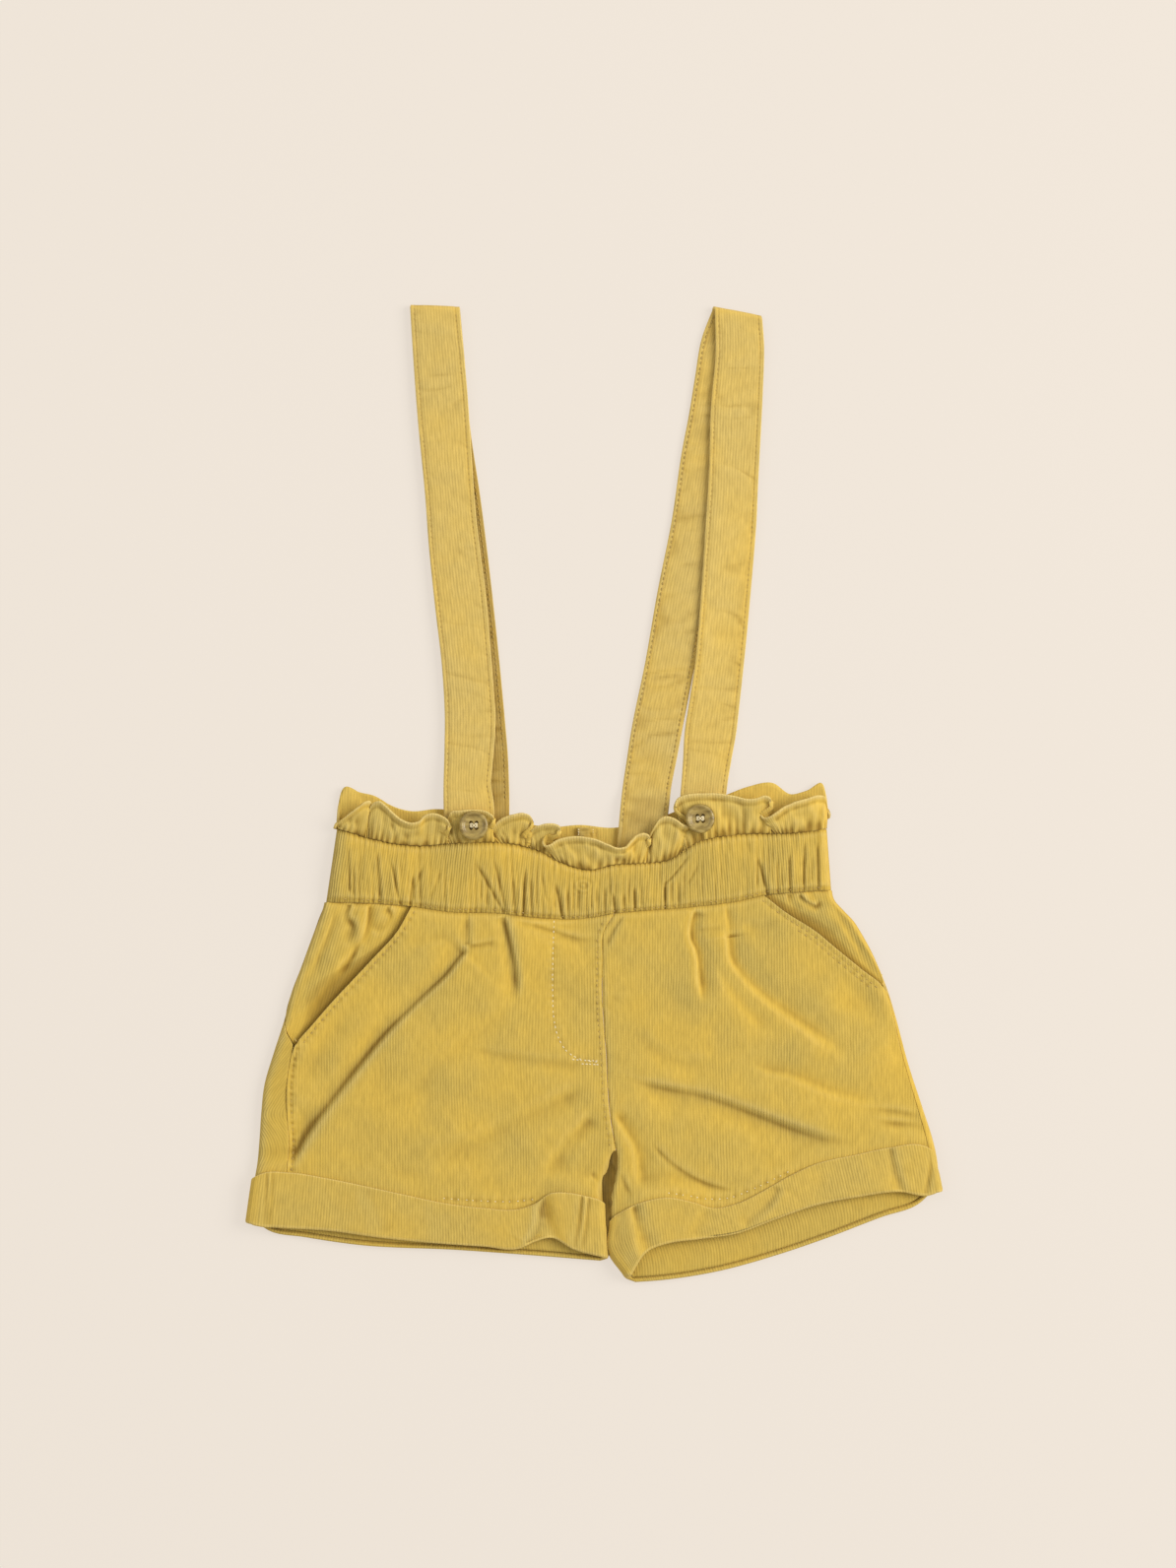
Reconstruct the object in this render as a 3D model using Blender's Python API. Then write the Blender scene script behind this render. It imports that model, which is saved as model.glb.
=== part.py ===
"""Baby shorts with two buttoned shoulder straps, laid flat on a surface with the front up.

Needlecord shorts with a frilled elastic waist, slanted hip pockets, pleated front and turned-up
hems. Every piece is a closed wall of cloth. Sizes and tables are in millimetres: +X is the
wearer's left as seen from above, +Y runs from the hems to the straps, +Z is up off the surface.
The origin is under the middle of the whole outline, on the surface.
"""

import math

import bpy
import numpy as np

MM = 0.001

# Thickness of each kind of wall.
CLOTH = 1.2
FRILL_WALL = 1.8
BAND_WALL = 2.2
STRAP_WALL = 1.5

# Spaces: between two pieces sewn edge to edge, and between a piece and the one that lies on it.
SEAM = 0.4
REST = 0.4

# Heights of the upper face above the surface.
EDGE_HEIGHT = 4.4
CROWN = 1.0
POCKET_LIP = 1.1
FACING_HEIGHT = 3.1
BAND_HEIGHT = 5.6
CUFF_HEIGHT = 7.2
CUFF_LIFT = CLOTH + REST - 0.1
STRAP_LIFT = 1.3

# Up from a cuff's lower edge: the lip turned in there, and the end of the leg inside. Then how
# far the right cuff's inner end swells out.
CUFF_LIP = 1.3
CUFF_MARGIN = 2.6
CUFF_BELLY = 4.4

BUTTON_RADIUS = 6.35
BUTTON_THICKNESS = 2.6
BUTTON_HOLE = 0.85
BUTTON_HOLE_RING = 1.7
BUTTONS = {"left": (-51.5, -14.0), "right": (46.0, -11.0)}

CROTCH = (9.6, -154.5)

# Outline of the flattened body, x at each y from the waist down to inside the cuff.
OUTLINE_LEFT = [
    (-115.5, -44), (-117.0, -50.5), (-121.0, -61), (-126.5, -76), (-130.5, -86.5),
    (-133.5, -98), (-138.0, -112), (-142.3, -127), (-143.5, -138), (-144.3, -150),
    (-145.3, -161), (-146.9, -170), (-148.2, -179), (-148.8, -190),
]
OUTLINE_RIGHT = [
    (102.8, -40), (104.0, -46), (107.8, -50.5), (112.5, -55.5), (116.0, -61), (123.5, -76),
    (127.5, -86.5), (130.5, -96.5), (136.0, -117), (142.5, -137), (146.6, -150),
    (148.3, -158), (149.0, -166), (147.6, -176),
]
# Inner edge of each leg below the crotch.
INSEAM_LEFT = [CROTCH, (6.6, -160), (2.6, -168), (-0.3, -176), (-0.8, -186), (-0.3, -201)]
INSEAM_RIGHT = [
    CROTCH, (8.8, -159), (7.8, -166), (7.4, -174), (8.0, -182), (8.3, -189.5), (9.2, -197.5),
    (12.8, -204.3), (16.2, -208.3),
]

# Seams and edges seen on the front.
CENTRE_SEAM = [
    (9.0, -52), (4.5, -60), (3.9, -72.5), (3.7, -86), (4.5, -101), (5.5, -113.5), (6.2, -128.5),
    (7.4, -141), (8.9, -150), CROTCH,
]
POCKET_LEFT = [
    (-78.5, -49.5), (-84.0, -59), (-96.0, -72.5), (-103.5, -80.5), (-111.5, -89),
    (-121.5, -100.5), (-128.5, -109),
]
POCKET_RIGHT = [
    (73.5, -44.5), (82.0, -51), (96.0, -60), (105.0, -67.5), (116.0, -76.5), (125.0, -83.8),
]
SIDE_SEAM_LEFT = [
    (-133.6, -98), (-132.2, -104), (-129.6, -109), (-131.0, -116), (-132.2, -126),
    (-132.2, -138), (-131.4, -152), (-132.2, -163), (-134.0, -188),
]
SIDE_SEAM_RIGHT = [
    (126.6, -83.8), (127.3, -86.5), (128.0, -90), (129.4, -96.5), (134.2, -117), (140.0, -137),
    (143.6, -150), (145.0, -158), (145.4, -166), (144.4, -173),
]
BAND_TOP = [
    (-110.8, -15.5), (-97.0, -19.5), (-86.0, -22), (-74.5, -23), (-63.0, -22), (-51.5, -21.5),
    (-40.5, -21.5), (-30.5, -23), (-23.5, -25), (-14.0, -30), (-3.0, -33.3), (9.5, -31),
    (22.5, -30.3), (32.5, -29), (39.0, -25), (45.5, -21), (51.5, -19.5), (63.0, -18),
    (88.0, -17.3), (100.8, -15.5),
]
BAND_BOTTOM = [
    (-115.5, -47), (-109.0, -47.1), (-95.0, -47.5), (-82.0, -48.5), (-59.5, -51.5), (-44.0, -51.7),
    (-21.5, -54), (-5.5, -54.3), (8.5, -52), (22.5, -50.7), (39.0, -49.5), (63.0, -46.5),
    (75.5, -43.7), (88.0, -42.7), (97.0, -42), (102.8, -41.9),
]
BACK_BAND_TOP = [(-110.8, -15.5), (-60, -20), (-5, -27.5), (50, -19.5), (100.8, -15.5)]

# Turned-up hems: upper and lower edge of the front, lower edge of the back, outer end first.
CUFF_LEFT = {
    "top": [
        (-148.6, -163.7), (-131.5, -163.7), (-113.5, -166.5), (-96.5, -170), (-80.5, -173.5),
        (-64.0, -177), (-47.5, -179), (-32.0, -179.4), (-25.0, -177), (-18.5, -172.7),
        (-10.5, -172.5), (1.6, -175),
    ],
    "bottom": [
        (-151.2, -186), (-136.0, -187.6), (-113.5, -189), (-91.5, -192), (-69.5, -194.2),
        (-47.5, -195.7), (-32.0, -196.6), (-25.0, -193.5), (-19.0, -192), (-8.5, -197),
        (2.6, -201),
    ],
    "back_top": [
        (-148.6, -163.7), (-136.0, -168), (-125.0, -170), (-102.5, -173.5), (-58.5, -175.5),
        (1.6, -179),
    ],
    "back_bottom": [
        (-151.2, -186), (-140.0, -189.3), (-125.0, -192), (-102.5, -195.3), (-58.5, -197.6),
        (-25.0, -200), (2.6, -202.5),
    ],
}
CUFF_RIGHT = {
    "top": [
        (151.0, -151.3), (127.5, -153), (113.5, -156), (96.0, -160), (84.0, -165.5),
        (72.5, -172), (62.0, -177), (51.5, -179), (43.0, -176.5), (31.5, -174.5),
        (19.5, -177), (6.2, -184),
    ],
    "bottom": [
        (151.0, -174.2), (132.0, -172.2), (113.5, -174.5), (96.0, -178), (78.5, -184),
        (62.0, -190), (45.5, -192.5), (31.5, -194.5), (24.5, -197), (14.6, -211),
    ],
    "back_top": [
        (151.0, -151.3), (140.0, -156), (125.0, -161.5), (102.0, -170), (78.5, -178), (40.0, -187),
        (6.2, -191),
    ],
    "back_bottom": [
        (151.0, -174.2), (140.0, -178), (125.0, -183.2), (102.0, -192), (78.5, -200),
        (55.0, -206.5), (31.5, -210.4), (14.6, -211.7),
    ],
}
CUFF_END_RADIUS = {"left": (3.6, 3.6), "right": (3.6, 3.3)}

# How much wider than in the table the folds are made, so that the grids of the fronts hold them.
FOLD_SPREAD = 1.4
# Folds of the front: valley depth and width on the line, ridge height, its distance to the left
# of the line and its width, the shares of the line over which it starts and dies away, the line.
FOLDS = [
    (1.5, 2.6, 0.9, -4.5, 4.0, 0.06, 0.10, [
        (-54.5, -67), (-63, -77), (-74.5, -88), (-90, -103.5), (-105.5, -123), (-116, -136),
        (-124.5, -147.5), (-130, -158),
    ]),
    (0.9, 2.6, 0.4, 4.0, 4.0, 0.05, 0.3, [(-34.5, -57), (-35, -68), (-34, -84), (-36, -96)]),
    (0.7, 3.2, 0.4, -4.5, 4.5, 0.3, 0.2, [(-33, -57.5), (-19, -61), (-8, -63), (2, -62.5)]),
    (1.0, 3.4, 0.6, 5.0, 5.0, 0.12, 0.35, [
        (4, -124), (-14, -134), (-32, -144), (-50, -152), (-66, -158),
    ]),
    (0.9, 2.8, 0.5, 4.2, 4.2, 0.15, 0.3, [(5, -141), (-4, -149), (-13, -158), (-20, -166)]),
    (0.8, 3.6, 0.5, 6.0, 5.0, 0.3, 0.3, [(-118, -118), (-104, -108), (-88, -91), (-74, -79)]),
    (0.9, 2.6, 0.5, -4.0, 4.0, 0.05, 0.35, [(43, -56), (44.3, -66), (46, -77), (48, -92)]),
    (1.2, 3.4, 0.7, 5.0, 5.0, 0.08, 0.25, [
        (57, -57), (62, -71), (69, -83), (79, -93), (94, -102), (110, -111),
    ]),
    (1.4, 3.4, 0.8, -5.5, 5.5, 0.12, 0.2, [
        (10, -121), (28.5, -128), (45.5, -131.5), (64.5, -138), (84, -143.5), (102, -149.5),
        (118, -154),
    ]),
    (0.9, 3.2, 0.5, -5.0, 5.0, 0.25, 0.3, [(70, -116), (90, -123), (108, -128), (127, -132)]),
    (1.0, 2.2, 0.4, -3.6, 3.6, 0.3, 0.15, [(116, -142.5), (128, -143.7), (141, -144.8)]),
    (0.9, 2.6, 0.6, 4.0, 4.0, 0.2, 0.3, [(10.5, -134), (16.5, -147), (20.5, -158), (24, -168)]),
]
# Gathers that hang from the waist over each hip: x at the waist, lean, length, depth.
HIP_GATHERS = [
    (-109, -4, 22, 0.6), (-102, -6, 34, 0.8), (-94, -9, 44, 0.8), (-86, -8, 26, 0.7),
    (80, 5, 12, 0.6), (86, 6, 16, 0.8), (93, 6, 15, 0.7), (99, 5, 12, 0.5),
]
GATHER_WIDTH = 2.4

# Spacing of the waist gathers, taken in turn from the left, and the depth of each.
GATHER_SPACING = (5.6, 4.4, 6.3, 4.9, 5.2, 3.9, 6.0, 4.6, 5.4)
GATHER_DEPTH = (0.9, 0.6, 0.8, 1.1, 0.7, 0.9, 0.6, 1.0)

# Free edge of the front frill: x at its foot, then x, y and z of the edge. A row for each crest,
# each valley and each turn between them.
FRONT_FRILL = [
    (-110.8, -111.0, -12.0, 3.3), (-110.0, -110.3, -9.6, 5.8), (-108.0, -108.0, -7.6, 8.0),
    (-104.0, -103.5, -5.8, 9.2), (-99.5, -98.4, -4.0, 9.0), (-97.3, -96.6, -7.4, 6.2),
    (-94.6, -94.0, -6.0, 8.2), (-91.0, -90.5, -4.7, 9.6), (-84.5, -83.8, -7.6, 9.9),
    (-79.0, -78.6, -10.6, 9.6), (-73.5, -73.3, -10.7, 9.2), (-69.0, -68.8, -9.2, 9.5),
    (-65.2, -65.2, -12.0, 7.9), (-61.4, -61.6, -9.2, 9.0), (-52.0, -52.5, -8.3, 9.4),
    (-46.0, -46.2, -8.5, 9.3), (-42.5, -42.4, -12.0, 7.6), (-38.6, -38.8, -10.6, 9.6),
    (-33.5, -33.0, -9.0, 10.8), (-29.6, -28.6, -10.8, 10.2), (-27.6, -27.4, -15.2, 7.6),
    (-24.8, -24.6, -12.8, 9.6), (-21.0, -20.2, -14.0, 9.8), (-18.4, -18.2, -18.6, 7.2),
    (-14.2, -14.4, -19.7, 9.0), (-8.5, -8.8, -18.6, 9.7), (-1.5, -1.8, -19.6, 9.8),
    (6.0, 6.0, -22.2, 9.6), (13.0, 13.2, -23.3, 9.3), (19.0, 20.2, -18.6, 9.4),
    (23.6, 24.0, -19.6, 7.4), (27.4, 28.0, -12.4, 9.5), (31.5, 31.8, -10.3, 10.1),
    (36.4, 36.2, -13.0, 9.4), (40.2, 38.6, -13.2, 7.8), (42.2, 37.0, -8.4, 8.4),
    (44.4, 38.4, -2.6, 9.2), (48.5, 46.0, -0.8, 9.4), (56.0, 56.0, -0.5, 9.3),
    (64.0, 64.5, -1.4, 9.2), (71.0, 72.6, -2.3, 9.7), (75.0, 75.8, -6.4, 7.4),
    (79.0, 79.4, -5.6, 8.8), (87.0, 88.0, -2.8, 9.4), (94.0, 95.5, -1.2, 8.8),
    (98.5, 99.5, -2.6, 6.6), (100.8, 101.2, -9.5, 3.3),
]
# Free edge of the back frill: x, y, and z of its under face.
BACK_FRILL = [
    (-111.0, -12.0, 2.4), (-110.3, -5.0, 1.0), (-107.0, 2.6, 1.2), (-102.0, 0.4, 0.0),
    (-95.0, -1.2, 0.6), (-89.0, -4.8, 0.0), (-78.0, -8.0, 0.6), (-68.0, -7.2, 0.0),
    (-50.0, -9.5, 0.0), (-34.0, -12.5, 0.0), (-18.0, -15.0, 0.0), (-6.0, -14.0, 0.7),
    (8.0, -15.3, 0.0), (22.0, -13.0, 0.0), (40.0, -6.5, 0.0), (58.0, -0.8, 0.0),
    (67.0, 2.6, 0.9), (77.0, 4.3, 1.4), (85.5, -0.8, 0.0), (92.0, 0.8, 0.8),
    (98.5, 4.2, 1.2), (100.6, -1.0, 1.2), (101.2, -9.5, 2.4),
]

# Straps, front strip from its lower end to the fold, then the back strip down again:
# y and x of the left edge, y and x of the right edge, height of each edge's outer face.
STRAP_LEFT = {
    "front": [
        (-14, -64.2, -14, -42.8, 5.6, 5.6), (-4, -64.5, -4, -43.2, 5.6, 5.6),
        (4, -64.5, 4, -44.4, 5.0, 5.0), (12, -64.3, 12, -43.8, 4.1, 4.2),
        (22, -64.1, 22, -42.9, 3.5, 3.6), (31, -64.0, 30, -42.5, 3.4, 3.5),
        (51.5, -65.0, 47.5, -43.5, 3.4, 3.5), (82, -68.4, 84, -46.5, 3.4, 3.5),
        (107.5, -71.0, 103, -48.9, 3.4, 3.5), (128, -72.5, 121, -51.0, 3.4, 3.5),
        (163.5, -75.9, 171.5, -54.5, 3.4, 3.5), (190, -77.8, 190, -56.2, 3.4, 3.5),
        (209.3, -79.0, 208.4, -58.0, 3.4, 3.5),
    ],
    "back": [
        (209.3, -78.8, 208.4, -57.8, 0, 0), (189, -77.3, 189, -56.0, 0, 0),
        (158, -74.8, 158, -53.5, 0, 0), (128, -70.5, 128, -49.1, 0, 0),
        (92, -66.1, 92, -44.6, 0, 0), (61.5, -62.9, 61.5, -41.3, 0, 0),
        (31, -60.0, 31, -38.4, 0, 0), (15.5, -58.6, 15.5, -37.1, 0, 0),
        (5, -58.2, 5, -36.7, 0.2, 0.2), (-2, -58.0, -2, -36.5, 1.8, 1.8),
        (-8, -58.0, -8, -36.5, 2.25, 2.25), (-15, -58.0, -15, -36.5, 2.25, 2.25),
    ],
}
STRAP_RIGHT = {
    "front": [
        (-14, 37.9, -14, 57.0, 5.5, 5.5), (-3, 37.6, -3, 57.0, 5.3, 5.3),
        (6, 38.3, 6, 58.0, 4.3, 4.3), (14, 38.9, 14, 59.4, 2.6, 2.6),
        (26, 39.6, 26, 61.6, 2.2, 1.7), (38, 41.4, 38, 63.0, 2.8, 1.6),
        (55, 44.0, 56, 65.0, 3.5, 1.6), (82, 46.4, 82, 67.5, 3.6, 1.7),
        (106, 48.0, 112, 70.0, 3.6, 2.7), (138, 50.0, 133, 71.0, 3.6, 3.1),
        (168, 51.0, 172, 73.0, 3.6, 3.4), (190, 52.9, 192, 73.6, 3.5, 3.5),
        (208.6, 52.6, 204.6, 72.8, 3.5, 3.5),
    ],
    "back": [
        (208.6, 51.6, 204.6, 72.0, 0, 0), (197, 47.2, 195, 69.0, 0, 0),
        (179, 44.0, 179, 65.6, 0, 0), (163.5, 41.5, 163.5, 63.2, 0, 0),
        (148.5, 38.6, 148.5, 60.2, 0, 0), (117.5, 34.0, 117.5, 55.5, 0, 0),
        (87, 27.9, 87, 49.4, 0, 0), (56.5, 22.6, 56.5, 43.9, 0, 0), (26, 16.4, 26, 38.0, 0, 0),
        (15.5, 14.8, 15.5, 36.0, 0, 0), (2, 12.8, 2, 33.4, 0.2, 0.2), (-5, 12.0, -5, 32.6, 2.0, 2.0),
        (-10, 11.5, -10, 32.0, 2.3, 2.3), (-25, 10.2, -25, 30.6, 2.3, 2.3),
    ],
}
STRAP_FOLD_STEPS = 5
# Shares of a strip's length at which its rows lie, close together at the end under the frill.
STRAP_ROWS = (
    0.0, 0.022, 0.044, 0.066, 0.088, 0.11, 0.14, 0.18, 0.23, 0.29, 0.35, 0.41, 0.47, 0.53, 0.59,
    0.65, 0.71, 0.77, 0.83, 0.89, 0.95, 1.0,
)

# Rows of the back panels: shares of their length, with more where the leg enters its cuff, and
# the y of those beside a pocket's lower end.
BACK_ROWS = (
    0.0, 0.035, 0.07, 0.14, 0.22, 0.29, 0.5, 0.57, 0.63, 0.665, 0.7, 0.73, 0.76, 0.79, 0.82,
    0.86, 0.9, 0.95, 1.0,
)
POCKET_END_ROWS = {"left": (-98.1, -101, -104, -107, -110), "right": (-83.8, -84.4, -85.4, -87, -91)}

COLOURS = {
    "cord": (0.66, 0.43, 0.09),
    "cord_inside": (0.68, 0.48, 0.15),
    "button": (0.35, 0.24, 0.08),
}


# Curves.

def smooth(value):
    """Rises from 0 to 1 with level ends."""
    value = np.clip(value, 0.0, 1.0)
    return value * value * (3.0 - 2.0 * value)


def dense_curve(points, steps=16):
    """Many points on a smooth curve through these, spaced by the distance in plan."""
    points = np.asarray(points, float)
    length = np.linalg.norm(np.diff(points[:, :2], axis=0), axis=1)
    at = np.concatenate([[0.0], np.cumsum(length)])
    slope = np.gradient(points, at, axis=0)
    share = np.linspace(0.0, 1.0, steps, endpoint=False)[:, None]
    pieces = []
    for index, span in enumerate(length):
        start, end = points[index], points[index + 1]
        pieces.append(
            (2 * share**3 - 3 * share**2 + 1) * start
            + (share**3 - 2 * share**2 + share) * span * slope[index]
            + (3 * share**2 - 2 * share**3) * end
            + (share**3 - share**2) * span * slope[index + 1]
        )
    return np.vstack(pieces + [points[-1:]])


def read_along(curve, shares):
    """Points of a dense curve at these shares of its length in plan."""
    length = np.linalg.norm(np.diff(curve[:, :2], axis=0), axis=1)
    at = np.concatenate([[0.0], np.cumsum(length)])
    return np.stack([np.interp(shares, at / at[-1], column) for column in curve.T], axis=-1)


def along(points, shares):
    return read_along(dense_curve(points), np.asarray(shares, float))


def x_at(points, y):
    """x of a line that runs down the garment, at these y."""
    curve = dense_curve(points)[::-1]
    return np.interp(y, curve[:, 1], curve[:, 0])


def y_at(points, x):
    """y of a line that runs across the garment, at these x."""
    curve = dense_curve(points)
    order = np.argsort(curve[:, 0], kind="stable")
    return np.interp(x, curve[order, 0], curve[order, 1])


def from_line(x, y, points):
    """Distance from a line, positive on its left, and the share of its length at the foot."""
    curve = dense_curve(points, 6)
    start, step = curve[:-1], np.diff(curve, axis=0)
    length = np.linalg.norm(step, axis=1)
    at = np.concatenate([[0.0], np.cumsum(length)])
    place = np.stack([np.ravel(x), np.ravel(y)], axis=-1)[:, None, :] - start
    foot = np.clip((place * step).sum(-1) / length**2, 0.0, 1.0)
    gap = place - foot[..., None] * step
    distance = np.linalg.norm(gap, axis=-1)
    nearest = distance.argmin(axis=1)
    row = np.arange(len(nearest))
    side = step[nearest, 0] * place[row, nearest, 1] - step[nearest, 1] * place[row, nearest, 0]
    signed = np.where(side >= 0, 1.0, -1.0) * distance[row, nearest]
    share = (at[nearest] + foot[row, nearest] * length[nearest]) / at[-1]
    return signed.reshape(np.shape(x)), share.reshape(np.shape(x))


def patch(top, bottom, left, right, across, down):
    """Plan points of a four-sided panel between four lines, as rows from top to bottom."""
    top, bottom = along(top, across), along(bottom, across)
    left, right = along(left, down), along(right, down)
    s, t = across[None, :, None], down[:, None, None]
    corners = (
        (1 - s) * (1 - t) * top[0] + s * (1 - t) * top[-1]
        + (1 - s) * t * bottom[0] + s * t * bottom[-1]
    )
    return (1 - t) * top + t * bottom + (1 - s) * left[:, None] + s * right[:, None] - corners


# Heights of the laid cloth.

def fold_relief(x, y):
    """The folds and ridges of the front, above or below its plain height."""
    relief = np.zeros(np.shape(x))
    for depth, width, ridge, offset, ridge_width, start, end, line in FOLDS:
        distance, share = from_line(x, y, line)
        width, ridge_width = FOLD_SPREAD * width, FOLD_SPREAD * ridge_width
        fade = smooth(share / start) * smooth((1.0 - share) / end)
        relief -= fade * depth * np.exp(-((distance / width) ** 2))
        relief += fade * ridge * np.exp(-(((distance - offset) / ridge_width) ** 2))
    return relief


def gather_relief(x, y):
    """Folds that hang from the waist seam over the hips."""
    relief = np.zeros(np.shape(x))
    below = y_at(BAND_BOTTOM, x) - y
    for place, lean, length, depth in HIP_GATHERS:
        share = np.clip(below / length, 0.0, 1.0)
        distance = (x - place - lean * share) / (GATHER_WIDTH * (1.0 + share))
        relief -= depth * (1.0 - smooth(share)) * np.exp(-(distance**2))
    return relief


def on_left(x, y):
    """Which plan points lie on the left half, parted midway between the legs' inner edges."""
    return x < (x_at(INSEAM_LEFT, y) + x_at(INSEAM_RIGHT, y)) / 2.0


def inset_of(x, y):
    """How far a plan point lies inside the flattened outline or the leg's inner edge."""
    left = on_left(x, y)
    outer = np.where(left, x - x_at(OUTLINE_LEFT, y), x_at(OUTLINE_RIGHT, y) - x)
    inner = np.where(left, x_at(INSEAM_LEFT, y) - x, x - x_at(INSEAM_RIGHT, y))
    return outer, inner


def leg_share(y):
    """0 on the body, 1 on a leg, where its inner edge is folded down."""
    return smooth((CROTCH[1] + 2.0 - y) / 6.0)


def under_cuff(x, y, edge):
    """0 well above a cuff's upper edge, 1 from that edge down."""
    left = y - y_at(CUFF_LEFT[edge], x)
    right = y - y_at(CUFF_RIGHT[edge], x)
    return 1.0 - smooth((np.where(on_left(x, y), left, right) - 1.5) / 9.0)


def cuff_height(x, y):
    """Upper face of the two turned-up hems."""
    left = CUFF_HEIGHT - 0.9 * np.exp(-(((x + 22.0 + 0.3 * (y + 173)) / 3.2) ** 2))
    facet = smooth((x - 8.0) / 14.0)
    right = 6.6 + 1.5 * facet - 0.9 * smooth((x - 40.0) / 60.0)
    return np.where(on_left(x, y), left, right)


def leg_height(x, y):
    """Upper face of a leg inside its cuff, clear of the cuff's own folds."""
    facet = smooth((x - 8.0) / 14.0)
    right = 6.6 + 1.5 * facet - 0.9 * smooth((x - 40.0) / 60.0)
    left = CUFF_HEIGHT - 0.9 * np.exp(-(((x + 22.0) / 9.0) ** 2))
    return np.where(on_left(x, y), left, right) - CLOTH - REST


def sheet_height(x, y):
    """Upper face of the front before its edges turn down."""
    outer, inner = inset_of(x, y)
    leg = smooth((CROTCH[1] + 6.0 - y) / 12.0)
    crown = smooth(outer / 40.0) * (1.0 - 0.5 * leg * (1.0 - smooth(inner / 30.0)))
    height = EDGE_HEIGHT + CROWN * crown
    relief = fold_relief(x, y) + gather_relief(x, y)
    near_edge = smooth(outer / 9.0) * (1.0 - leg * (1.0 - smooth(inner / 8.0)))
    near_band = smooth((y_at(BAND_BOTTOM, x) - y) / 5.0)
    height = height + relief * near_edge * (0.35 + 0.65 * near_band)
    cover = under_cuff(x, y, "top")
    return height * (1.0 - cover) + leg_height(x, y) * cover


def under_height(x, y):
    """Under face of the back: on the surface, and lifted where it enters a cuff."""
    return CUFF_LIFT * under_cuff(x, y, "back_top")


def pocket_distance(x, y):
    """Distance from the pocket's edge, positive on the front's side of it."""
    left, _ = from_line(x, y, POCKET_LEFT)
    right, _ = from_line(x, y, POCKET_RIGHT)
    return np.where(on_left(x, y), left, -right)


def front_height(x, y):
    """Upper face of the front: a lip at the pocket, and rounded down at its folded edges."""
    height = sheet_height(x, y)
    lip = np.exp(-((pocket_distance(x, y) / 7.0) ** 2)) * smooth((y + 122.0) / 14.0)
    height = np.maximum(height, height + lip * (EDGE_HEIGHT + POCKET_LIP - height))
    outer, inner = inset_of(x, y)
    low = under_height(x, y)
    radius = (height - low) / 2.0
    for inset, share in ((outer, 1.0), (inner, leg_share(y))):
        short = np.clip(radius - inset, 0.0, radius)
        drop = radius - np.sqrt(np.maximum(radius**2 - short**2, 0.0))
        height = height - share * drop
    return height


def facing_height(x, y):
    """Upper face of the pocket's facing: low under the pocket's edge, full over the hip."""
    clear = smooth((-pocket_distance(x, y) - 1.5) / 9.0)
    full = sheet_height(x, y) + 0.4 * gather_relief(x, y)
    height = FACING_HEIGHT + (full - FACING_HEIGHT) * clear
    outer, _ = inset_of(x, y)
    radius = EDGE_HEIGHT / 2.0
    short = np.clip(radius - outer, 0.0, radius)
    rounded = radius + np.sqrt(np.maximum(radius**2 - short**2, 0.0))
    return np.minimum(height, rounded)


def band_height(x, y):
    """Upper face of the waistband before its gathers: raised over the straps' ends."""
    rise = 1.0 - smooth((y_at(BAND_TOP, x) - y) / 16.0)
    height = np.full(np.shape(x), BAND_HEIGHT)
    for centre, _ in BUTTONS.values():
        height = height + STRAP_LIFT * rise * np.exp(-(((x - centre) / 13.0) ** 2))
    return height + 0.7 * rise * np.exp(-(((x - 2.0) / 16.0) ** 2))


def band_end(x):
    """Share of the full height that is left where the band turns round each side."""
    radius = BAND_HEIGHT / 2.0
    inset = np.minimum(x - BAND_TOP[0][0], BAND_TOP[-1][0] - x)
    short = np.clip(radius - inset, 0.0, radius)
    return 0.5 + 0.5 * np.sqrt(np.maximum(1.0 - (short / radius) ** 2, 0.0))


# Solids.

def material(name):
    made = bpy.data.materials.get(name)
    if made is None:
        made = bpy.data.materials.new(name)
        made.use_nodes = True
        shader = made.node_tree.nodes["Principled BSDF"]
        shader.inputs["Base Color"].default_value = (*COLOURS[name], 1.0)
        shader.inputs["Roughness"].default_value = 0.35 if name == "button" else 0.9
        shader.inputs["Metallic"].default_value = 0.0
    return made


def add_object(name, points, faces, finish="cord"):
    mesh = bpy.data.meshes.new(name)
    mesh.from_pydata((np.asarray(points) * MM).tolist(), [], faces)
    mesh.materials.append(material(finish))
    mesh.update()
    mesh.shade_smooth()
    made = bpy.data.objects.new(name, mesh)
    bpy.context.scene.collection.objects.link(made)
    return made


def directions(grid, axis):
    """Directions along one axis of a grid, halving the turn at each point."""
    step = np.moveaxis(np.diff(grid, axis=axis), axis, 0)
    step = step / np.linalg.norm(step, axis=-1, keepdims=True)
    first = 1.5 * step[:1] - 0.5 * step[1:2]
    last = 1.5 * step[-1:] - 0.5 * step[-2:-1]
    between = (step[:-1] + step[1:]) / 2.0
    return np.moveaxis(np.concatenate([first, between, last]), 0, axis)


def normals_of(grid):
    """Unit normals of a grid of points, as rows run down and columns run across."""
    normal = np.cross(directions(grid, 0), directions(grid, 1))
    return normal / np.linalg.norm(normal, axis=-1, keepdims=True)


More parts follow.
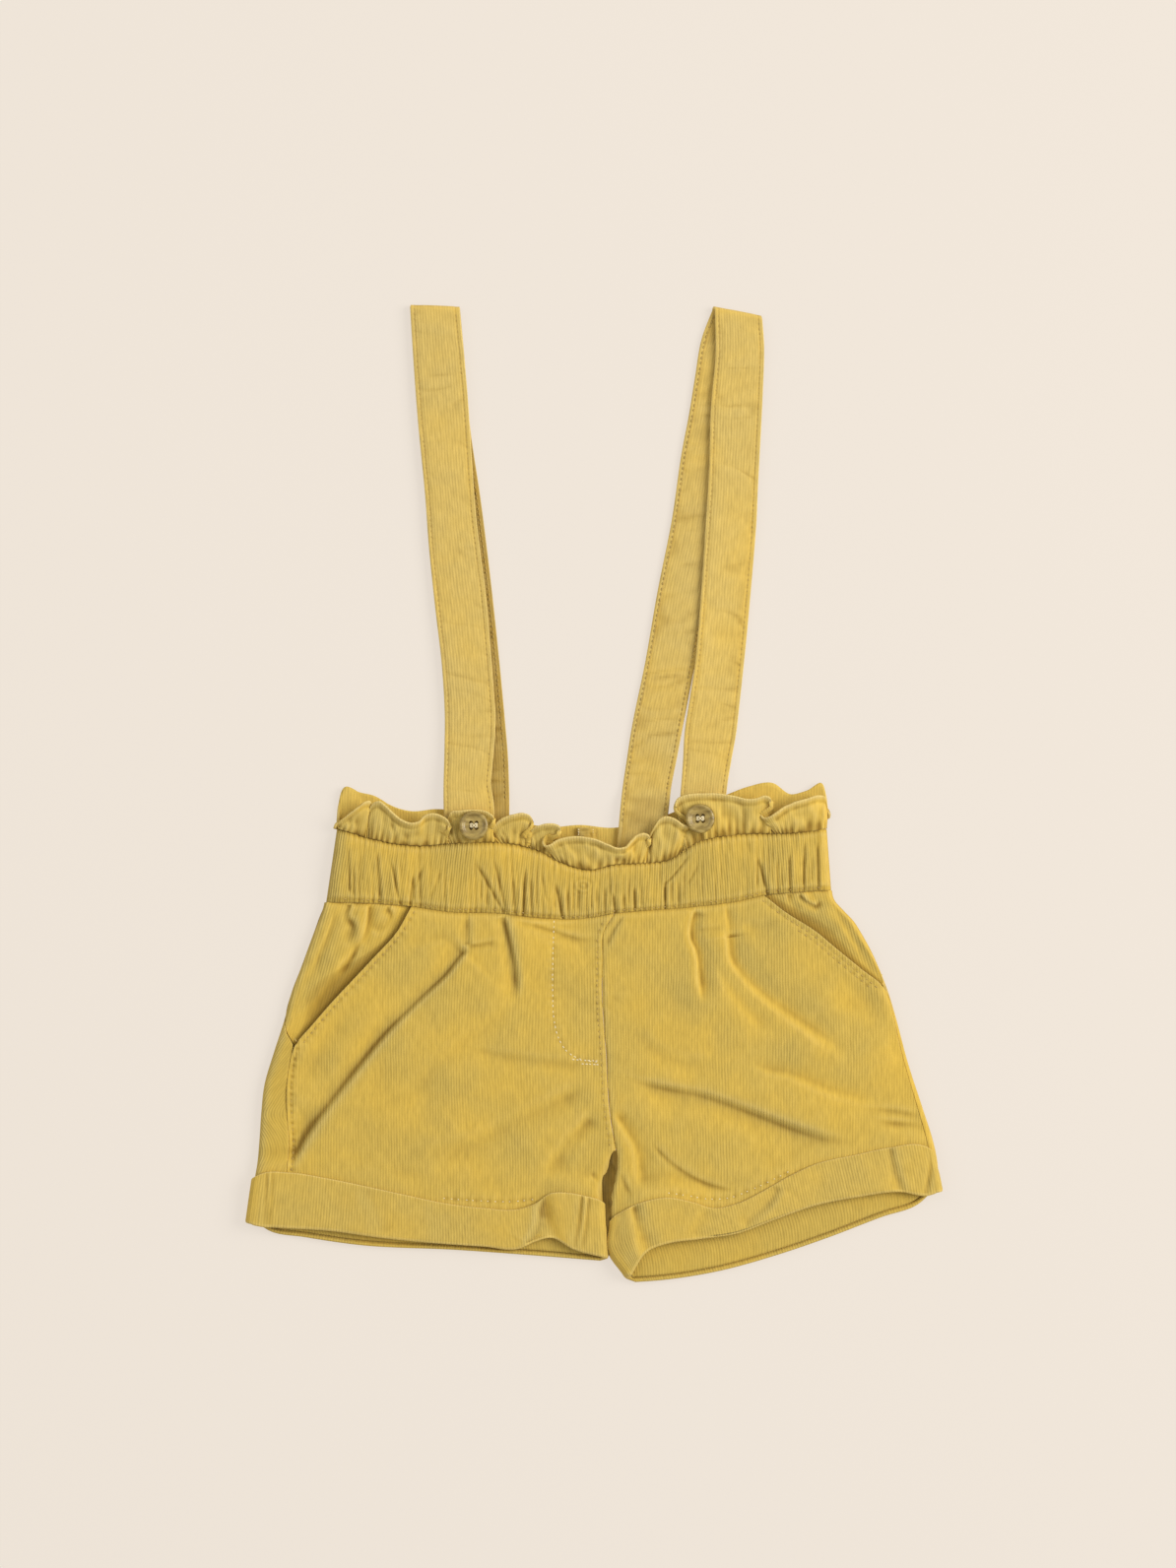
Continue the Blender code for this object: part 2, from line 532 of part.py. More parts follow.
def cloth(name, outer, wall, inner=None, level=()):
    """A closed wall between a grid of outer points and the same grid moved in by its thickness.

    level: pairs of a column and the share, by row, to which its cut edge faces straight down or up.
    """
    if inner is None:
        normal = normals_of(outer)
        for column, share in level:
            normal[:, column, 2] *= 1.0 - share
        normal /= np.linalg.norm(normal, axis=-1, keepdims=True)
        inner = outer - wall * normal
    rows, columns = outer.shape[:2]
    points = np.vstack([outer.reshape(-1, 3), inner.reshape(-1, 3)])
    under = rows * columns
    faces = []
    for row in range(rows - 1):
        for column in range(columns - 1):
            corner = row * columns + column
            quad = [corner, corner + columns, corner + columns + 1, corner + 1]
            height = points[quad, 2]
            if abs(height[1] - height[3]) < abs(height[0] - height[2]):
                quad = quad[1:] + quad[:1]
            for half in (quad[:3], [quad[0], *quad[2:]]):
                faces.append(tuple(half))
                faces.append(tuple(under + index for index in reversed(half)))
    rim = [column for column in range(columns)]
    rim += [row * columns + columns - 1 for row in range(1, rows)]
    rim += [(rows - 1) * columns + column for column in range(columns - 2, -1, -1)]
    rim += [row * columns for row in range(rows - 2, 0, -1)]
    for one, two in zip(rim, rim[1:] + rim[:1]):
        faces.append((one, two, under + two, under + one))
    return add_object(name, points, faces)


def spaced(count, close_first=(), close_last=()):
    """Shares from 0 to 1, even but for closer ones listed at each end."""
    start = close_first[-1] if close_first else 0.0
    end = close_last[-1] if close_last else 0.0
    middle = np.linspace(start, 1.0 - end, count - len(close_first) - len(close_last))
    first = [0.0, *close_first[:-1]] if close_first else []
    last = [1.0 - share for share in reversed(close_last[:-1])] + [1.0] if close_last else []
    return np.concatenate([first, middle, last])


def moved(points, dx=0.0, dy=0.0):
    return [(x + dx, y + dy) for x, y in points]


def cut_at(points, x_low, x_high):
    """The stretch of a line across the garment between two x, with its ends put there."""
    inside = [(x, y) for x, y in points if x_low + 4.0 < x < x_high - 4.0]
    ends = [(x, float(y_at(points, x))) for x in (x_low, x_high)]
    return [ends[0], *inside, ends[1]]


def cuff_plan(side, face, across, rise, up):
    """Plan points on a cuff, a share of its depth and a distance up from its lower edge.

    across: shares of its width from the outer end. face: "" for the front or "back_".
    """
    cuff = CUFF_LEFT if side == "left" else CUFF_RIGHT
    upper, lower = along(cuff[face + "top"], across), along(cuff[face + "bottom"], across)
    share = rise + up / np.linalg.norm(upper - lower, axis=1)
    plan = lower + (upper - lower) * share[:, None]
    if side == "right":
        end = smooth((np.asarray(across) - 0.9) / 0.1)
        plan[:, 0] -= CUFF_BELLY * 16.0 * share**2 * (1.0 - share) ** 2 * end
    return plan


def hem_line(side, face, outer_x):
    """Where a leg ends inside its cuff, from low x to high x, and its inner end's x."""
    inseam = INSEAM_LEFT if side == "left" else INSEAM_RIGHT
    line = cuff_plan(side, face, np.linspace(0.0, 1.0, 24), 0.0, CUFF_MARGIN)
    line = sorted(map(tuple, line.tolist()))
    inner_x = inseam[-1][0]
    for _ in range(24):
        inner_x = 0.5 * (inner_x + float(x_at(inseam, y_at(line, inner_x))))
    return cut_at(line, *sorted((outer_x, inner_x)))


def inner_line_of(side):
    """The centre seam, half a gap to this side of it, and the inner edge of the leg."""
    inseam = INSEAM_LEFT if side == "left" else INSEAM_RIGHT
    return moved(CENTRE_SEAM, dx=-SEAM / 2.0 if side == "left" else SEAM / 2.0) + inseam[1:]


def front_panel(side):
    """One front: waist seam, pocket edge and side seam, hem, centre seam and inner leg."""
    pocket = POCKET_LEFT if side == "left" else POCKET_RIGHT
    seam = SIDE_SEAM_LEFT if side == "left" else SIDE_SEAM_RIGHT
    inner_line = inner_line_of(side)
    seam_y = np.arange(pocket[-1][1] - 4.0, seam[-1][1], -6.0)
    outer_line = pocket + [(float(x_at(seam, y)), y) for y in seam_y]
    waist = moved(BAND_BOTTOM, dy=-SEAM)
    low, high = sorted((outer_line[0][0], inner_line[0][0]))
    top = cut_at(waist, low, high)
    left, right = (outer_line, inner_line) if side == "left" else (inner_line, outer_line)
    bottom = hem_line(side, "", seam[-1][0])
    left = [top[0], *left[1:-1], bottom[0]]
    right = [top[-1], *right[1:-1], bottom[-1]]
    close = (0.004, 0.012, 0.025, 0.06)
    across = spaced(22, close_last=close) if side == "left" else spaced(23, close, close)
    plan = patch(top, bottom, left, right, across, np.linspace(0.0, 1.0, 24))
    height = front_height(plan[..., 0], plan[..., 1])
    return np.dstack([plan, height])


def build_fronts():
    for side, inner in (("left", -1), ("right", 0)):
        grid = front_panel(side)
        cloth(f"front_{side}", grid, CLOTH, level=[(inner, leg_share(grid[:, inner, 1]))])


def build_facings():
    """The hip pieces that show behind the slanted pocket edges."""
    left_outline = [
        (-115.4, -47.6), (-117.0, -50.5), (-121.0, -61), (-126.5, -76), (-130.5, -86.5),
        (-132.9, -96.5), (-131.2, -103), (-129.2, -107),
    ]
    left_under = [
        (-70.5, -50.8), (-77.0, -64), (-90.0, -78), (-97.5, -86), (-106.0, -95), (-115.0, -105.5),
        (-121.0, -112),
    ]
    right_outline = [
        (102.8, -42.4), (103.9, -46), (107.6, -50.5), (112.3, -55.5), (115.9, -61), (123.4, -76),
        (125.2, -81.4),
    ]
    right_under = [
        (66.0, -46.8), (77.0, -57.4), (91.0, -66.6), (100.0, -74), (111.0, -83), (118.0, -89.5),
    ]
    waist = moved(BAND_BOTTOM, dy=-SEAM - 0.2)
    across = spaced(12, close_first=(0.06, 0.16))
    down = np.linspace(0.0, 1.0, 12)
    top = cut_at(waist, left_outline[0][0], left_under[0][0])
    left_outline[0], left_under[0] = top[0], top[-1]
    bottom = [left_outline[-1], (-126.0, -109.3), left_under[-1]]
    facing("hip_facing_left", top, bottom, left_outline, left_under, across, down, 0)
    top = cut_at(waist, right_under[0][0], right_outline[0][0])
    right_outline[0], right_under[0] = top[-1], top[0]
    bottom = [right_under[-1], (122.2, -86.6), right_outline[-1]]
    across = 1.0 - across[::-1]
    facing("hip_facing_right", top, bottom, right_under, right_outline, across, down, -1)


def facing(name, top, bottom, left, right, across, down, outer_column):
    plan = patch(top, bottom, left, right, across, down)
    grid = np.dstack([plan, facing_height(plan[..., 0], plan[..., 1])])
    cloth(name, grid, CLOTH, level=[(outer_column, turned_down(grid[:, outer_column]))])


def turned_down(edge):
    """1 where an edge lies on the fold of the outline, 0 where it lies inside it, by row."""
    outer, _ = inset_of(edge[:, 0], edge[:, 1])
    return 1.0 - smooth(outer / 0.8)


def shares_down(line, rows):
    """Shares of a line's length at which it passes these y."""
    curve = dense_curve(line)
    at = np.concatenate([[0.0], np.cumsum(np.linalg.norm(np.diff(curve, axis=0), axis=1))])
    return np.interp([-y for y in rows], -curve[:, 1], at / at[-1])


def back_panel(side):
    """One back: flat on the surface, round the outer fold and up to the side seam."""
    sign = -1.0 if side == "left" else 1.0
    outline = OUTLINE_LEFT if side == "left" else OUTLINE_RIGHT
    seam = SIDE_SEAM_LEFT if side == "left" else SIDE_SEAM_RIGHT
    inner_line = inner_line_of(side)
    turn = EDGE_HEIGHT / 2.0
    outer_line = [(x - sign * turn, y) for x, y in outline]
    ends = sorted((inner_line[0][0], outer_line[0][0]))
    top = cut_at(moved(BAND_BOTTOM, dy=-SEAM - 0.3), *ends)
    bottom = hem_line(side, "back_", outer_line[-1][0])
    end_y = cuff_plan(side, "back_", [0.0], 0.0, CUFF_MARGIN + 0.3)[0, 1]
    bottom[0 if side == "left" else -1] = (outer_line[-1][0], float(end_y))
    left, right = (outer_line, inner_line) if side == "left" else (inner_line, outer_line)
    left = [top[0], *[p for p in left[1:-1] if p[1] > bottom[0][1] + 2.0], bottom[0]]
    right = [top[-1], *[p for p in right[1:-1] if p[1] > bottom[-1][1] + 2.0], bottom[-1]]
    close = (0.004, 0.012, 0.03)
    across = spaced(11, close_last=close) if side == "left" else spaced(11, close_first=close)
    pocket_end = shares_down(left if side == "left" else right, POCKET_END_ROWS[side])
    down = np.unique(np.concatenate([BACK_ROWS, pocket_end]))
    plan = patch(top, bottom, left, right, across, down)
    x, y = plan[..., 0], plan[..., 1]
    low = under_height(x, y)
    _, inner = inset_of(x, y)
    radius = (front_top(x, y) - low) / 2.0
    short = np.clip(radius - inner, 0.0, radius)
    turned_up = radius - np.sqrt(np.maximum(radius**2 - short**2, 0.0))
    height = low + leg_share(y) * (turned_up - SEAM * smooth(1.0 - inner / radius))
    flat = np.dstack([plan, np.maximum(height, 0.0)])
    edge = flat[:, 0] if side == "left" else flat[:, -1]
    wrapped = []
    for x_start, y_row, z_low in edge:
        x_edge = float(x_at(outline, y_row))
        radius = abs(x_edge - x_start)
        inset = abs(float(x_at(seam, y_row)) - x_edge) if y_row < seam[0][1] else 0.0
        wrapped.append(fold_row(side, x_edge, y_row, z_low, radius, inset))
    wrapped = np.array(wrapped)
    if side == "left":
        return np.concatenate([wrapped[:, ::-1], flat[:, 1:]], axis=1)
    return np.concatenate([flat[:, :-1], wrapped], axis=1)


def front_top(x, y):
    """Height of the folded edge's upper face, with no folds in it."""
    cover = under_cuff(x, y, "top")
    return EDGE_HEIGHT * (1.0 - cover) + leg_height(x, y) * cover


def fold_row(side, x_edge, y, low, radius, depth):
    """Points from the flat underside round the outer fold to the side seam, at one y."""
    sign = -1.0 if side == "left" else 1.0
    top = float(front_top(x_edge - sign * radius, y))
    half = (top - low) / 2.0
    if depth < radius:
        reach = radius * (math.pi - math.asin(1.0 - depth / radius)) - 1.5 * SEAM
    else:
        reach = math.pi * radius + depth - radius - 1.5 * SEAM
    arc = min(math.pi * radius, 0.7 * reach)
    stops = [arc * step / 5 for step in range(6)]
    stops += [arc + (reach - arc) * step / 3 for step in (1, 2, 3)]
    row = []
    for length in stops:
        angle = min(length / radius, math.pi)
        inset = radius - radius * math.sin(angle) + max(length - math.pi * radius, 0.0)
        x = x_edge - sign * inset
        z = low + half - half * math.cos(angle)
        if length > math.pi * radius:
            z = float(sheet_height(np.array(x), np.array(y)))
        row.append((x, y, z))
    return row


def build_backs():
    for side, inner, outer in (("left", 0, -1), ("right", -1, 0)):
        grid = back_panel(side)[:, ::-1]
        level = [(inner, leg_share(grid[:, inner, 1])), (outer, turned_down(grid[:, outer]))]
        cloth(f"back_{side}", grid, CLOTH, level=level)


def gather_columns():
    """x of the waist gathers' valleys and crests, with the depth at each."""
    columns = []
    x, turn = BAND_TOP[0][0] + 6.0, 0
    while x < BAND_TOP[-1][0] - 6.0:
        spacing = GATHER_SPACING[turn % len(GATHER_SPACING)]
        depth = GATHER_DEPTH[turn % len(GATHER_DEPTH)]
        columns += [(x, -depth), (x + 0.36 * spacing, 0.0), (x + 0.68 * spacing, 0.15)]
        x += spacing
        turn += 1
    return columns


def band_plan(across, down, top, bottom):
    """Plan points of a band between its upper and lower seam."""
    upper, lower = along(top, across), along(bottom, across)
    t = down[:, None, None]
    return (1 - t) * upper + t * lower


def end_arc(grid, x_edge, middle, radius, sign, steps=3):
    """Columns that turn a band's end down to half its height."""
    columns = []
    for step in range(1, steps + 1):
        angle = 0.5 * math.pi * step / steps
        column = grid.copy()
        column[:, 0] = grid[:, 0] + sign * radius * math.sin(angle)
        column[:, 2] = middle + (grid[:, 2] - middle) * math.cos(angle)
        columns.append(column)
    columns[-1][:, 2] += np.sign(grid[0, 2] - middle) * SEAM / 2.0
    return columns


def build_waistband():
    radius = BAND_HEIGHT / 2.0
    columns = gather_columns()
    x_low, x_high = BAND_TOP[0][0], BAND_TOP[-1][0]
    span = x_high - x_low
    edge = radius / span
    inner_x = [x for x, _ in columns if x_low + radius + 1.2 < x < x_high - radius - 1.2]
    depths = [d for x, d in columns if x_low + radius + 1.2 < x < x_high - radius - 1.2]
    across = np.array([edge, *[(x - x_low) / span for x in inner_x], 1.0 - edge])
    depths = np.array([0.0, *depths, 0.0])
    plan = band_plan(across, np.array([0.0, 0.45, 1.0]), BAND_TOP, BAND_BOTTOM)
    height = band_height(plan[..., 0], plan[..., 1])
    strength = np.array([0.7, 1.0, 0.5])[:, None]
    outer = np.dstack([plan, height + strength * depths[None, :]])
    plain = np.dstack([plan, height])
    grids = []
    for grid, thick in ((outer, 0.0), (plain, BAND_WALL)):
        body = grid.copy()
        body[..., 2] -= thick
        first = end_arc(body[:, 0], x_low, radius, radius - thick, -1.0)
        last = end_arc(body[:, -1], x_high, radius, radius - thick, 1.0)
        left = np.stack(first[::-1], axis=1)
        right = np.stack(last, axis=1)
        grids.append(np.concatenate([left, body, right], axis=1))
    cloth("waistband_front", grids[0], BAND_WALL, inner=grids[1])

    across = np.linspace(edge, 1.0 - edge, 26)
    plan = band_plan(across, np.array([0.0, 0.5, 1.0]), BACK_BAND_TOP, BAND_BOTTOM)
    grids = []
    for thick in (0.0, BAND_WALL):
        body = np.dstack([plan, np.full(plan.shape[:2], thick)])
        first = end_arc(body[:, 0], x_low, radius, radius - thick, -1.0)
        last = end_arc(body[:, -1], x_high, radius, radius - thick, 1.0)
        left = np.stack(first[::-1], axis=1)
        right = np.stack(last, axis=1)
        grids.append(np.concatenate([left, body, right], axis=1)[:, ::-1])
    cloth("waistband_back", grids[0], BAND_WALL, inner=grids[1])


def frill_front_grid(count=96, rows=(0.0, 0.35, 0.7, 1.0)):
    """The front frill from its foot on the waistband to its waved free edge."""
    table = np.array(FRONT_FRILL, float)
    curve = dense_curve(np.column_stack([table[:, 1:], table[:, 0]]), 8)
    read = read_along(curve, np.linspace(0.0, 1.0, count))
    edge, foot_x = read[:, :3], read[:, 3]
    foot_y = y_at(BAND_TOP, foot_x) + SEAM
    foot_z = 2.0 * band_end(foot_x) - 1.0
    middle = BAND_HEIGHT / 2.0
    full = band_height(foot_x, foot_y - SEAM) - middle
    foot = np.column_stack([foot_x, foot_y, middle + full * foot_z + 0.1])
    grid = []
    for share in rows:
        rise = math.sin(0.5 * math.pi * share)
        row = foot + (edge - foot) * share
        row[:, 2] = foot[:, 2] + (edge[:, 2] - foot[:, 2]) * rise
        grid.append(row)
    return np.array(grid)[::-1]


def build_frills():
    front = frill_front_grid()
    cloth("frill_front", front, FRILL_WALL, level=[(0, 1.0), (-1, 1.0)])
    share = np.linspace(0.0, 1.0, 46)
    edge = along(BACK_FRILL, share)
    foot = along(BACK_BAND_TOP, share) + np.array([0.0, SEAM])
    middle = BAND_HEIGHT / 2.0
    foot_z = middle * (1.0 - (2.0 * band_end(foot[:, 0]) - 1.0))
    foot = np.column_stack([foot, np.maximum(foot_z - 0.3, 0.0)])
    rows = []
    for step in (0.0, 0.4, 0.75, 1.0):
        row = foot + (edge - foot) * step
        row[:, 2] = np.maximum(foot[:, 2] + (edge[:, 2] - foot[:, 2]) * step**2, 0.0)
        rows.append(row)
    grid = np.array(rows)[::-1, ::-1]
    cloth("frill_back", grid, FRILL_WALL, level=[(0, 1.0), (-1, 1.0)])
    return front


def cuff_loop(side, share, up, inward):
    """One ring round a cuff at this share and distance up its depth, moved in by a distance."""
    outer_radius, inner_radius = CUFF_END_RADIUS[side]
    sign = -1.0 if side == "left" else 1.0
    ends = cuff_plan(side, "", [0.0, 1.0], share, up)
    span = abs(ends[1, 0] - ends[0, 0])
    start, stop = outer_radius / span, 1.0 - inner_radius / span
    front = cuff_plan(side, "", np.linspace(start, stop, 27), share, up)
    back = cuff_plan(side, "back_", np.linspace(stop, start, 15), share, up)
    rise = cuff_height(front[:, 0], front[:, 1])
    ring = [(x, y, z - inward) for (x, y), z in zip(front, rise)]
    inner_turn = turn_points(front[-1], back[0], rise[-1], inward, -sign)
    outer_turn = turn_points(front[0], back[-1], rise[0], inward, sign)[::-1]
    ring += inner_turn
    ring += [(x, y, inward) for x, y in back]
    return ring + outer_turn


def turn_points(front, back, height, inward, sign, steps=5):
    """The rounded end of a cuff, from its front down to its back."""
    half = height / 2.0
    points = []
    for step in range(1, steps):
        angle = math.pi * step / steps
        share = step / steps
        x = (1 - share) * front[0] + share * back[0] + sign * (half - inward) * math.sin(angle)
        y = (1 - share) * front[1] + share * back[1]
        points.append((x, y, half + (half - inward) * math.cos(angle)))
    return points


def build_cuffs():
    lip = 2.0 * CLOTH + 0.7
    profile = [
        (1.0, 0.0, 0.0), (0.67, 0.0, 0.0), (0.34, 0.0, 0.0), (0.0, 1.0, 0.0), (0.0, 0.0, 0.8),
        (0.0, 0.0, lip - 0.8), (0.0, 0.6, lip), (0.0, CUFF_LIP, lip), (0.0, CUFF_LIP + 0.4, CLOTH),
        (0.5, 0.0, CLOTH), (1.0, 0.0, CLOTH),
    ]
    for side in ("left", "right"):
        rings = np.array([cuff_loop(side, *place) for place in profile])
        count, length = rings.shape[:2]
        faces = []
        for one in range(count):
            two = (one + 1) % count
            for at in range(length):
                ahead = (at + 1) % length
                near, far = one * length, two * length
                quad = (near + at, far + at, far + ahead, near + ahead)
                faces.append(quad if side == "left" else tuple(reversed(quad)))
        add_object(f"cuff_{side}", rings.reshape(-1, 3), faces)


def strap_grid(table):
    """Outer face of a strap: up the front strip, over the fold and down the back strip."""
    rows = []
    shares = np.array(STRAP_ROWS)
    for strip, places in (("front", shares), ("back", 1.0 - shares[::-1])):
        curve = dense_curve(table[strip], 8)
        curve[:, 4:] = np.maximum(curve[:, 4:], 0.0)
        rows.append(read_along(curve, places))
    front, back = rows
    fold = []
    for step in range(1, STRAP_FOLD_STEPS):
        angle = math.pi * step / STRAP_FOLD_STEPS
        share = 0.5 - 0.5 * math.cos(angle)
        row = front[-1] * (1 - share) + back[0] * share
        row[[0, 2]] += 0.5 * front[-1][[4, 5]] * math.sin(angle)
        row[[4, 5]] = 0.5 * front[-1][[4, 5]] * (1.0 + math.cos(angle))
        fold.append(row)
    read = np.vstack([front, fold, back])
    left, right = read[:, [1, 0, 4]], read[:, [3, 2, 5]]
    return np.stack([left, (left + right) / 2.0, right], axis=1)


def build_straps():
    for side, table in (("left", STRAP_LEFT), ("right", STRAP_RIGHT)):
        cloth(f"strap_{side}", strap_grid(table)[::-1], STRAP_WALL)


def build_buttons(frill):
    """Four-hole buttons, each just clear of the highest part of the frill under it."""
    profile = [
        (0.0, 0.0), (5.0, 0.0), (6.1, 0.5), (BUTTON_RADIUS, 1.3), (6.0, BUTTON_THICKNESS - 0.2),
        (5.2, BUTTON_THICKNESS), (4.3, BUTTON_THICKNESS - 0.7), (0.0, BUTTON_THICKNESS - 0.9),
    ]
    sides = 18
    for name, (x, y) in BUTTONS.items():
        near = np.hypot(frill[..., 0] - x, frill[..., 1] - y) < BUTTON_RADIUS + 1.0
        base = float(frill[..., 2][near].max()) + REST
        points = [(x, y, base + profile[0][1]), (x, y, base + profile[-1][1])]
        for radius, z in profile[1:-1]:
            for side in range(sides):
                angle = 2.0 * math.pi * side / sides
                points.append((x + radius * math.cos(angle), y + radius * math.sin(angle), base + z))
        faces = []
        for side in range(sides):
            ahead = (side + 1) % sides
            faces.append((0, 2 + ahead, 2 + side))
            for ring in range(len(profile) - 3):
                low, high = 2 + ring * sides, 2 + (ring + 1) * sides
                faces.append((low + side, low + ahead, high + ahead, high + side))
            last = 2 + (len(profile) - 3) * sides
            faces.append((1, last + side, last + ahead))
        button = add_object(f"button_{name}", points, faces, "button")
        for hole in range(4):
            angle = math.pi * (0.25 + 0.5 * hole)
            bpy.ops.mesh.primitive_cylinder_add(
                vertices=8, radius=BUTTON_HOLE * MM, depth=4 * BUTTON_THICKNESS * MM,
                location=(
                    (x + BUTTON_HOLE_RING * math.cos(angle)) * MM,
                    (y + BUTTON_HOLE_RING * math.sin(angle)) * MM,
                    (base + BUTTON_THICKNESS / 2) * MM,
                ),
            )
            cutter = bpy.context.object
            cutter.name = f"button_{name}_hole_{hole + 1}"
            cutter.hide_render = True
            cutter.display_type = "WIRE"
            cut = button.modifiers.new(f"hole_{hole + 1}", "BOOLEAN")
            cut.operation = "DIFFERENCE"
            cut.object = cutter


def main():
    for existing in list(bpy.data.objects):
        bpy.data.objects.remove(existing, do_unlink=True)
    build_backs()
    build_facings()
    build_fronts()
    build_cuffs()
    build_waistband()
    frill = build_frills()
    build_straps()
    build_buttons(frill)


main()
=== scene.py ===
"""Looks of the baby shorts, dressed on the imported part.

Needlecord shorts with two buttoned straps, laid flat with the front up. Tables are in
millimetres, as in the part's source: +X to the right as seen from above, +Y from the hems to the
straps, +Z up off the surface.
"""

import math

import bpy
import numpy as np
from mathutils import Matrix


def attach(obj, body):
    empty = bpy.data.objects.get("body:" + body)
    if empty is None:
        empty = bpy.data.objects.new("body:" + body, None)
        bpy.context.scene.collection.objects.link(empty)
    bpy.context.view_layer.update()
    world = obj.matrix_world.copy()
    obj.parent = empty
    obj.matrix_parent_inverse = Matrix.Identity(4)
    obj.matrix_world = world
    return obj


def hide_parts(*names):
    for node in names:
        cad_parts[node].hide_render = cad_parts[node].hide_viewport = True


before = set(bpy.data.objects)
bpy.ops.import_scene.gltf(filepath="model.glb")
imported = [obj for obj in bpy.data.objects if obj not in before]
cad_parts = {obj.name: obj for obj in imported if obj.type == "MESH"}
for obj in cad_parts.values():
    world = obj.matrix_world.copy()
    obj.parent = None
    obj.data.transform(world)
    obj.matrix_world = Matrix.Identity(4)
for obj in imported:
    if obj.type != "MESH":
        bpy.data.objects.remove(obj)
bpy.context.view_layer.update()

MM = 0.001

# The photograph's frame in pixels, the pixel that shows the origin, and the scale there.
FRAME_WIDTH, FRAME_HEIGHT = 1194, 1592
ORIGIN_PIXEL = (602.5, 805.0)
MM_PER_PIXEL = 0.425

# Walls of cloth, and the gaps at the seams between two pieces.
CLOTH = 1.2
FRILL_WALL = 1.5
FRILL_FRONT_WALL = 1.1
ALLOWANCE_WALL = 0.9
BAND_WALL = 2.0
STRAP_WALL = 1.5
SEAM = 0.4
REST = 0.4

# Heights of the upper face above the surface.
EDGE_HEIGHT = 4.4
CROWN = 1.0
POCKET_LIP = 1.1
FACING_HEIGHT = 3.1
BAND_HEIGHT = 5.6
CUFF_HEIGHT = 7.2
CUFF_LIFT = CLOTH + REST - 0.1
STRAP_LIFT = 1.3
CUFF_LIP = 1.3
CUFF_MARGIN = 2.6
CUFF_BELLY = 4.4

# Points across and down each kind of cloth's grid.
FRONT_GRID = (196, 200)
BACK_GRID = (78, 138)
HIP_GRID = (82, 94)
BAND_COLUMNS = {"front": 540, "back": 230}
BAND_ROWS = 46
FRILL_GRID = (620, 24)
BACK_FRILL_GRID = (260, 16)

BUTTON_RADIUS = 6.35
BUTTON_THICKNESS = 2.6
BUTTON_HOLE = 0.8
BUTTON_HOLE_RING = 1.7
BUTTONS = {"left": (-51.5, -14.0), "right": (46.0, -11.0)}

CROTCH = (9.6, -154.5)

# Outline of the flattened body, x at each y from the waist down to inside the cuff.
OUTLINE_LEFT = [
    (-115.5, -44), (-117.0, -50.5), (-121.0, -61), (-126.5, -76), (-130.5, -86.5),
    (-133.5, -98), (-138.0, -112), (-142.3, -127), (-143.5, -138), (-144.3, -150),
    (-145.3, -161), (-146.9, -170), (-148.2, -179), (-148.8, -190),
]
OUTLINE_RIGHT = [
    (102.8, -40), (104.0, -46), (107.8, -50.5), (112.5, -55.5), (116.0, -61), (123.5, -76),
    (127.5, -86.5), (130.5, -96.5), (136.0, -117), (142.5, -137), (146.6, -150),
    (148.3, -158), (149.0, -166), (147.6, -176),
]
# Inner edge of each leg below the crotch.
INSEAM_LEFT = [
    CROTCH, (7.8, -160), (5.4, -167), (4.2, -174), (4.8, -181), (5.6, -188), (6.2, -201),
]
INSEAM_RIGHT = [
    CROTCH, (9.4, -159), (8.6, -166), (7.0, -173), (6.8, -182), (7.4, -189.5), (9.0, -197.5),
    (12.8, -204.3), (16.2, -208.3),
]

# Seams and edges seen on the front.
CENTRE_SEAM = [
    (9.0, -52), (4.5, -60), (3.9, -72.5), (3.7, -86), (4.5, -101), (5.5, -113.5), (6.2, -128.5),
    (7.4, -141), (8.9, -150), CROTCH,
]
POCKET_LEFT = [
    (-78.5, -49.5), (-84.0, -59), (-96.0, -72.5), (-103.5, -80.5), (-111.5, -89),
    (-121.5, -100.5), (-128.5, -109),
]
POCKET_RIGHT = [
    (73.5, -44.5), (82.0, -51), (96.0, -60), (105.0, -67.5), (116.0, -76.5), (125.0, -83.8),
]
SIDE_SEAM_LEFT = [
    (-133.6, -98), (-132.2, -104), (-129.6, -109), (-131.0, -116), (-132.2, -126),
    (-132.2, -138), (-131.4, -152), (-132.2, -163), (-134.0, -188),
]
SIDE_SEAM_RIGHT = [
    (126.6, -83.8), (127.3, -86.5), (128.0, -90), (129.4, -96.5), (134.2, -117), (140.0, -137),
    (143.6, -150), (145.0, -158), (145.4, -166), (144.4, -173),
]
BAND_TOP = [
    (-110.8, -15.5), (-97.0, -19.5), (-86.0, -22), (-74.5, -23), (-63.0, -22), (-51.5, -21.5),
    (-40.5, -21.5), (-30.5, -23), (-23.5, -25), (-14.0, -30), (-3.0, -33.3), (9.5, -31),
    (22.5, -30.3), (32.5, -29), (39.0, -25), (45.5, -21), (51.5, -19.5), (63.0, -18),
    (88.0, -17.3), (100.8, -15.5),
]
BAND_BOTTOM = [
    (-115.5, -47), (-109.0, -47.1), (-95.0, -47.5), (-82.0, -48.5), (-59.5, -51.5), (-44.0, -51.7),
    (-21.5, -54), (-5.5, -54.3), (8.5, -52), (22.5, -50.7), (39.0, -49.5), (63.0, -46.5),
    (75.5, -43.7), (88.0, -42.7), (97.0, -42), (102.8, -41.9),
]
BACK_BAND_TOP = [(-110.8, -15.5), (-60, -20), (-5, -27.5), (50, -19.5), (100.8, -15.5)]

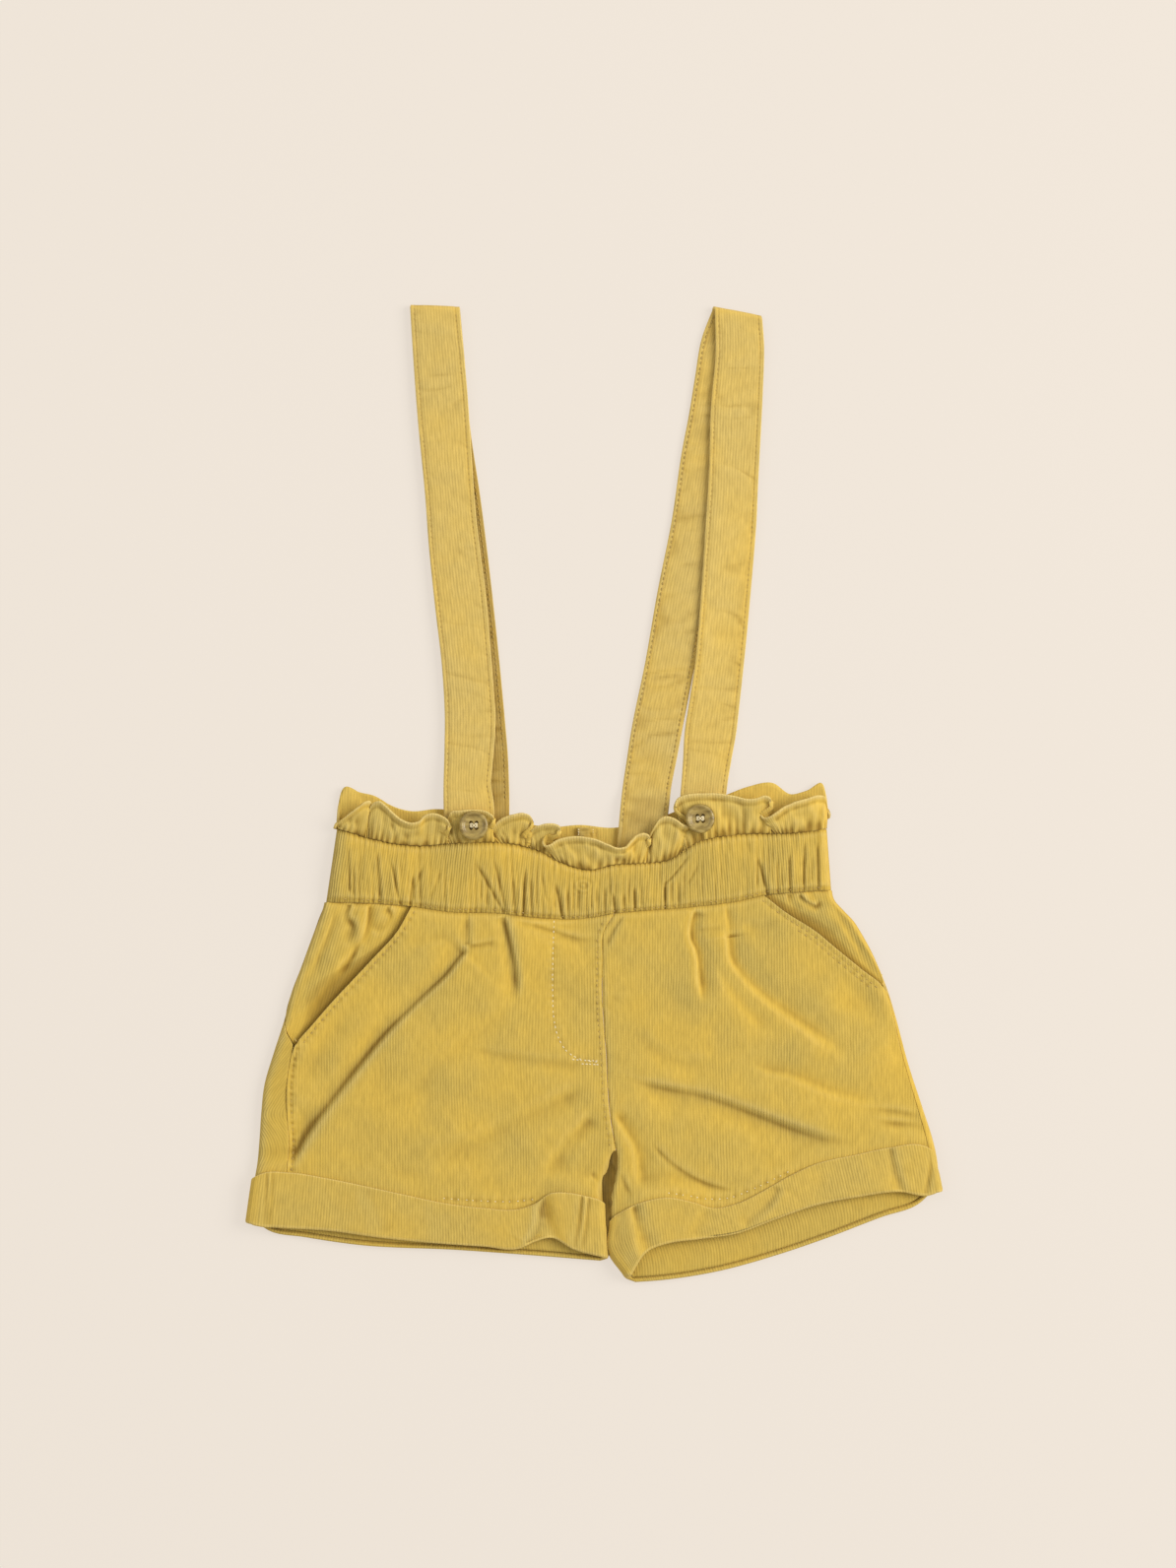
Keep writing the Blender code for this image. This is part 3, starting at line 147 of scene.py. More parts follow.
# Turned-up hems: upper and lower edge of the front, lower edge of the back, outer end first.
CUFF_LEFT = {
    "top": [
        (-146.4, -168.4), (-145.2, -165.2), (-142.2, -163.9), (-131.5, -163.7),
        (-113.5, -166.5), (-96.5, -170), (-80.5, -173.5),
        (-64.0, -177), (-47.5, -179), (-32.0, -179.4), (-25.0, -177), (-18.5, -172.7),
        (-10.5, -172.5), (-2.0, -174.2), (5.2, -176),
    ],
    "bottom": [
        (-149.0, -182.6), (-147.6, -186.0), (-144.4, -187), (-136.0, -187.6),
        (-113.5, -189), (-91.5, -192), (-69.5, -194.2),
        (-47.5, -195.7), (-32.0, -196.6), (-25.0, -193.5), (-19.0, -192), (-8.5, -197),
        (6.6, -201),
    ],
    "back_top": [
        (-146.4, -168.4), (-136.0, -168.6), (-125.0, -170), (-102.5, -173.5), (-58.5, -175.5),
        (5.2, -180),
    ],
    "back_bottom": [
        (-149.0, -182.6), (-140.0, -189.3), (-125.0, -192), (-102.5, -195.3), (-58.5, -197.6),
        (-25.0, -200), (6.6, -202.5),
    ],
}
CUFF_RIGHT = {
    "top": [
        (146.0, -156.6), (144.8, -153.2), (142.0, -152.0), (127.5, -153),
        (113.5, -156), (96.0, -160), (84.0, -165.5),
        (72.5, -172), (62.0, -177), (51.5, -179), (43.0, -176.5), (31.5, -174.5),
        (19.5, -177), (6.2, -184),
    ],
    "bottom": [
        (149.4, -168.8), (148.4, -172.2), (145.2, -173.6), (132.0, -172.2),
        (113.5, -174.5), (96.0, -178), (78.5, -184),
        (62.0, -190), (45.5, -192.5), (31.5, -194.5), (24.5, -197), (14.6, -211),
    ],
    "back_top": [
        (146.0, -156.6), (140.0, -158), (125.0, -161.5), (102.0, -170), (78.5, -178), (40.0, -187),
        (6.2, -191),
    ],
    "back_bottom": [
        (149.4, -168.8), (140.0, -178), (125.0, -183.2), (102.0, -192), (78.5, -200),
        (55.0, -206.5), (31.5, -210.4), (14.6, -211.7),
    ],
}
# Radii of each hem's outer and inner end, its nominal depth, the points of a ring on its front and
# back, and its rings down the front: how many, the first of them and one at the middle.
CUFF_END_RADIUS = {"left": (3.6, 3.6), "right": (3.6, 3.3)}
CUFF_DEPTH = 23.0
CUFF_FRONT_POINTS, CUFF_BACK_POINTS = 210, 90
CUFF_ROWS, CUFF_FIRST_ROW, CUFF_MIDDLE_ROW = 26, 3, 14

# Gathers that hang from the waist over each hip: x at the waist, lean, length, depth.
HIP_GATHERS = [
    (-109, -4, 22, 0.6), (-102, -6, 34, 0.8), (-94, -9, 44, 0.8), (-86, -8, 26, 0.7),
    (80, 5, 12, 0.6), (86, 6, 16, 0.8), (93, 6, 15, 0.7), (99, 5, 12, 0.5),
]
GATHER_WIDTH = 2.4

# Free edge of the front frill: x at its foot, then x, y and z of the edge. A row for each crest,
# each valley and each turn between them.
FRONT_FRILL = [
    (-111.1, -111.3, -15.7, 3.3), (-110.5, -110.3, -13.2, 5.5), (-108.2, -106.5, -10.2, 7.6),
    (-104.8, -101.4, -6.4, 8.8), (-101.4, -98.0, -4.0, 9.4), (-99.2, -95.8, -3.8, 8.6),
    (-98.4, -95.8, -6.0, 6.6), (-97.8, -97.1, -8.9, 5.8), (-96.3, -95.0, -4.5, 8.8),
    (-94.6, -92.4, -3.8, 9.8), (-92.4, -89.9, -5.5, 10.0), (-89.0, -86.5, -8.9, 9.9),
    (-84.8, -82.7, -11.9, 9.8), (-80.1, -78.4, -13.2, 9.8), (-76.3, -74.6, -12.3, 9.9),
    (-73.3, -72.0, -9.8, 10.0), (-70.3, -69.1, -9.1, 10.2), (-67.8, -66.1, -9.8, 10.2),
    (-65.2, -63.1, -11.5, 9.8), (-63.5, -61.8, -14.0, 8.6), (-62.7, -63.5, -16.1, 6.8),
    (-61.8, -66.1, -15.7, 5.8), (-61.0, -64.8, -13.2, 5.8), (-60.1, -62.7, -10.2, 6.6),
    (-58.9, -61.4, -8.3, 7.9), (-57.2, -58.0, -7.9, 8.7), (-53.3, -52.9, -7.6, 8.8),
    (-49.1, -48.2, -7.6, 8.9), (-46.1, -44.8, -8.9, 9.4), (-44.0, -43.1, -10.6, 9.4),
    (-42.7, -43.6, -12.8, 8.2), (-41.9, -45.3, -14.0, 6.6), (-41.0, -46.5, -15.3, 6.0),
    (-40.2, -44.8, -15.7, 6.6), (-38.9, -42.3, -13.6, 8.4), (-36.8, -38.5, -11.0, 10.0),
    (-34.2, -33.8, -9.6, 10.8), (-31.7, -29.5, -9.1, 10.8), (-30.0, -27.0, -10.4, 10.2),
    (-28.7, -26.6, -12.8, 8.8), (-27.8, -28.3, -15.7, 7.0), (-27.0, -30.4, -18.3, 5.6),
    (-26.1, -28.7, -17.8, 5.8), (-25.3, -26.1, -15.3, 7.8), (-24.0, -23.2, -14.2, 9.2),
    (-22.7, -19.8, -13.6, 9.8), (-21.5, -16.4, -13.8, 10.0), (-20.2, -14.2, -15.3, 9.6),
    (-19.3, -15.1, -17.4, 8.2), (-18.7, -17.6, -18.3, 6.6), (-18.1, -19.8, -17.8, 5.6),
    (-17.4, -21.5, -19.1, 6.0), (-16.8, -22.3, -21.2, 7.2), (-15.9, -21.5, -22.9, 8.6),
    (-14.7, -18.9, -22.5, 9.6), (-12.5, -15.5, -20.6, 10.0), (-9.1, -10.8, -19.3, 10.2),
    (-4.5, -5.3, -19.1, 10.2), (0.6, 0.6, -20.2, 10.2), (5.7, 6.2, -22.5, 10.1),
    (10.0, 10.8, -24.0, 9.9), (13.0, 14.2, -23.4, 9.7), (15.5, 16.8, -20.8, 9.6),
    (17.6, 19.3, -18.3, 9.6), (19.8, 22.3, -17.8, 9.4), (21.5, 24.4, -19.1, 8.4),
    (22.3, 23.6, -21.2, 6.6), (23.6, 24.9, -17.4, 7.4), (25.3, 26.6, -14.0, 9.0),
    (27.4, 28.7, -11.3, 9.9), (30.0, 32.1, -10.4, 10.2), (32.5, 35.5, -11.7, 10.1),
    (35.1, 38.9, -14.0, 9.7), (36.8, 41.4, -14.4, 8.6), (37.6, 42.3, -12.8, 7.4),
    (38.5, 40.2, -10.4, 6.9), (39.3, 37.2, -8.5, 7.4), (40.2, 35.3, -6.0, 8.2),
    (41.4, 35.7, -3.4, 8.8), (43.1, 38.5, -1.5, 9.2), (45.7, 42.7, -0.6, 9.3),
    (49.9, 48.2, -0.4, 9.3), (55.0, 54.2, -0.6, 9.3), (60.6, 60.1, -1.5, 9.4),
    (65.7, 65.7, -2.8, 9.5), (69.9, 70.3, -2.5, 9.8), (72.9, 73.7, -1.5, 10.0),
    (75.0, 76.3, -2.5, 9.6), (76.3, 76.3, -5.1, 8.2), (77.1, 73.7, -7.2, 6.8),
    (78.0, 71.2, -9.1, 6.2), (78.8, 72.5, -10.8, 7.4), (80.1, 75.9, -10.4, 9.0),
    (81.4, 78.8, -8.9, 9.8), (83.5, 82.2, -6.4, 10.0), (86.9, 86.5, -4.5, 9.8),
    (92.0, 92.0, -2.8, 9.3), (96.7, 97.1, -1.3, 8.4), (99.2, 99.9, -1.7, 6.4),
    (100.3, 100.9, -4.7, 4.6), (100.9, 101.4, -9.3, 3.3),
]
# Free edge of the back frill: x, y, and z of its under face.
BACK_FRILL = [
    (-111.0, -12.0, 2.4), (-110.3, -5.0, 1.0), (-107.0, 2.6, 1.2), (-102.0, 0.4, 0.0),
    (-95.0, -1.2, 0.6), (-89.0, -4.8, 0.0), (-78.0, -8.0, 0.6), (-68.0, -7.2, 0.0),
    (-50.0, -9.5, 0.0), (-34.0, -12.5, 0.0), (-18.0, -15.0, 0.0), (-6.0, -14.0, 0.7),
    (8.0, -15.3, 0.0), (22.0, -13.0, 0.0), (40.0, -6.5, 0.0), (58.0, -0.8, 0.0),
    (67.0, 2.6, 0.9), (77.0, 4.3, 1.4), (85.5, -0.8, 0.0), (92.0, 0.8, 0.8),
    (98.5, 4.2, 1.2), (100.6, -1.0, 1.2), (101.2, -9.5, 2.4),
]

# Straps, front strip from its lower end to the fold, then the back strip down again:
# y and x of the left edge, y and x of the right edge, height of each edge's outer face.
STRAP_LEFT = {
    "front": [
        (-14, -64.2, -14, -42.8, 5.6, 5.6), (-4, -64.5, -4, -43.2, 5.6, 5.6),
        (4, -64.5, 4, -44.4, 5.0, 5.0), (12, -64.3, 12, -43.8, 4.1, 4.2),
        (22, -64.1, 22, -42.9, 3.5, 3.6), (31, -64.0, 30, -42.5, 3.4, 3.5),
        (51.5, -65.0, 47.5, -43.5, 3.4, 3.5), (82, -68.4, 84, -46.5, 3.4, 3.5),
        (107.5, -71.0, 103, -48.9, 3.4, 3.5), (128, -72.5, 121, -51.0, 3.4, 3.5),
        (163.5, -75.9, 171.5, -54.5, 3.4, 3.5), (190, -77.8, 190, -56.2, 3.4, 3.5),
        (209.3, -79.0, 208.4, -58.0, 3.4, 3.5),
    ],
    "back": [
        (209.3, -78.8, 208.4, -57.8, 0, 0), (189, -77.3, 189, -56.0, 0, 0),
        (158, -74.8, 158, -53.5, 0, 0), (128, -70.5, 128, -49.1, 0, 0),
        (92, -66.1, 92, -44.6, 0, 0), (61.5, -62.9, 61.5, -41.3, 0, 0),
        (31, -60.0, 31, -38.4, 0, 0), (15.5, -58.6, 15.5, -37.1, 0, 0),
        (5, -58.2, 5, -36.7, 0.2, 0.2), (-2, -58.0, -2, -36.5, 1.8, 1.8),
        (-8, -58.0, -8, -36.5, 2.25, 2.25), (-15, -58.0, -15, -36.5, 2.25, 2.25),
    ],
}
STRAP_RIGHT = {
    "front": [
        (-14, 37.9, -14, 57.0, 5.5, 5.5), (-3, 37.6, -3, 57.0, 5.3, 5.3),
        (6, 38.3, 6, 58.0, 4.3, 4.3), (14, 38.9, 14, 59.4, 2.6, 2.6),
        (26, 39.6, 26, 61.6, 2.2, 1.7), (38, 41.4, 38, 63.0, 2.8, 1.6),
        (55, 44.0, 56, 65.0, 3.5, 1.6), (82, 46.4, 82, 67.5, 3.6, 1.7),
        (106, 48.0, 112, 70.0, 3.6, 2.7), (138, 50.0, 133, 71.0, 3.6, 3.1),
        (168, 51.0, 172, 73.0, 3.6, 3.4), (190, 52.9, 192, 73.6, 3.5, 3.5),
        (208.6, 52.6, 204.6, 72.8, 3.5, 3.5),
    ],
    "back": [
        (208.6, 51.6, 204.6, 72.0, 0, 0), (197, 47.2, 195, 69.0, 0, 0),
        (179, 44.0, 179, 65.6, 0, 0), (163.5, 41.5, 163.5, 63.2, 0, 0),
        (148.5, 38.6, 148.5, 60.2, 0, 0), (117.5, 34.0, 117.5, 55.5, 0, 0),
        (87, 27.9, 87, 49.4, 0, 0), (56.5, 22.6, 56.5, 43.9, 0, 0), (26, 16.4, 26, 38.0, 0, 0),
        (15.5, 14.8, 15.5, 36.0, 0, 0), (2, 12.8, 2, 33.4, 0.2, 0.2),
        (-5, 12.0, -5, 32.6, 2.0, 2.0), (-10, 11.5, -10, 32.0, 2.3, 2.3),
        (-25, 10.2, -25, 30.6, 2.3, 2.3),
    ],
}

# The same lines by side.
SIGN = {"left": -1.0, "right": 1.0}
OUTLINE = {"left": OUTLINE_LEFT, "right": OUTLINE_RIGHT}
INSEAM = {"left": INSEAM_LEFT, "right": INSEAM_RIGHT}
POCKET = {"left": POCKET_LEFT, "right": POCKET_RIGHT}
SIDE_SEAM = {"left": SIDE_SEAM_LEFT, "right": SIDE_SEAM_RIGHT}
CUFF = {"left": CUFF_LEFT, "right": CUFF_RIGHT}


# Curves.

def smooth(value):
    """Rises from 0 to 1 with level ends."""
    value = np.clip(value, 0.0, 1.0)
    return value * value * (3.0 - 2.0 * value)


def unit(vectors):
    """These vectors, each brought to a length of one."""
    return vectors / np.maximum(np.linalg.norm(vectors, axis=-1, keepdims=True), 1e-9)


def run_of(points):
    """Distance along a row of points, at each of them."""
    step = np.linalg.norm(np.diff(points, axis=0), axis=1)
    return np.concatenate([[0.0], np.cumsum(step)])


def dense_curve(points, steps=16):
    """Many points on a smooth curve through these, spaced by the distance in plan."""
    points = np.asarray(points, float)
    length = np.linalg.norm(np.diff(points[:, :2], axis=0), axis=1)
    at = np.concatenate([[0.0], np.cumsum(length)])
    slope = np.gradient(points, at, axis=0)
    share = np.linspace(0.0, 1.0, steps, endpoint=False)[:, None]
    pieces = []
    for index, span in enumerate(length):
        start, end = points[index], points[index + 1]
        pieces.append(
            (2 * share**3 - 3 * share**2 + 1) * start
            + (share**3 - 2 * share**2 + share) * span * slope[index]
            + (3 * share**2 - 2 * share**3) * end
            + (share**3 - share**2) * span * slope[index + 1]
        )
    return np.vstack(pieces + [points[-1:]])


def read_along(curve, shares):
    """Points of a dense curve at these shares of its length in plan."""
    at = run_of(curve[:, :2])
    return np.stack([np.interp(shares, at / at[-1], column) for column in curve.T], axis=-1)


def along(points, shares):
    return read_along(dense_curve(points), np.asarray(shares, float))


def x_at(points, y):
    """x of a line that runs down the garment, at these y."""
    curve = dense_curve(points)[::-1]
    return np.interp(y, curve[:, 1], curve[:, 0])


def y_at(points, x):
    """y of a line that runs across the garment, at these x."""
    curve = dense_curve(points)
    order = np.argsort(curve[:, 0], kind="stable")
    return np.interp(x, curve[order, 0], curve[order, 1])


def from_line(x, y, points):
    """Distance from a line, positive on its left, and the share of its length at the foot."""
    curve = dense_curve(points, 6)
    start, step = curve[:-1], np.diff(curve, axis=0)
    length = np.linalg.norm(step, axis=1)
    at = np.concatenate([[0.0], np.cumsum(length)])
    place = np.stack([np.ravel(x), np.ravel(y)], axis=-1)[:, None, :] - start
    foot = np.clip((place * step).sum(-1) / length**2, 0.0, 1.0)
    gap = place - foot[..., None] * step
    distance = np.linalg.norm(gap, axis=-1)
    nearest = distance.argmin(axis=1)
    row = np.arange(len(nearest))
    side = step[nearest, 0] * place[row, nearest, 1] - step[nearest, 1] * place[row, nearest, 0]
    signed = np.where(side >= 0, 1.0, -1.0) * distance[row, nearest]
    share = (at[nearest] + foot[row, nearest] * length[nearest]) / at[-1]
    return signed.reshape(np.shape(x)), share.reshape(np.shape(x))


def patch(top, bottom, left, right, across, down):
    """Plan points of a four-sided panel between four lines, as rows from top to bottom."""
    top, bottom = along(top, across), along(bottom, across)
    left, right = along(left, down), along(right, down)
    s, t = across[None, :, None], down[:, None, None]
    corners = (
        (1 - s) * (1 - t) * top[0] + s * (1 - t) * top[-1]
        + (1 - s) * t * bottom[0] + s * t * bottom[-1]
    )
    return (1 - t) * top + t * bottom + (1 - s) * left[:, None] + s * right[:, None] - corners


# Heights of the laid cloth.

def gather_relief(x, y):
    """Folds that hang from the waist seam over the hips."""
    relief = np.zeros(np.shape(x))
    below = y_at(BAND_BOTTOM, x) - y
    for place, lean, length, depth in HIP_GATHERS:
        share = np.clip(below / length, 0.0, 1.0)
        distance = (x - place - lean * share) / (GATHER_WIDTH * (1.0 + share))
        relief -= depth * (1.0 - smooth(share)) * np.exp(-(distance**2))
    return relief


def on_left(x, y):
    """Which plan points lie on the left half, parted midway between the legs' inner edges."""
    return x < (x_at(INSEAM_LEFT, y) + x_at(INSEAM_RIGHT, y)) / 2.0


def inset_of(x, y):
    """How far a plan point lies inside the flattened outline or the leg's inner edge."""
    left = on_left(x, y)
    outer = np.where(left, x - x_at(OUTLINE_LEFT, y), x_at(OUTLINE_RIGHT, y) - x)
    inner = np.where(left, x_at(INSEAM_LEFT, y) - x, x - x_at(INSEAM_RIGHT, y))
    return outer, inner


def leg_share(y):
    """0 on the body, 1 on a leg, where its inner edge is folded down."""
    return smooth((CROTCH[1] + 2.0 - y) / 6.0)


def under_cuff(x, y, edge):
    """0 well above a cuff's upper edge, 1 from that edge down."""
    left = y - y_at(CUFF_LEFT[edge], x)
    right = y - y_at(CUFF_RIGHT[edge], x)
    return 1.0 - smooth((np.where(on_left(x, y), left, right) - 1.5) / 9.0)


def right_hem_height(x):
    """Upper face of the right hem, lower beside its inner end and towards the outer one."""
    return 6.6 + 1.5 * smooth((x - 8.0) / 14.0) - 0.9 * smooth((x - 40.0) / 60.0)


def cuff_height(x, y):
    """Upper face of the two turned-up hems."""
    left = CUFF_HEIGHT - 0.9 * np.exp(-(((x + 22.0 + 0.3 * (y + 173)) / 3.2) ** 2))
    return np.where(on_left(x, y), left, right_hem_height(x))


def leg_height(x, y):
    """Upper face of a leg inside its cuff, clear of the cuff's own folds."""
    left = CUFF_HEIGHT - 0.9 * np.exp(-(((x + 22.0) / 9.0) ** 2))
    return np.where(on_left(x, y), left, right_hem_height(x)) - CLOTH - REST


def edge_drop(radius, inset):
    """How far a rounded edge has fallen at a distance in from its outline."""
    short = np.clip(radius - inset, 0.0, radius)
    return radius - np.sqrt(np.maximum(radius**2 - short**2, 0.0))


def sheet_height(x, y):
    """Upper face of the front before its edges turn down."""
    outer, inner = inset_of(x, y)
    leg = smooth((CROTCH[1] + 6.0 - y) / 12.0)
    crown = smooth(outer / 40.0) * (1.0 - 0.5 * leg * (1.0 - smooth(inner / 30.0)))
    height = EDGE_HEIGHT + CROWN * crown
    relief = crease_relief(x, y, CREASES) + gather_relief(x, y)
    relief = relief + crumple(x, y, 11) + 0.62 * billow(x, y, 15)
    near_edge = smooth(outer / 9.0) * (1.0 - leg * (1.0 - smooth(inner / 8.0)))
    near_band = smooth((y_at(BAND_BOTTOM, x) - y) / 5.0)
    height = height + relief * near_edge * (0.35 + 0.65 * near_band)
    cover = under_cuff(x, y, "top")
    return height * (1.0 - cover) + leg_height(x, y) * cover


def under_height(x, y):
    """Under face of the back: on the surface, and lifted where it enters a cuff."""
    return CUFF_LIFT * under_cuff(x, y, "back_top")


def pocket_distance(x, y):
    """Distance from the pocket's edge, positive on the front's side of it."""
    left, _ = from_line(x, y, POCKET_LEFT)
    right, _ = from_line(x, y, POCKET_RIGHT)
    return np.where(on_left(x, y), left, -right)


def front_height(x, y):
    """Upper face of the front: a lip at the pocket, and rounded down at its folded edges."""
    height = sheet_height(x, y)
    lip = np.exp(-((pocket_distance(x, y) / 7.0) ** 2)) * smooth((y + 122.0) / 14.0)
    height = np.maximum(height, height + lip * (EDGE_HEIGHT + POCKET_LIP - height))
    outer, inner = inset_of(x, y)
    low = under_height(x, y)
    radius = (height - low) / 2.0
    for inset, share in ((outer, 1.0), (inner, leg_share(y))):
        height = height - share * edge_drop(radius, inset)
    return height


def facing_height(x, y):
    """Upper face of the pocket's facing: low under the pocket's edge, full over the hip."""
    clear = smooth((-pocket_distance(x, y) - 1.5) / 9.0)
    full = sheet_height(x, y) + 0.4 * gather_relief(x, y)
    height = FACING_HEIGHT + (full - FACING_HEIGHT) * clear
    outer, _ = inset_of(x, y)
    radius = EDGE_HEIGHT / 2.0
    short = np.clip(radius - outer, 0.0, radius)
    rounded = radius + np.sqrt(np.maximum(radius**2 - short**2, 0.0))
    return np.minimum(height, rounded)


def band_height(x, y):
    """Upper face of the waistband before its gathers: raised over the straps' ends."""
    rise = 1.0 - smooth((y_at(BAND_TOP, x) - y) / 16.0)
    height = np.full(np.shape(x), BAND_HEIGHT)
    for centre, _ in BUTTONS.values():
        height = height + STRAP_LIFT * rise * np.exp(-(((x - centre) / 13.0) ** 2))
    return height + 0.7 * rise * np.exp(-(((x - 2.0) / 16.0) ** 2))


def band_end(x):
    """Share of the full height that is left where the band turns round each side."""
    radius = BAND_HEIGHT / 2.0
    inset = np.minimum(x - BAND_TOP[0][0], BAND_TOP[-1][0] - x)
    short = np.clip(radius - inset, 0.0, radius)
    return 0.5 + 0.5 * np.sqrt(np.maximum(1.0 - (short / radius) ** 2, 0.0))


# Creases.

# Creases of the front. side: 1 where the ridge lies on the left of the line as it runs, -1 on its
# right. step: width of the fall from ridge to valley. Then the valley's depth and width, the
# ridge's height and width, the shares of the line over which it starts and ends, the line.
CREASES = [
    (1, 1.5, 1.9, 6.0, 1.1, 9.0, 0.03, 0.06, [
        (-54.4, -67), (-58, -70.5), (-63, -77), (-74.5, -88), (-90, -103.5), (-105.5, -122.5),
        (-116, -136), (-124.5, -147.5), (-130.5, -159), (-133, -164),
    ]),
    (-1, 5.0, 0.6, 5.0, 0.3, 6.0, 0.2, 0.3, [
        (-87.3, -79), (-98, -86), (-110, -95.5), (-119.8, -116.9), (-124.3, -136.4),
    ]),
    (1, 0.9, 0.7, 1.6, 0.35, 2.5, 0.02, 0.05, [(-54.5, -51), (-54.7, -58), (-54.5, -66)]),
    (1, 1.0, 1.5, 2.6, 0.6, 4.5, 0.03, 0.3, [
        (-38.8, -53), (-37.6, -59), (-36.0, -67), (-34.2, -80), (-34.5, -92),
    ]),
    (1, 1.0, 0.6, 1.8, 0.25, 2.5, 0.1, 0.3, [(-54.6, -66.4), (-48, -65.4), (-40.4, -64.4)]),
    (1, 0.9, 0.55, 2.2, 0.3, 2.6, 0.12, 0.2, [
        (-35.1, -55), (-22.6, -58.2), (-12.3, -61.5), (-4.7, -63.4), (1.8, -62.3),
    ]),
    (1, 0.9, 0.45, 2.0, 0.3, 2.2, 0.12, 0.2, [
        (-28, -56.6), (-18, -57.4), (-8, -56.6), (2, -53.6),
    ]),
    (1, 0.8, 0.6, 1.5, 0.3, 2.0, 0.1, 0.3, [(12.5, -53.4), (8.6, -59.5), (4.6, -68.4)]),
    (-1, 3.0, 0.35, 3.0, 0.2, 3.0, 0.3, 0.3, [(10.9, -87), (8.2, -90.5), (5.6, -94)]),
    (1, 2.4, 0.45, 3.0, 0.25, 4.0, 0.3, 0.2, [
        (-58, -110), (-43.6, -113), (-26.6, -116), (-12, -117.6), (1.5, -117.9),
    ]),
    (-1, 4.5, 0.9, 5.5, 0.4, 7.0, 0.15, 0.3, [
        (0, -127), (-10, -132), (-23.6, -138.6), (-37, -145.8), (-51.6, -153.4), (-71, -158.5),
        (-80, -164),
    ]),
    (-1, 3.5, 0.9, 4.0, 0.4, 5.0, 0.15, 0.3, [
        (2, -139), (-5, -146), (-9.7, -151.7), (-14.7, -159.4), (-19.5, -168.3),
    ]),
    (-1, 1.0, 0.6, 1.8, 0.3, 2.2, 0.2, 0.2, [(-1.5, -163.5), (2.2, -167), (5.4, -161)]),
    (-1, 0.9, 1.6, 3.4, 0.6, 3.6, 0.05, 0.25, [
        (44.3, -50.2), (42.7, -57), (42.7, -62.3), (45.1, -68), (46.8, -79.4), (48.4, -92.4),
    ]),
    (1, 1.1, 0.34, 1.8, 0.2, 2.5, 0.3, 0.3, [(43.2, -59.4), (48, -59.2), (56.0, -58.4)]),
    (-1, 1.0, 0.7, 2.0, 0.3, 3.0, 0.05, 0.02, [(57.3, -46.3), (58.6, -54), (59.7, -62.6)]),
    (-1, 2.0, 1.3, 5.5, 0.7, 6.5, 0.04, 0.25, [
        (59.2, -60), (61.4, -72.9), (63.8, -76.1), (73.6, -85.9), (85, -94), (96.4, -101.8),
        (106, -108), (115, -112.6),
    ]),
    (-1, 3.0, 0.6, 6.0, 0.35, 6.0, 0.3, 0.3, [
        (52, -68), (60, -84), (70, -96), (82, -106),
    ]),
    (1, 2.4, 1.35, 7.5, 0.8, 8.0, 0.25, 0.2, [
        (10, -122), (18.4, -125.2), (30.7, -128.3), (46.2, -131.4), (66.8, -138.6),
        (91.5, -147.9), (108, -152.6), (117, -154.6),
    ]),
    (-1, 3.0, 0.8, 6.0, 0.4, 7.0, 0.25, 0.25, [
        (66, -113.5), (75, -118), (85, -120), (102, -126.7), (114.3, -129.9), (130, -133),
    ]),
    (1, 1.5, 0.7, 2.6, 0.35, 3.0, 0.4, 0.1, [
        (118.8, -141.4), (130.6, -143), (138, -143.8), (148.4, -145.2),
    ]),
    (1, 1.3, 0.55, 2.4, 0.3, 2.6, 0.4, 0.1, [
        (114.0, -136.6), (126.0, -137.2), (137, -138.9), (146.6, -139.8),
    ]),
    (-1, 2.4, 1.2, 4.5, 0.5, 4.0, 0.15, 0.3, [
        (9.6, -136), (14.2, -143.8), (17.7, -149.2), (20.1, -154.5), (21.3, -162.8),
        (22.5, -173),
    ]),
    (1, 0.8, 0.6, 1.6, 0.3, 2.0, 0.2, 0.1, [(11, -163), (13.4, -168.5), (16.5, -174.7)]),
    (1, 0.8, 0.5, 1.6, 0.3, 2.0, 0.2, 0.1, [(24, -150), (34, -160), (47, -168), (60, -172)]),
    (1, 3.5, 0.5, 5.0, 0.3, 6.0, 0.3, 0.3, [(14, -100), (26, -112), (40, -118), (58, -120)]),
    (-1, 4.0, 0.45, 6.0, 0.3, 6.0, 0.3, 0.3, [(-30, -88), (-48, -104), (-66, -118), (-84, -140)]),
    (-1, 2.4, 0.4, 3.0, 0.25, 4.0, 0.3, 0.3, [(86, -52.5), (79, -56), (71, -58.5), (62, -58)]),
    (1, 2.4, 0.4, 3.0, 0.25, 4.0, 0.3, 0.3, [(-62, -61.5), (-72, -62.5), (-80, -66)]),
]

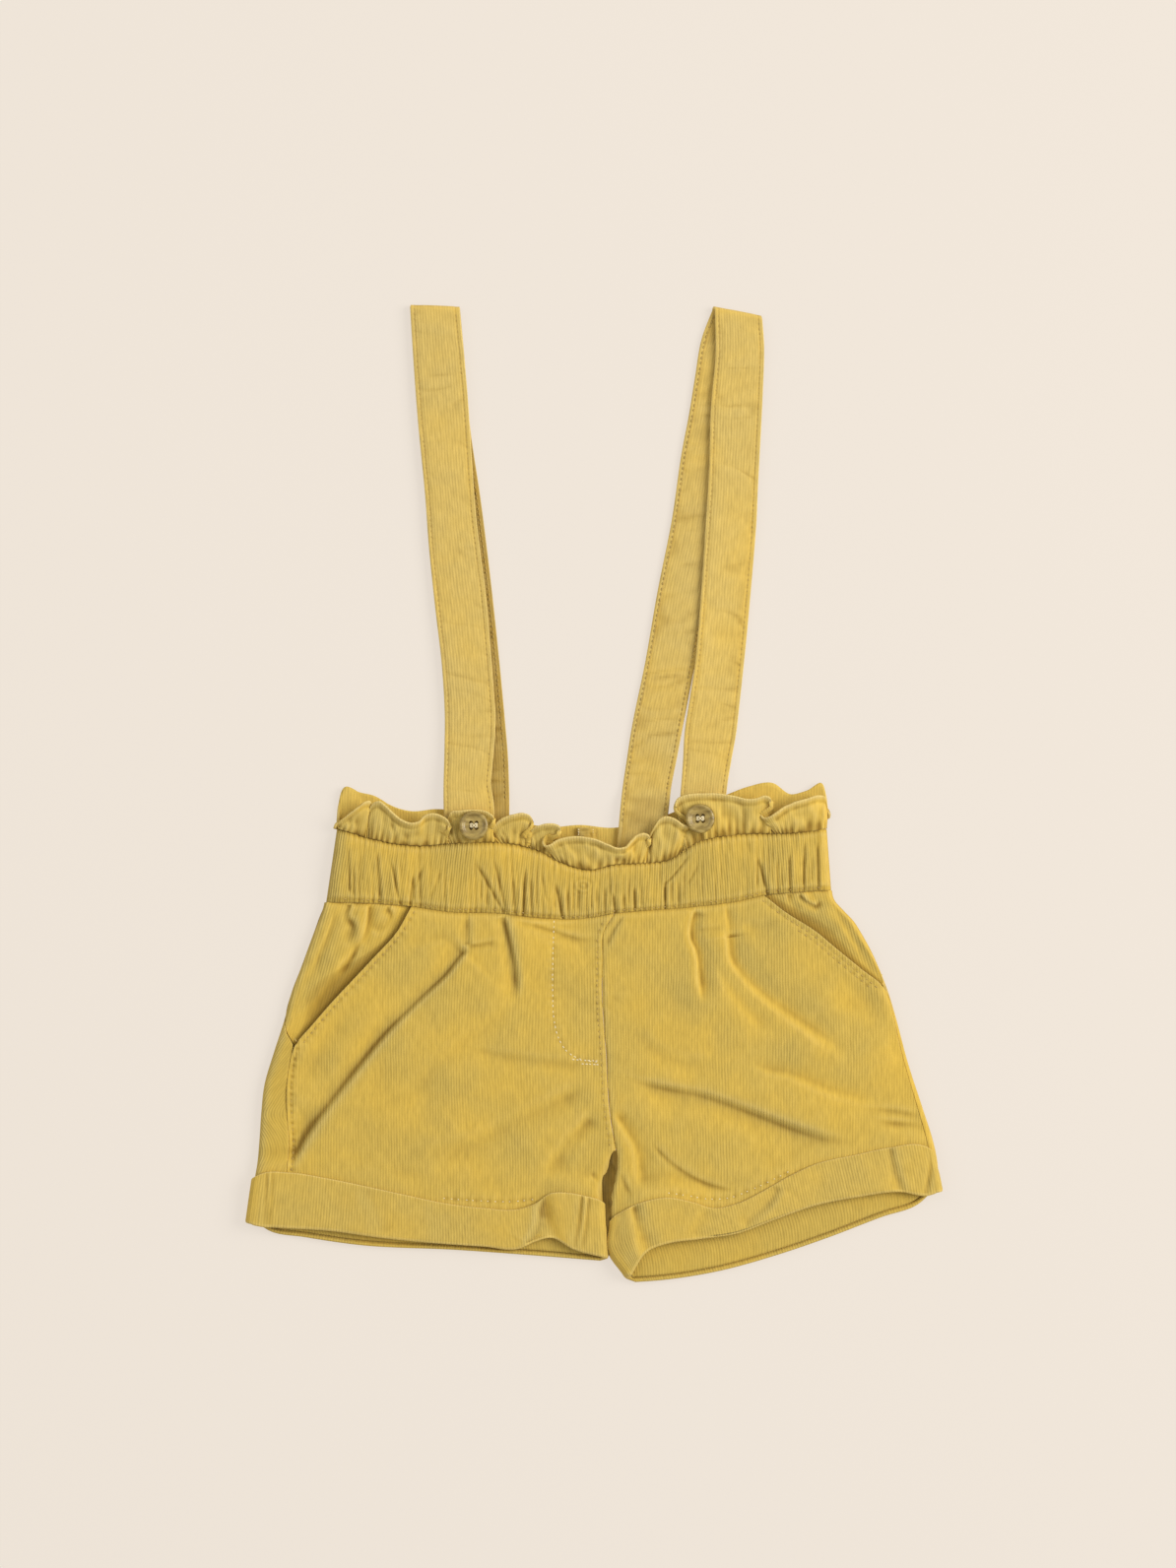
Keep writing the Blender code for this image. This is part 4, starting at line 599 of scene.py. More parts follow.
# Creases of the hip pieces, as above.
HIP_CREASES = [
    (1, 1.0, 1.0, 1.8, 0.5, 2.2, 0.05, 0.2, [
        (-105, -48), (-106.5, -53), (-103.8, -58), (-106.5, -66),
    ]),
    (-1, 1.0, 1.2, 2.4, 0.6, 2.6, 0.05, 0.2, [
        (-96.5, -48), (-97.0, -56), (-98.5, -63), (-104, -72), (-111, -80),
    ]),
    (1, 1.0, 0.9, 2.0, 0.5, 2.2, 0.05, 0.2, [(-89, -49), (-87.5, -53.5), (-95, -61)]),
    (1, 1.4, 0.9, 2.0, 0.4, 2.6, 0.1, 0.3, [
        (-100, -62), (-106, -74), (-113, -84), (-119, -93), (-126, -101),
    ]),
    (-1, 1.2, 0.6, 2.0, 0.3, 2.4, 0.2, 0.3, [(-111, -50), (-113, -58), (-118, -70), (-122, -80)]),
    (-1, 0.9, 0.9, 1.6, 0.5, 1.8, 0.05, 0.2, [(84, -43.5), (85, -48), (88, -52.5)]),
    (1, 0.8, 0.9, 1.4, 0.5, 1.6, 0.1, 0.2, [(88.5, -43.5), (91.5, -47), (96.5, -49), (98, -46)]),
    (-1, 1.2, 0.9, 2.6, 0.5, 3.0, 0.1, 0.3, [(86, -54.5), (92, -57.5), (99, -60), (107, -62)]),
    (-1, 1.6, 0.5, 2.6, 0.3, 3.0, 0.2, 0.3, [(103, -44), (107, -54), (113, -64), (119, -76)]),
]

# Creases of the underside, which isn't seen in the photograph: troughs up off the surface.
UNDER_CREASES = [
    (2.2, 5.0, [(-132, -60), (-108, -86), (-76, -118), (-40, -140), (-8, -148)]),
    (1.6, 4.0, [(-128, -112), (-96, -128), (-62, -150), (-34, -168)]),
    (1.4, 3.5, [(-90, -52), (-86, -72), (-78, -96)]),
    (1.2, 3.0, [(-52, -54), (-54, -74), (-58, -92)]),
    (1.2, 3.0, [(-24, -58), (-20, -78), (-16, -94)]),
    (2.0, 5.0, [(118, -70), (96, -96), (66, -122), (36, -140), (14, -148)]),
    (1.6, 4.0, [(132, -124), (100, -136), (70, -156), (44, -172)]),
    (1.3, 3.5, [(84, -48), (80, -70), (70, -92)]),
    (1.2, 3.0, [(40, -52), (42, -72), (46, -92)]),
    (1.0, 3.0, [(20, -56), (18, -76), (14, -92)]),
]

# Topstitching of the mock fly.
FLY_LINE = [
    (-17, -54.5), (-17.4, -67), (-17.6, -86), (-17.0, -98), (-15.2, -105.5), (-11.5, -111.5),
    (-5.5, -115), (2, -116.2),
]


def crease_relief(x, y, creases):
    """Height of these creases above the plain cloth, soft on one side and steep on the other."""
    relief = np.zeros(np.shape(x))
    for side, step, depth, width, ridge, ridge_width, start, end, line in creases:
        distance, share = from_line(x, y, line)
        across = side * distance
        spread = 1.0 + (1.7 if start < 0.1 and depth < 1.85 else 0.5) * share
        step, ridge, ridge_width = 1.3 * step * spread, 0.65 * ridge, 1.7 * ridge_width
        width = width * (0.5 + 0.5 * spread)
        fade = smooth(share / start) * smooth((1.0 - share) / end)
        fade = fade * (0.85 + 0.25 * noise(share * 7.0, distance * 0.0 + depth * 9.0, 43))
        valley = -depth * np.exp(-((np.minimum(across, 0.0) / width) ** 2))
        crest = ridge * np.exp(-((np.maximum(across - step, 0.0) / ridge_width) ** 2))
        wall = -depth + (ridge + depth) * smooth(across / step)
        height = np.where(across < 0.0, valley, np.where(across > step, crest, wall))
        relief += fade * height
    return relief


def noise(x, y, seed):
    """Smooth noise from -1 to 1 that turns about once over each unit."""
    column, row = np.floor(x).astype(np.int64), np.floor(y).astype(np.int64)
    right, up = smooth(x - column), smooth(y - row)

    def corner(i, j):
        mixed = (column + i) * 374761393 + (row + j) * 668265263 + seed * 974634777
        mixed = ((mixed & 0xFFFFFFFF) ^ ((mixed & 0xFFFFFFFF) >> 13)) * 1274126177
        mixed &= 0xFFFFFFFF
        return ((mixed ^ (mixed >> 16)) & 0xFFFF) / 32767.5 - 1.0

    low = corner(0, 0) * (1 - right) + corner(1, 0) * right
    high = corner(0, 1) * (1 - right) + corner(1, 1) * right
    return low * (1 - up) + high * up


def crumple(x, y, seed):
    """Small unevenness of washed cloth, in millimetres."""
    wide = noise(x / 23.0 + 0.3 * y / 23.0, y / 17.0, seed)
    middle = noise(x / 9.0, y / 11.0 + x / 30.0, seed + 1)
    fine = noise(x / 3.6, y / 4.8, seed + 2)
    return 0.36 * wide + 0.17 * middle + 0.05 * fine


def billow(x, y, seed):
    """Broad soft rises and hollows of a loose layer, in millimetres."""
    turned = noise((x + 0.6 * y) / 34.0, (y - 0.4 * x) / 27.0, seed)
    return 0.95 * turned + 0.6 * noise((x - 0.5 * y) / 15.0, (y + 0.3 * x) / 19.0, seed + 1)


# Materials.

MUSTARD = (0.622, 0.409, 0.066)
MUSTARD_OLIVE = (0.535, 0.390, 0.096)
MUSTARD_PALE = (0.740, 0.560, 0.205)
# Dark brown of the painted shade in creases, recesses and gaps.
MUSTARD_PAINTED_SHADE = (0.215, 0.110, 0.010)
WALE = 0.0012


def socket(node, name, value):
    node.inputs[name].default_value = value


class Shader:
    """Builds one material's node tree."""

    def __init__(self, name):
        self.material = bpy.data.materials.new(name)
        self.material.use_nodes = True
        self.tree = self.material.node_tree
        self.surface = self.tree.nodes["Principled BSDF"]

    def node(self, kind, **settings):
        made = self.tree.nodes.new(kind)
        for key, value in settings.items():
            setattr(made, key, value)
        return made

    def join(self, source, target, name):
        self.tree.links.new(source, target.inputs[name])

    def math(self, operation, one, two=None, three=None, clamp=False):
        made = self.node("ShaderNodeMath", operation=operation, use_clamp=clamp)
        for index, value in enumerate((one, two, three)):
            if value is None:
                continue
            if isinstance(value, (int, float)):
                made.inputs[index].default_value = value
            else:
                self.tree.links.new(value, made.inputs[index])
        return made.outputs[0]

    def mix(self, factor, one, two, blend="MIX"):
        made = self.node("ShaderNodeMix", data_type="RGBA", blend_type=blend)
        for index, value in ((0, factor), (6, one), (7, two)):
            if isinstance(value, (int, float)):
                made.inputs[index].default_value = value
            elif isinstance(value, tuple):
                made.inputs[index].default_value = (*value, 1.0)
            else:
                self.tree.links.new(value, made.inputs[index])
        return made.outputs[2]

    def noise(self, vector, scale, detail=2.0, stretch=None):
        if stretch is not None:
            mapping = self.node("ShaderNodeMapping")
            socket(mapping, "Scale", stretch)
            self.join(vector, mapping, "Vector")
            vector = mapping.outputs[0]
        made = self.node("ShaderNodeTexNoise")
        socket(made, "Scale", scale)
        socket(made, "Detail", detail)
        self.join(vector, made, "Vector")
        return made.outputs["Fac"]

    def ranged(self, value, low, high, start=0.0, end=1.0):
        made = self.node("ShaderNodeMapRange")
        for name, number in (
            ("From Min", low), ("From Max", high), ("To Min", start), ("To Max", end),
        ):
            socket(made, name, number)
        self.join(value, made, "Value")
        return made.outputs[0]

    def bump(self, height, strength, distance):
        made = self.node("ShaderNodeBump")
        socket(made, "Strength", strength)
        socket(made, "Distance", distance)
        self.join(height, made, "Height")
        self.join(made.outputs[0], self.surface, "Normal")

    def place(self):
        return self.node("ShaderNodeTexCoord").outputs["Object"]

    def painted(self, name):
        return self.node("ShaderNodeAttribute", attribute_name=name).outputs["Fac"]

    def settle(self, values):
        for name, value in values.items():
            socket(self.surface, name, value)


def corduroy(name, wale=1.0, shade=1.0, tint=(1.0, 1.0, 1.0), relief=1.0):
    """Fine cord: wales along the cloth's grain with painted shade in their grooves, brushed nap
    tone mixed with painted light by slope, worn edges and painted shade in creases.
    """
    made = Shader(name)
    grain = made.node("ShaderNodeUVMap", uv_map="grain").outputs[0]
    split = made.node("ShaderNodeSeparateXYZ")
    made.join(grain, split, "Vector")
    place = made.place()
    wander = made.noise(grain, 60.0, 2.0)
    turn = made.math("MULTIPLY_ADD", split.outputs[0], 2.0 * math.pi / WALE, 0.0)
    turn = made.math("MULTIPLY_ADD", wander, 5.0, turn)
    wave = made.math("SINE", turn)
    wave = made.math("MULTIPLY_ADD", wave, 0.5, 0.5)
    wave = made.math("POWER", wave, 0.7)
    broken = made.noise(grain, 1.0, 3.0, (900.0, 170.0, 1.0))
    nap_and_light = made.noise(place, 34.0, 3.0)
    nap_and_light = made.ranged(nap_and_light, 0.38, 0.62)
    # Painted light: the slope attribute below tips the colour to mustard where the cloth faces the
    # key light and to olive where it faces away; the noise above is the nap's random tone.
    lit = made.painted("lit")
    nap_and_light = made.math("MULTIPLY_ADD", nap_and_light, 0.40, made.math("MULTIPLY_ADD", lit, -1.3, 0.90))
    nap_and_light = made.math("MINIMUM", made.math("MAXIMUM", nap_and_light, 0.0), 1.0)
    wear = made.painted("wear")
    painted_shade = made.painted("painted_shade")
    base = made.mix(
        made.math("MULTIPLY", nap_and_light, 0.85),
        tuple(a * shade * b for a, b in zip(MUSTARD, tint)),
        tuple(a * shade * b for a, b in zip(MUSTARD_OLIVE, tint)),
    )
    streak = made.ranged(broken, 0.3, 0.7, 0.90, 1.10)
    # Painted shade in the grooves between the wales, deeper where the cloth is painted as facing
    # away from the light.
    groove = made.math("MULTIPLY_ADD", nap_and_light, 0.15 * wale, 0.08 * wale)
    shaded = made.math("MULTIPLY", groove, made.math("SUBTRACT", 1.0, wave))
    light = made.math("SUBTRACT", 1.0, shaded)
    light = made.math("MULTIPLY", light, streak)
    worn = made.math("MULTIPLY", wear, 0.85)
    base = made.mix(worn, base, MUSTARD_PALE)
    # Painted shade: where the attribute is high, creases, recesses and gaps are darkened towards
    # this dark brown.
    hollow = tuple(a * min(1.0, shade) for a in MUSTARD_PAINTED_SHADE)
    base = made.mix(made.math("MULTIPLY", painted_shade, 0.8), base, hollow)
    grey = made.node("ShaderNodeCombineColor")
    for channel in ("Red", "Green", "Blue"):
        made.join(light, grey, channel)
    base = made.mix(1.0, base, grey.outputs[0], "MULTIPLY")
    made.join(base, made.surface, "Base Color")
    fuzz = made.noise(grain, 1.0, 2.0, (2600.0, 1500.0, 1.0))
    height = made.math("MULTIPLY", wave, made.math("MULTIPLY_ADD", nap_and_light, 0.6, 0.3))
    height = made.math("MULTIPLY_ADD", fuzz, 0.35, height)
    height = made.math("MULTIPLY_ADD", broken, 0.5, height)
    made.bump(height, 0.45 * relief, 0.00032)
    rough = made.ranged(fuzz, 0.3, 0.7, 0.82, 0.96)
    made.join(rough, made.surface, "Roughness")
    made.settle({
        "Specular IOR Level": 0.18, "Sheen Weight": 0.14, "Sheen Roughness": 0.45,
        "Sheen Tint": (0.98, 0.86, 0.55, 1.0),
    })
    return made.material


def thread(name, colour, wrap=3200.0):
    """Twisted sewing thread."""
    made = Shader(name)
    place = made.place()
    ply = made.noise(place, wrap, 2.0)
    tone = made.mix(ply, tuple(0.72 * c for c in colour), tuple(1.2 * c for c in colour))
    made.join(tone, made.surface, "Base Color")
    made.bump(ply, 0.4, 0.0001)
    made.join(made.ranged(ply, 0.2, 0.8, 0.55, 0.8), made.surface, "Roughness")
    made.settle({"Sheen Weight": 0.2})
    return made.material


def horn(name):
    """Translucent brown button with cloudy streaks."""
    made = Shader(name)
    place = made.place()
    cloud = made.noise(place, 260.0, 4.0, (1.0, 2.2, 1.0))
    tone = made.mix(made.ranged(cloud, 0.35, 0.68), (0.24, 0.155, 0.030), (0.48, 0.345, 0.095))
    made.join(tone, made.surface, "Base Color")
    fine = made.noise(place, 1500.0, 2.0)
    made.join(made.ranged(fine, 0.3, 0.7, 0.32, 0.48), made.surface, "Roughness")
    made.bump(fine, 0.15, 0.0001)
    made.settle({
        "IOR": 1.5, "Transmission Weight": 0.12, "Coat Weight": 0.12, "Coat Roughness": 0.12,
    })
    return made.material


def paper(name):
    """Pale seamless floor that stays even under soft light."""
    made = Shader(name)
    place = made.place()
    mottle = made.noise(place, 5.0, 2.0)
    tone = made.mix(mottle, (0.164, 0.149, 0.132), (0.166, 0.151, 0.134))
    made.join(tone, made.surface, "Base Color")
    glow = made.mix(mottle, (0.868, 0.788, 0.698), (0.874, 0.794, 0.704))
    made.join(glow, made.surface, "Emission Color")
    made.settle({"Emission Strength": 0.775, "Roughness": 1.0, "Specular IOR Level": 0.0})
    return made.material


# Shells.

def placed(name, data):
    """A new object in the scene that holds this data."""
    made = bpy.data.objects.new(name, data)
    bpy.context.scene.collection.objects.link(made)
    return made


def directions(grid, axis):
    """Directions along one axis of a grid, halving the turn at each point."""
    step = unit(np.moveaxis(np.diff(grid, axis=axis), axis, 0))
    between = (step[:-1] + step[1:]) / 2.0
    return np.moveaxis(np.concatenate([step[:1], between, step[-1:]]), 0, axis)


def normals_of(grid):
    """Unit normals of a grid of points, as rows run down and columns run across."""
    return unit(np.cross(directions(grid, 0), directions(grid, 1)))


def blurred(values, reach, times=2):
    """A running mean over a grid, repeated, with its border held."""
    for _ in range(times):
        for axis in (0, 1):
            size = min(reach, values.shape[axis] // 3)
            pad = [(0, 0), (0, 0)]
            pad[axis] = (size + 1, size)
            total = np.cumsum(np.pad(values, pad, mode="edge"), axis=axis)
            width = 2 * size + 1
            count = values.shape[axis]
            high = np.take(total, np.arange(width, width + count), axis=axis)
            low = np.take(total, np.arange(0, count), axis=axis)
            values = (high - low) / width
    return values


def cavity_of(height, reach):
    """How far each point of a grid lies below its surroundings, in millimetres."""
    return blurred(height, reach) - height


def lit_of(grid, reach):
    """Painted light: how far each point's blurred slope faces the key light, from 0 to 1."""
    soft = np.dstack([grid[..., :2], blurred(grid[..., 2], reach)])
    slope = normals_of(soft)
    return np.clip(0.50 + 2.3 * (0.93 * slope[..., 0] + 0.36 * slope[..., 1]), 0.0, 1.0)


def shell_object(name, points, faces, uvs, finish, wear=None, painted_shade=None, lit=None):
    """A mesh in millimetres with the grain of its cloth as UVs, for each point or corner."""
    mesh = bpy.data.meshes.new(name)
    points = np.asarray(points, float) * MM
    faces = np.asarray(faces, np.int32)
    corners = faces.shape[1]
    mesh.vertices.add(len(points))
    mesh.vertices.foreach_set("co", points.ravel())
    mesh.loops.add(faces.size)
    mesh.loops.foreach_set("vertex_index", faces.ravel())
    mesh.polygons.add(len(faces))
    mesh.polygons.foreach_set("loop_start", np.arange(0, faces.size, corners, dtype=np.int32))
    mesh.update(calc_edges=True)
    layer = mesh.uv_layers.new(name="grain")
    uvs = np.asarray(uvs, float) * MM
    layer.uv.foreach_set("vector", (uvs if len(uvs) == faces.size else uvs[faces.ravel()]).ravel())
    if lit is None:
        lit = np.full(len(points), 0.5)
    # Attributes: wear of the cloth, painted shade, and painted light by slope.
    for key, values in (("wear", wear), ("painted_shade", painted_shade), ("lit", lit)):
        made = mesh.attributes.new(key, "FLOAT", "POINT")
        values = np.zeros(len(points)) if values is None else np.clip(values, 0.0, 1.0)
        made.data.foreach_set("value", values.astype(np.float32))
    mesh.materials.append(finish)
    mesh.polygons.foreach_set("use_smooth", np.ones(len(faces), bool))
    mesh.update()
    return placed(name, mesh)


def cloth_shell(name, outer, wall, uv, finish, inner=None, level=(), reach=5, wear=None,
                painted_shade=None, soft=1.0, nap_and_light=3, lining=None):
    """A thin closed shell under a grid of points, with rounded edges, painted shade in its creases,
    worn crests and painted light by slope.
    """
    if inner is None:
        normal = normals_of(outer)
        for column, share in level:
            normal[:, column, 2] *= 1.0 - share
        inner = outer - wall * unit(normal)
    rows, columns = outer.shape[:2]
    count = rows * columns
    index = np.arange(count).reshape(rows, columns)
    quads = np.stack(
        [index[:-1, :-1], index[1:, :-1], index[1:, 1:], index[:-1, 1:]], axis=-1
    ).reshape(-1, 4)
    under = quads[:, ::-1] + count
    rim = np.concatenate([
        index[0, :], index[1:, -1], index[-1, -2::-1], index[-2:0:-1, 0],
    ])
    top, low = outer.reshape(-1, 3), inner.reshape(-1, 3)
    middle = (top[rim] + low[rim]) / 2.0
    inside = np.concatenate([
        outer[1, :], outer[1:, -2], outer[-2, -2::-1], outer[-2:0:-1, 1],
    ])
    away = unit(top[rim] - inside)
    half = np.linalg.norm(top[rim] - low[rim], axis=1, keepdims=True) / 2.0
    bead = middle + 0.3 * soft * half * away
    beads = 2 * count + np.arange(len(rim))
    ahead = np.roll(np.arange(len(rim)), -1)
    side = np.concatenate([
        np.stack([rim, rim[ahead], beads[ahead], beads], axis=1),
        np.stack([beads, beads[ahead], rim[ahead] + count, rim + count], axis=1),
    ])
    points = np.vstack([top, low, bead])
    faces = np.concatenate([quads, under, side])
    flat_uv = uv.reshape(-1, 2)
    uvs = np.vstack([flat_uv, flat_uv, flat_uv[rim]])
    shade_marks, crest = shade_and_wear_of(outer[..., 2], reach)
    if wear is not None:
        crest = np.clip(crest + wear, 0.0, 1.0)
    if painted_shade is not None:
        shade_marks = np.clip(shade_marks + painted_shade, 0.0, 1.0)
    shade_marks, crest = shade_marks.ravel(), crest.ravel()
    lit = lit_of(outer, nap_and_light).ravel()
    lits = np.concatenate([lit, np.full(count, 0.5), lit[rim]])
    rim_wear = np.full(len(rim), 0.8)
    within = (0.3 * shade_marks, 0.2 * crest, np.full(count, 0.5))
    if lining is not None:
        within = tuple(values.ravel() for values in lining)
    wears = np.concatenate([crest, within[1], rim_wear])
    painted_shades = np.concatenate([shade_marks, within[0], 0.4 * shade_marks[rim]])
    lits[count:2 * count] = within[2]
    return shell_object(name, points, faces, uvs, finish, wears, painted_shades, lits)


def shade_and_wear_of(height, reach):
    """Painted shade in the creases of a grid, a fine share and a broad one, and its rubbed crests.
    """
    fine, broad = cavity_of(height, 2), cavity_of(height, reach)
    shade_marks = 0.75 * np.clip(fine / 0.42, 0.0, 1.0) ** 1.3 + 0.30 * np.clip(broad / 1.0, 0.0, 1.0)
    crest = 0.35 * np.clip(-fine / 0.40, 0.0, 1.0)
    return np.clip(shade_marks, 0.0, 1.0), crest


def edge_wear(rows, columns, sides, width=2, strength=0.7):
    """Wear along the named edges of a grid: t, b, l and r."""
    made = np.zeros((rows, columns))
    for step in range(width):
        value = strength * (1.0 - step / width)
        for side, line in (
            ("t", made[step]), ("b", made[-1 - step]),
            ("l", made[:, step]), ("r", made[:, -1 - step]),
        ):
            if side in sides:
                line[:] = np.maximum(line, value)
    return made


def laid(piece, node):
    """Puts a piece of cloth in place of its solid."""
    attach(piece, "root")
    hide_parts(node)
    return piece


def trimming(piece):
    """Puts a piece that no solid stands for."""
    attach(piece, "root")
    return piece


# Stitches.

def tube_faces(base, rings, sides):
    """Faces of a tube of rings of points, closed at both ends."""
    faces = []
    for ring in range(rings - 1):
        for side in range(sides):
            ahead = (side + 1) % sides
            low, high = base + ring * sides, base + (ring + 1) * sides
            faces.append((low + side, low + ahead, high + ahead, high + side))
    for ring, order in ((0, -1), (rings - 1, 1)):
        cap = [base + ring * sides + side for side in range(sides)][::order]
        faces += [(cap[0], *cap[at:at + 3]) for at in range(1, sides - 1, 2)]
    return faces


def stitches(name, path, up, finish, pitch=2.5, length=1.75, radius=0.27, sink=0.12):
    """A row of separate stitches along a path of points, each sunk into the cloth at its ends."""
    path = np.asarray(path, float)
    at = run_of(path)
    count = max(2, int(at[-1] / pitch))
    places = (np.arange(count) + 0.5) * at[-1] / count
    points, faces, uvs = [], [], []
    rings = ((-0.5, 0.25, -1.3), (-0.42, 0.8, -0.5), (-0.2, 1.0, 0.15), (0.0, 1.0, 0.3),
             (0.2, 1.0, 0.15), (0.42, 0.8, -0.5), (0.5, 0.25, -1.3))
    sides = 6
    for number, place in enumerate(places):
        jitter = 0.08 * math.sin(2.7 * number) * pitch
        span = length * (1.0 + 0.12 * math.sin(1.9 * number + 0.7))
        first, last = place + jitter - span / 2.0, place + jitter + span / 2.0
        stops = np.clip([first, last], 0.0, at[-1])
        ends = np.stack([np.interp(stops, at, column) for column in path.T], axis=-1)
        middle, along_it = ends.mean(axis=0), ends[1] - ends[0]
        length_now = np.linalg.norm(along_it)
        if length_now < 1e-6:
            continue
        along_it /= length_now
        rise = np.array([np.interp(place, at, column) for column in up.T])
        across = np.cross(rise, along_it)
        across /= max(np.linalg.norm(across), 1e-9)
        rise = np.cross(along_it, across)
        base = len(points)
        for share, size, lift in rings:
            centre = middle + along_it * length_now * share + rise * (radius * lift - sink)
            for side in range(sides):
                angle = 2.0 * math.pi * side / sides
                points.append(
                    centre + radius * size * (math.cos(angle) * across + math.sin(angle) * rise)
                )
                uvs.append((place + share, side))
        faces += tube_faces(base, len(rings), sides)
    made = shell_object(name, points, faces, uvs, finish)
    return trimming(made)


def lift_of(function, x, y, step=0.4):
    """Upward normals of a surface given by its height."""
    slope_x = (function(x + step, y) - function(x - step, y)) / (2 * step)
    slope_y = (function(x, y + step) - function(x, y - step)) / (2 * step)
    normal = np.stack([-slope_x, -slope_y, np.ones(np.shape(x))], axis=-1)
    return unit(normal)


def offset_line(points, left, count=60, first=0.0, last=1.0):
    """A line moved to its left by a distance, from one share of its length to another."""
    curve = along(points, np.linspace(first, last, count))[:, :2]
    step = unit(np.gradient(curve, axis=0))
    return curve + left * np.stack([-step[:, 1], step[:, 0]], axis=1)


def stitched(name, line, height, finish, **settings):
    """Stitches along a line in plan, on a surface given by its height."""
    x, y = line[:, 0], line[:, 1]
    path = np.column_stack([x, y, height(x, y)])
    return stitches(name, path, lift_of(height, x, y), finish, **settings)


# Pieces.

CORD = corduroy("cord_front")
CORD_BACK = corduroy("cord_back", shade=0.97)
CORD_INSIDE = corduroy("cord_inside", wale=0.35, shade=1.02, tint=(1.0, 1.03, 1.25), relief=0.5)
CORD_BAND = corduroy("cord_band", wale=1.7, relief=1.3)
CORD_FRILL = corduroy("cord_frill", wale=0.5, shade=1.09, tint=(1.0, 1.0, 1.04), relief=0.8)
CORD_CUFF = corduroy("cord_cuff", wale=1.1, tint=(1.0, 1.01, 1.1))
CORD_STRAP = corduroy("cord_strap", wale=0.45, shade=1.04, tint=(1.0, 1.03, 1.42))
# A copy darkened by half, for painted shade in the gap between the legs.
CORD_SHADE = corduroy("cord_shade", shade=0.5)
THREAD = thread("thread_mustard", (0.46, 0.31, 0.07))
THREAD_PALE = thread("thread_pale", (0.78, 0.66, 0.40))
HORN = horn("horn_button")


def spaced(count, close_first=(), close_last=()):
    """Shares from 0 to 1, even but for closer ones listed at each end."""
    start = close_first[-1] if close_first else 0.0
    end = close_last[-1] if close_last else 0.0
    middle = np.linspace(start, 1.0 - end, count - len(close_first) - len(close_last))
    first = [0.0, *close_first[:-1]] if close_first else []
    last = [1.0 - share for share in reversed(close_last[:-1])] + [1.0] if close_last else []
    return np.concatenate([first, middle, last])


def moved(points, dx=0.0, dy=0.0):
    return [(x + dx, y + dy) for x, y in points]


def cut_at(points, x_low, x_high):
    """The stretch of a line across the garment between two x, with its ends put there."""
    inside = [(x, y) for x, y in points if x_low + 4.0 < x < x_high - 4.0]
    ends = [(x, float(y_at(points, x))) for x in (x_low, x_high)]
    return [ends[0], *inside, ends[1]]


def cuff_plan(side, face, across, rise, up):
    """Plan points on a cuff, a share of its depth and a distance up from its lower edge."""
    cuff = CUFF[side]
    upper, lower = along(cuff[face + "top"], across), along(cuff[face + "bottom"], across)
    share = rise + up / np.linalg.norm(upper - lower, axis=1)
    plan = lower + (upper - lower) * share[:, None]
    if side == "right":
        end = smooth((np.asarray(across) - 0.9) / 0.1)
        plan[:, 0] -= CUFF_BELLY * 16.0 * share**2 * (1.0 - share) ** 2 * end
    return plan


def hem_line(side, face, outer_x):
    """Where a leg ends inside its cuff, from low x to high x, and its inner end's x."""
    inseam = INSEAM[side]
    line = cuff_plan(side, face, np.linspace(0.0, 1.0, 24), 0.0, CUFF_MARGIN)
    line = sorted(map(tuple, line.tolist()))
    inner_x = inseam[-1][0]
    for _ in range(24):
        inner_x = 0.5 * (inner_x + float(x_at(inseam, y_at(line, inner_x))))
    return cut_at(line, *sorted((outer_x, inner_x)))


def inner_line_of(side, gap=SEAM):
    """The centre seam, half a gap to this side of it, and the inner edge of the leg."""
    inseam = INSEAM[side]
    return moved(CENTRE_SEAM, dx=SIGN[side] * gap / 2.0) + inseam[1:]


# Lines that dip under their stitches on the fronts.
CENTRE_STITCH = offset_line(CENTRE_SEAM, -2.1, 60, 0.05, 0.985)
POCKET_STITCH_LEFT = offset_line(POCKET_LEFT, 1.9, 50, 0.0, 0.97)
POCKET_STITCH_RIGHT = offset_line(POCKET_RIGHT, -1.8, 50, 0.0, 0.98)
POCKET_STITCH_SECOND = offset_line(POCKET_RIGHT, -3.7, 40, 0.3, 0.94)
SIDE_STITCH_LEFT = offset_line(SIDE_SEAM_LEFT, 1.9, 50, 0.1, 0.95)
FLY_STITCH = offset_line(FLY_LINE, 0.0, 60)
TACK_ROWS = [
    np.array([(-9.5, -115.0), (-4.0, -115.4), (2.2, -115.7)]),
    np.array([(-5.5, -116.9), (-1.5, -117.1), (2.6, -117.3)]),
]
HEM_STITCH_LEFT = np.array([
    (-66, -174.8), (-56, -175.6), (-46, -176.2), (-36, -176.4), (-25, -175.4),
])
HEM_STITCH_RIGHT = np.array([
    (31, -172.4), (40, -173.6), (50, -175.2), (58, -174.8), (68, -171.2), (78, -166.6),
    (85, -163.0),
])
DIPS = [
    (CENTRE_STITCH, 0.30, 0.75, 2.4), (POCKET_STITCH_LEFT, 0.32, 0.8, 2.4),
    (POCKET_STITCH_RIGHT, 0.30, 0.8, 2.4), (POCKET_STITCH_SECOND, 0.25, 0.8, 2.6),
    (SIDE_STITCH_LEFT, 0.55, 0.7, 2.5), (FLY_STITCH, 0.22, 0.9, 2.3),
    (HEM_STITCH_LEFT, 0.35, 0.9, 3.0), (HEM_STITCH_RIGHT, 0.35, 0.9, 3.0),
]


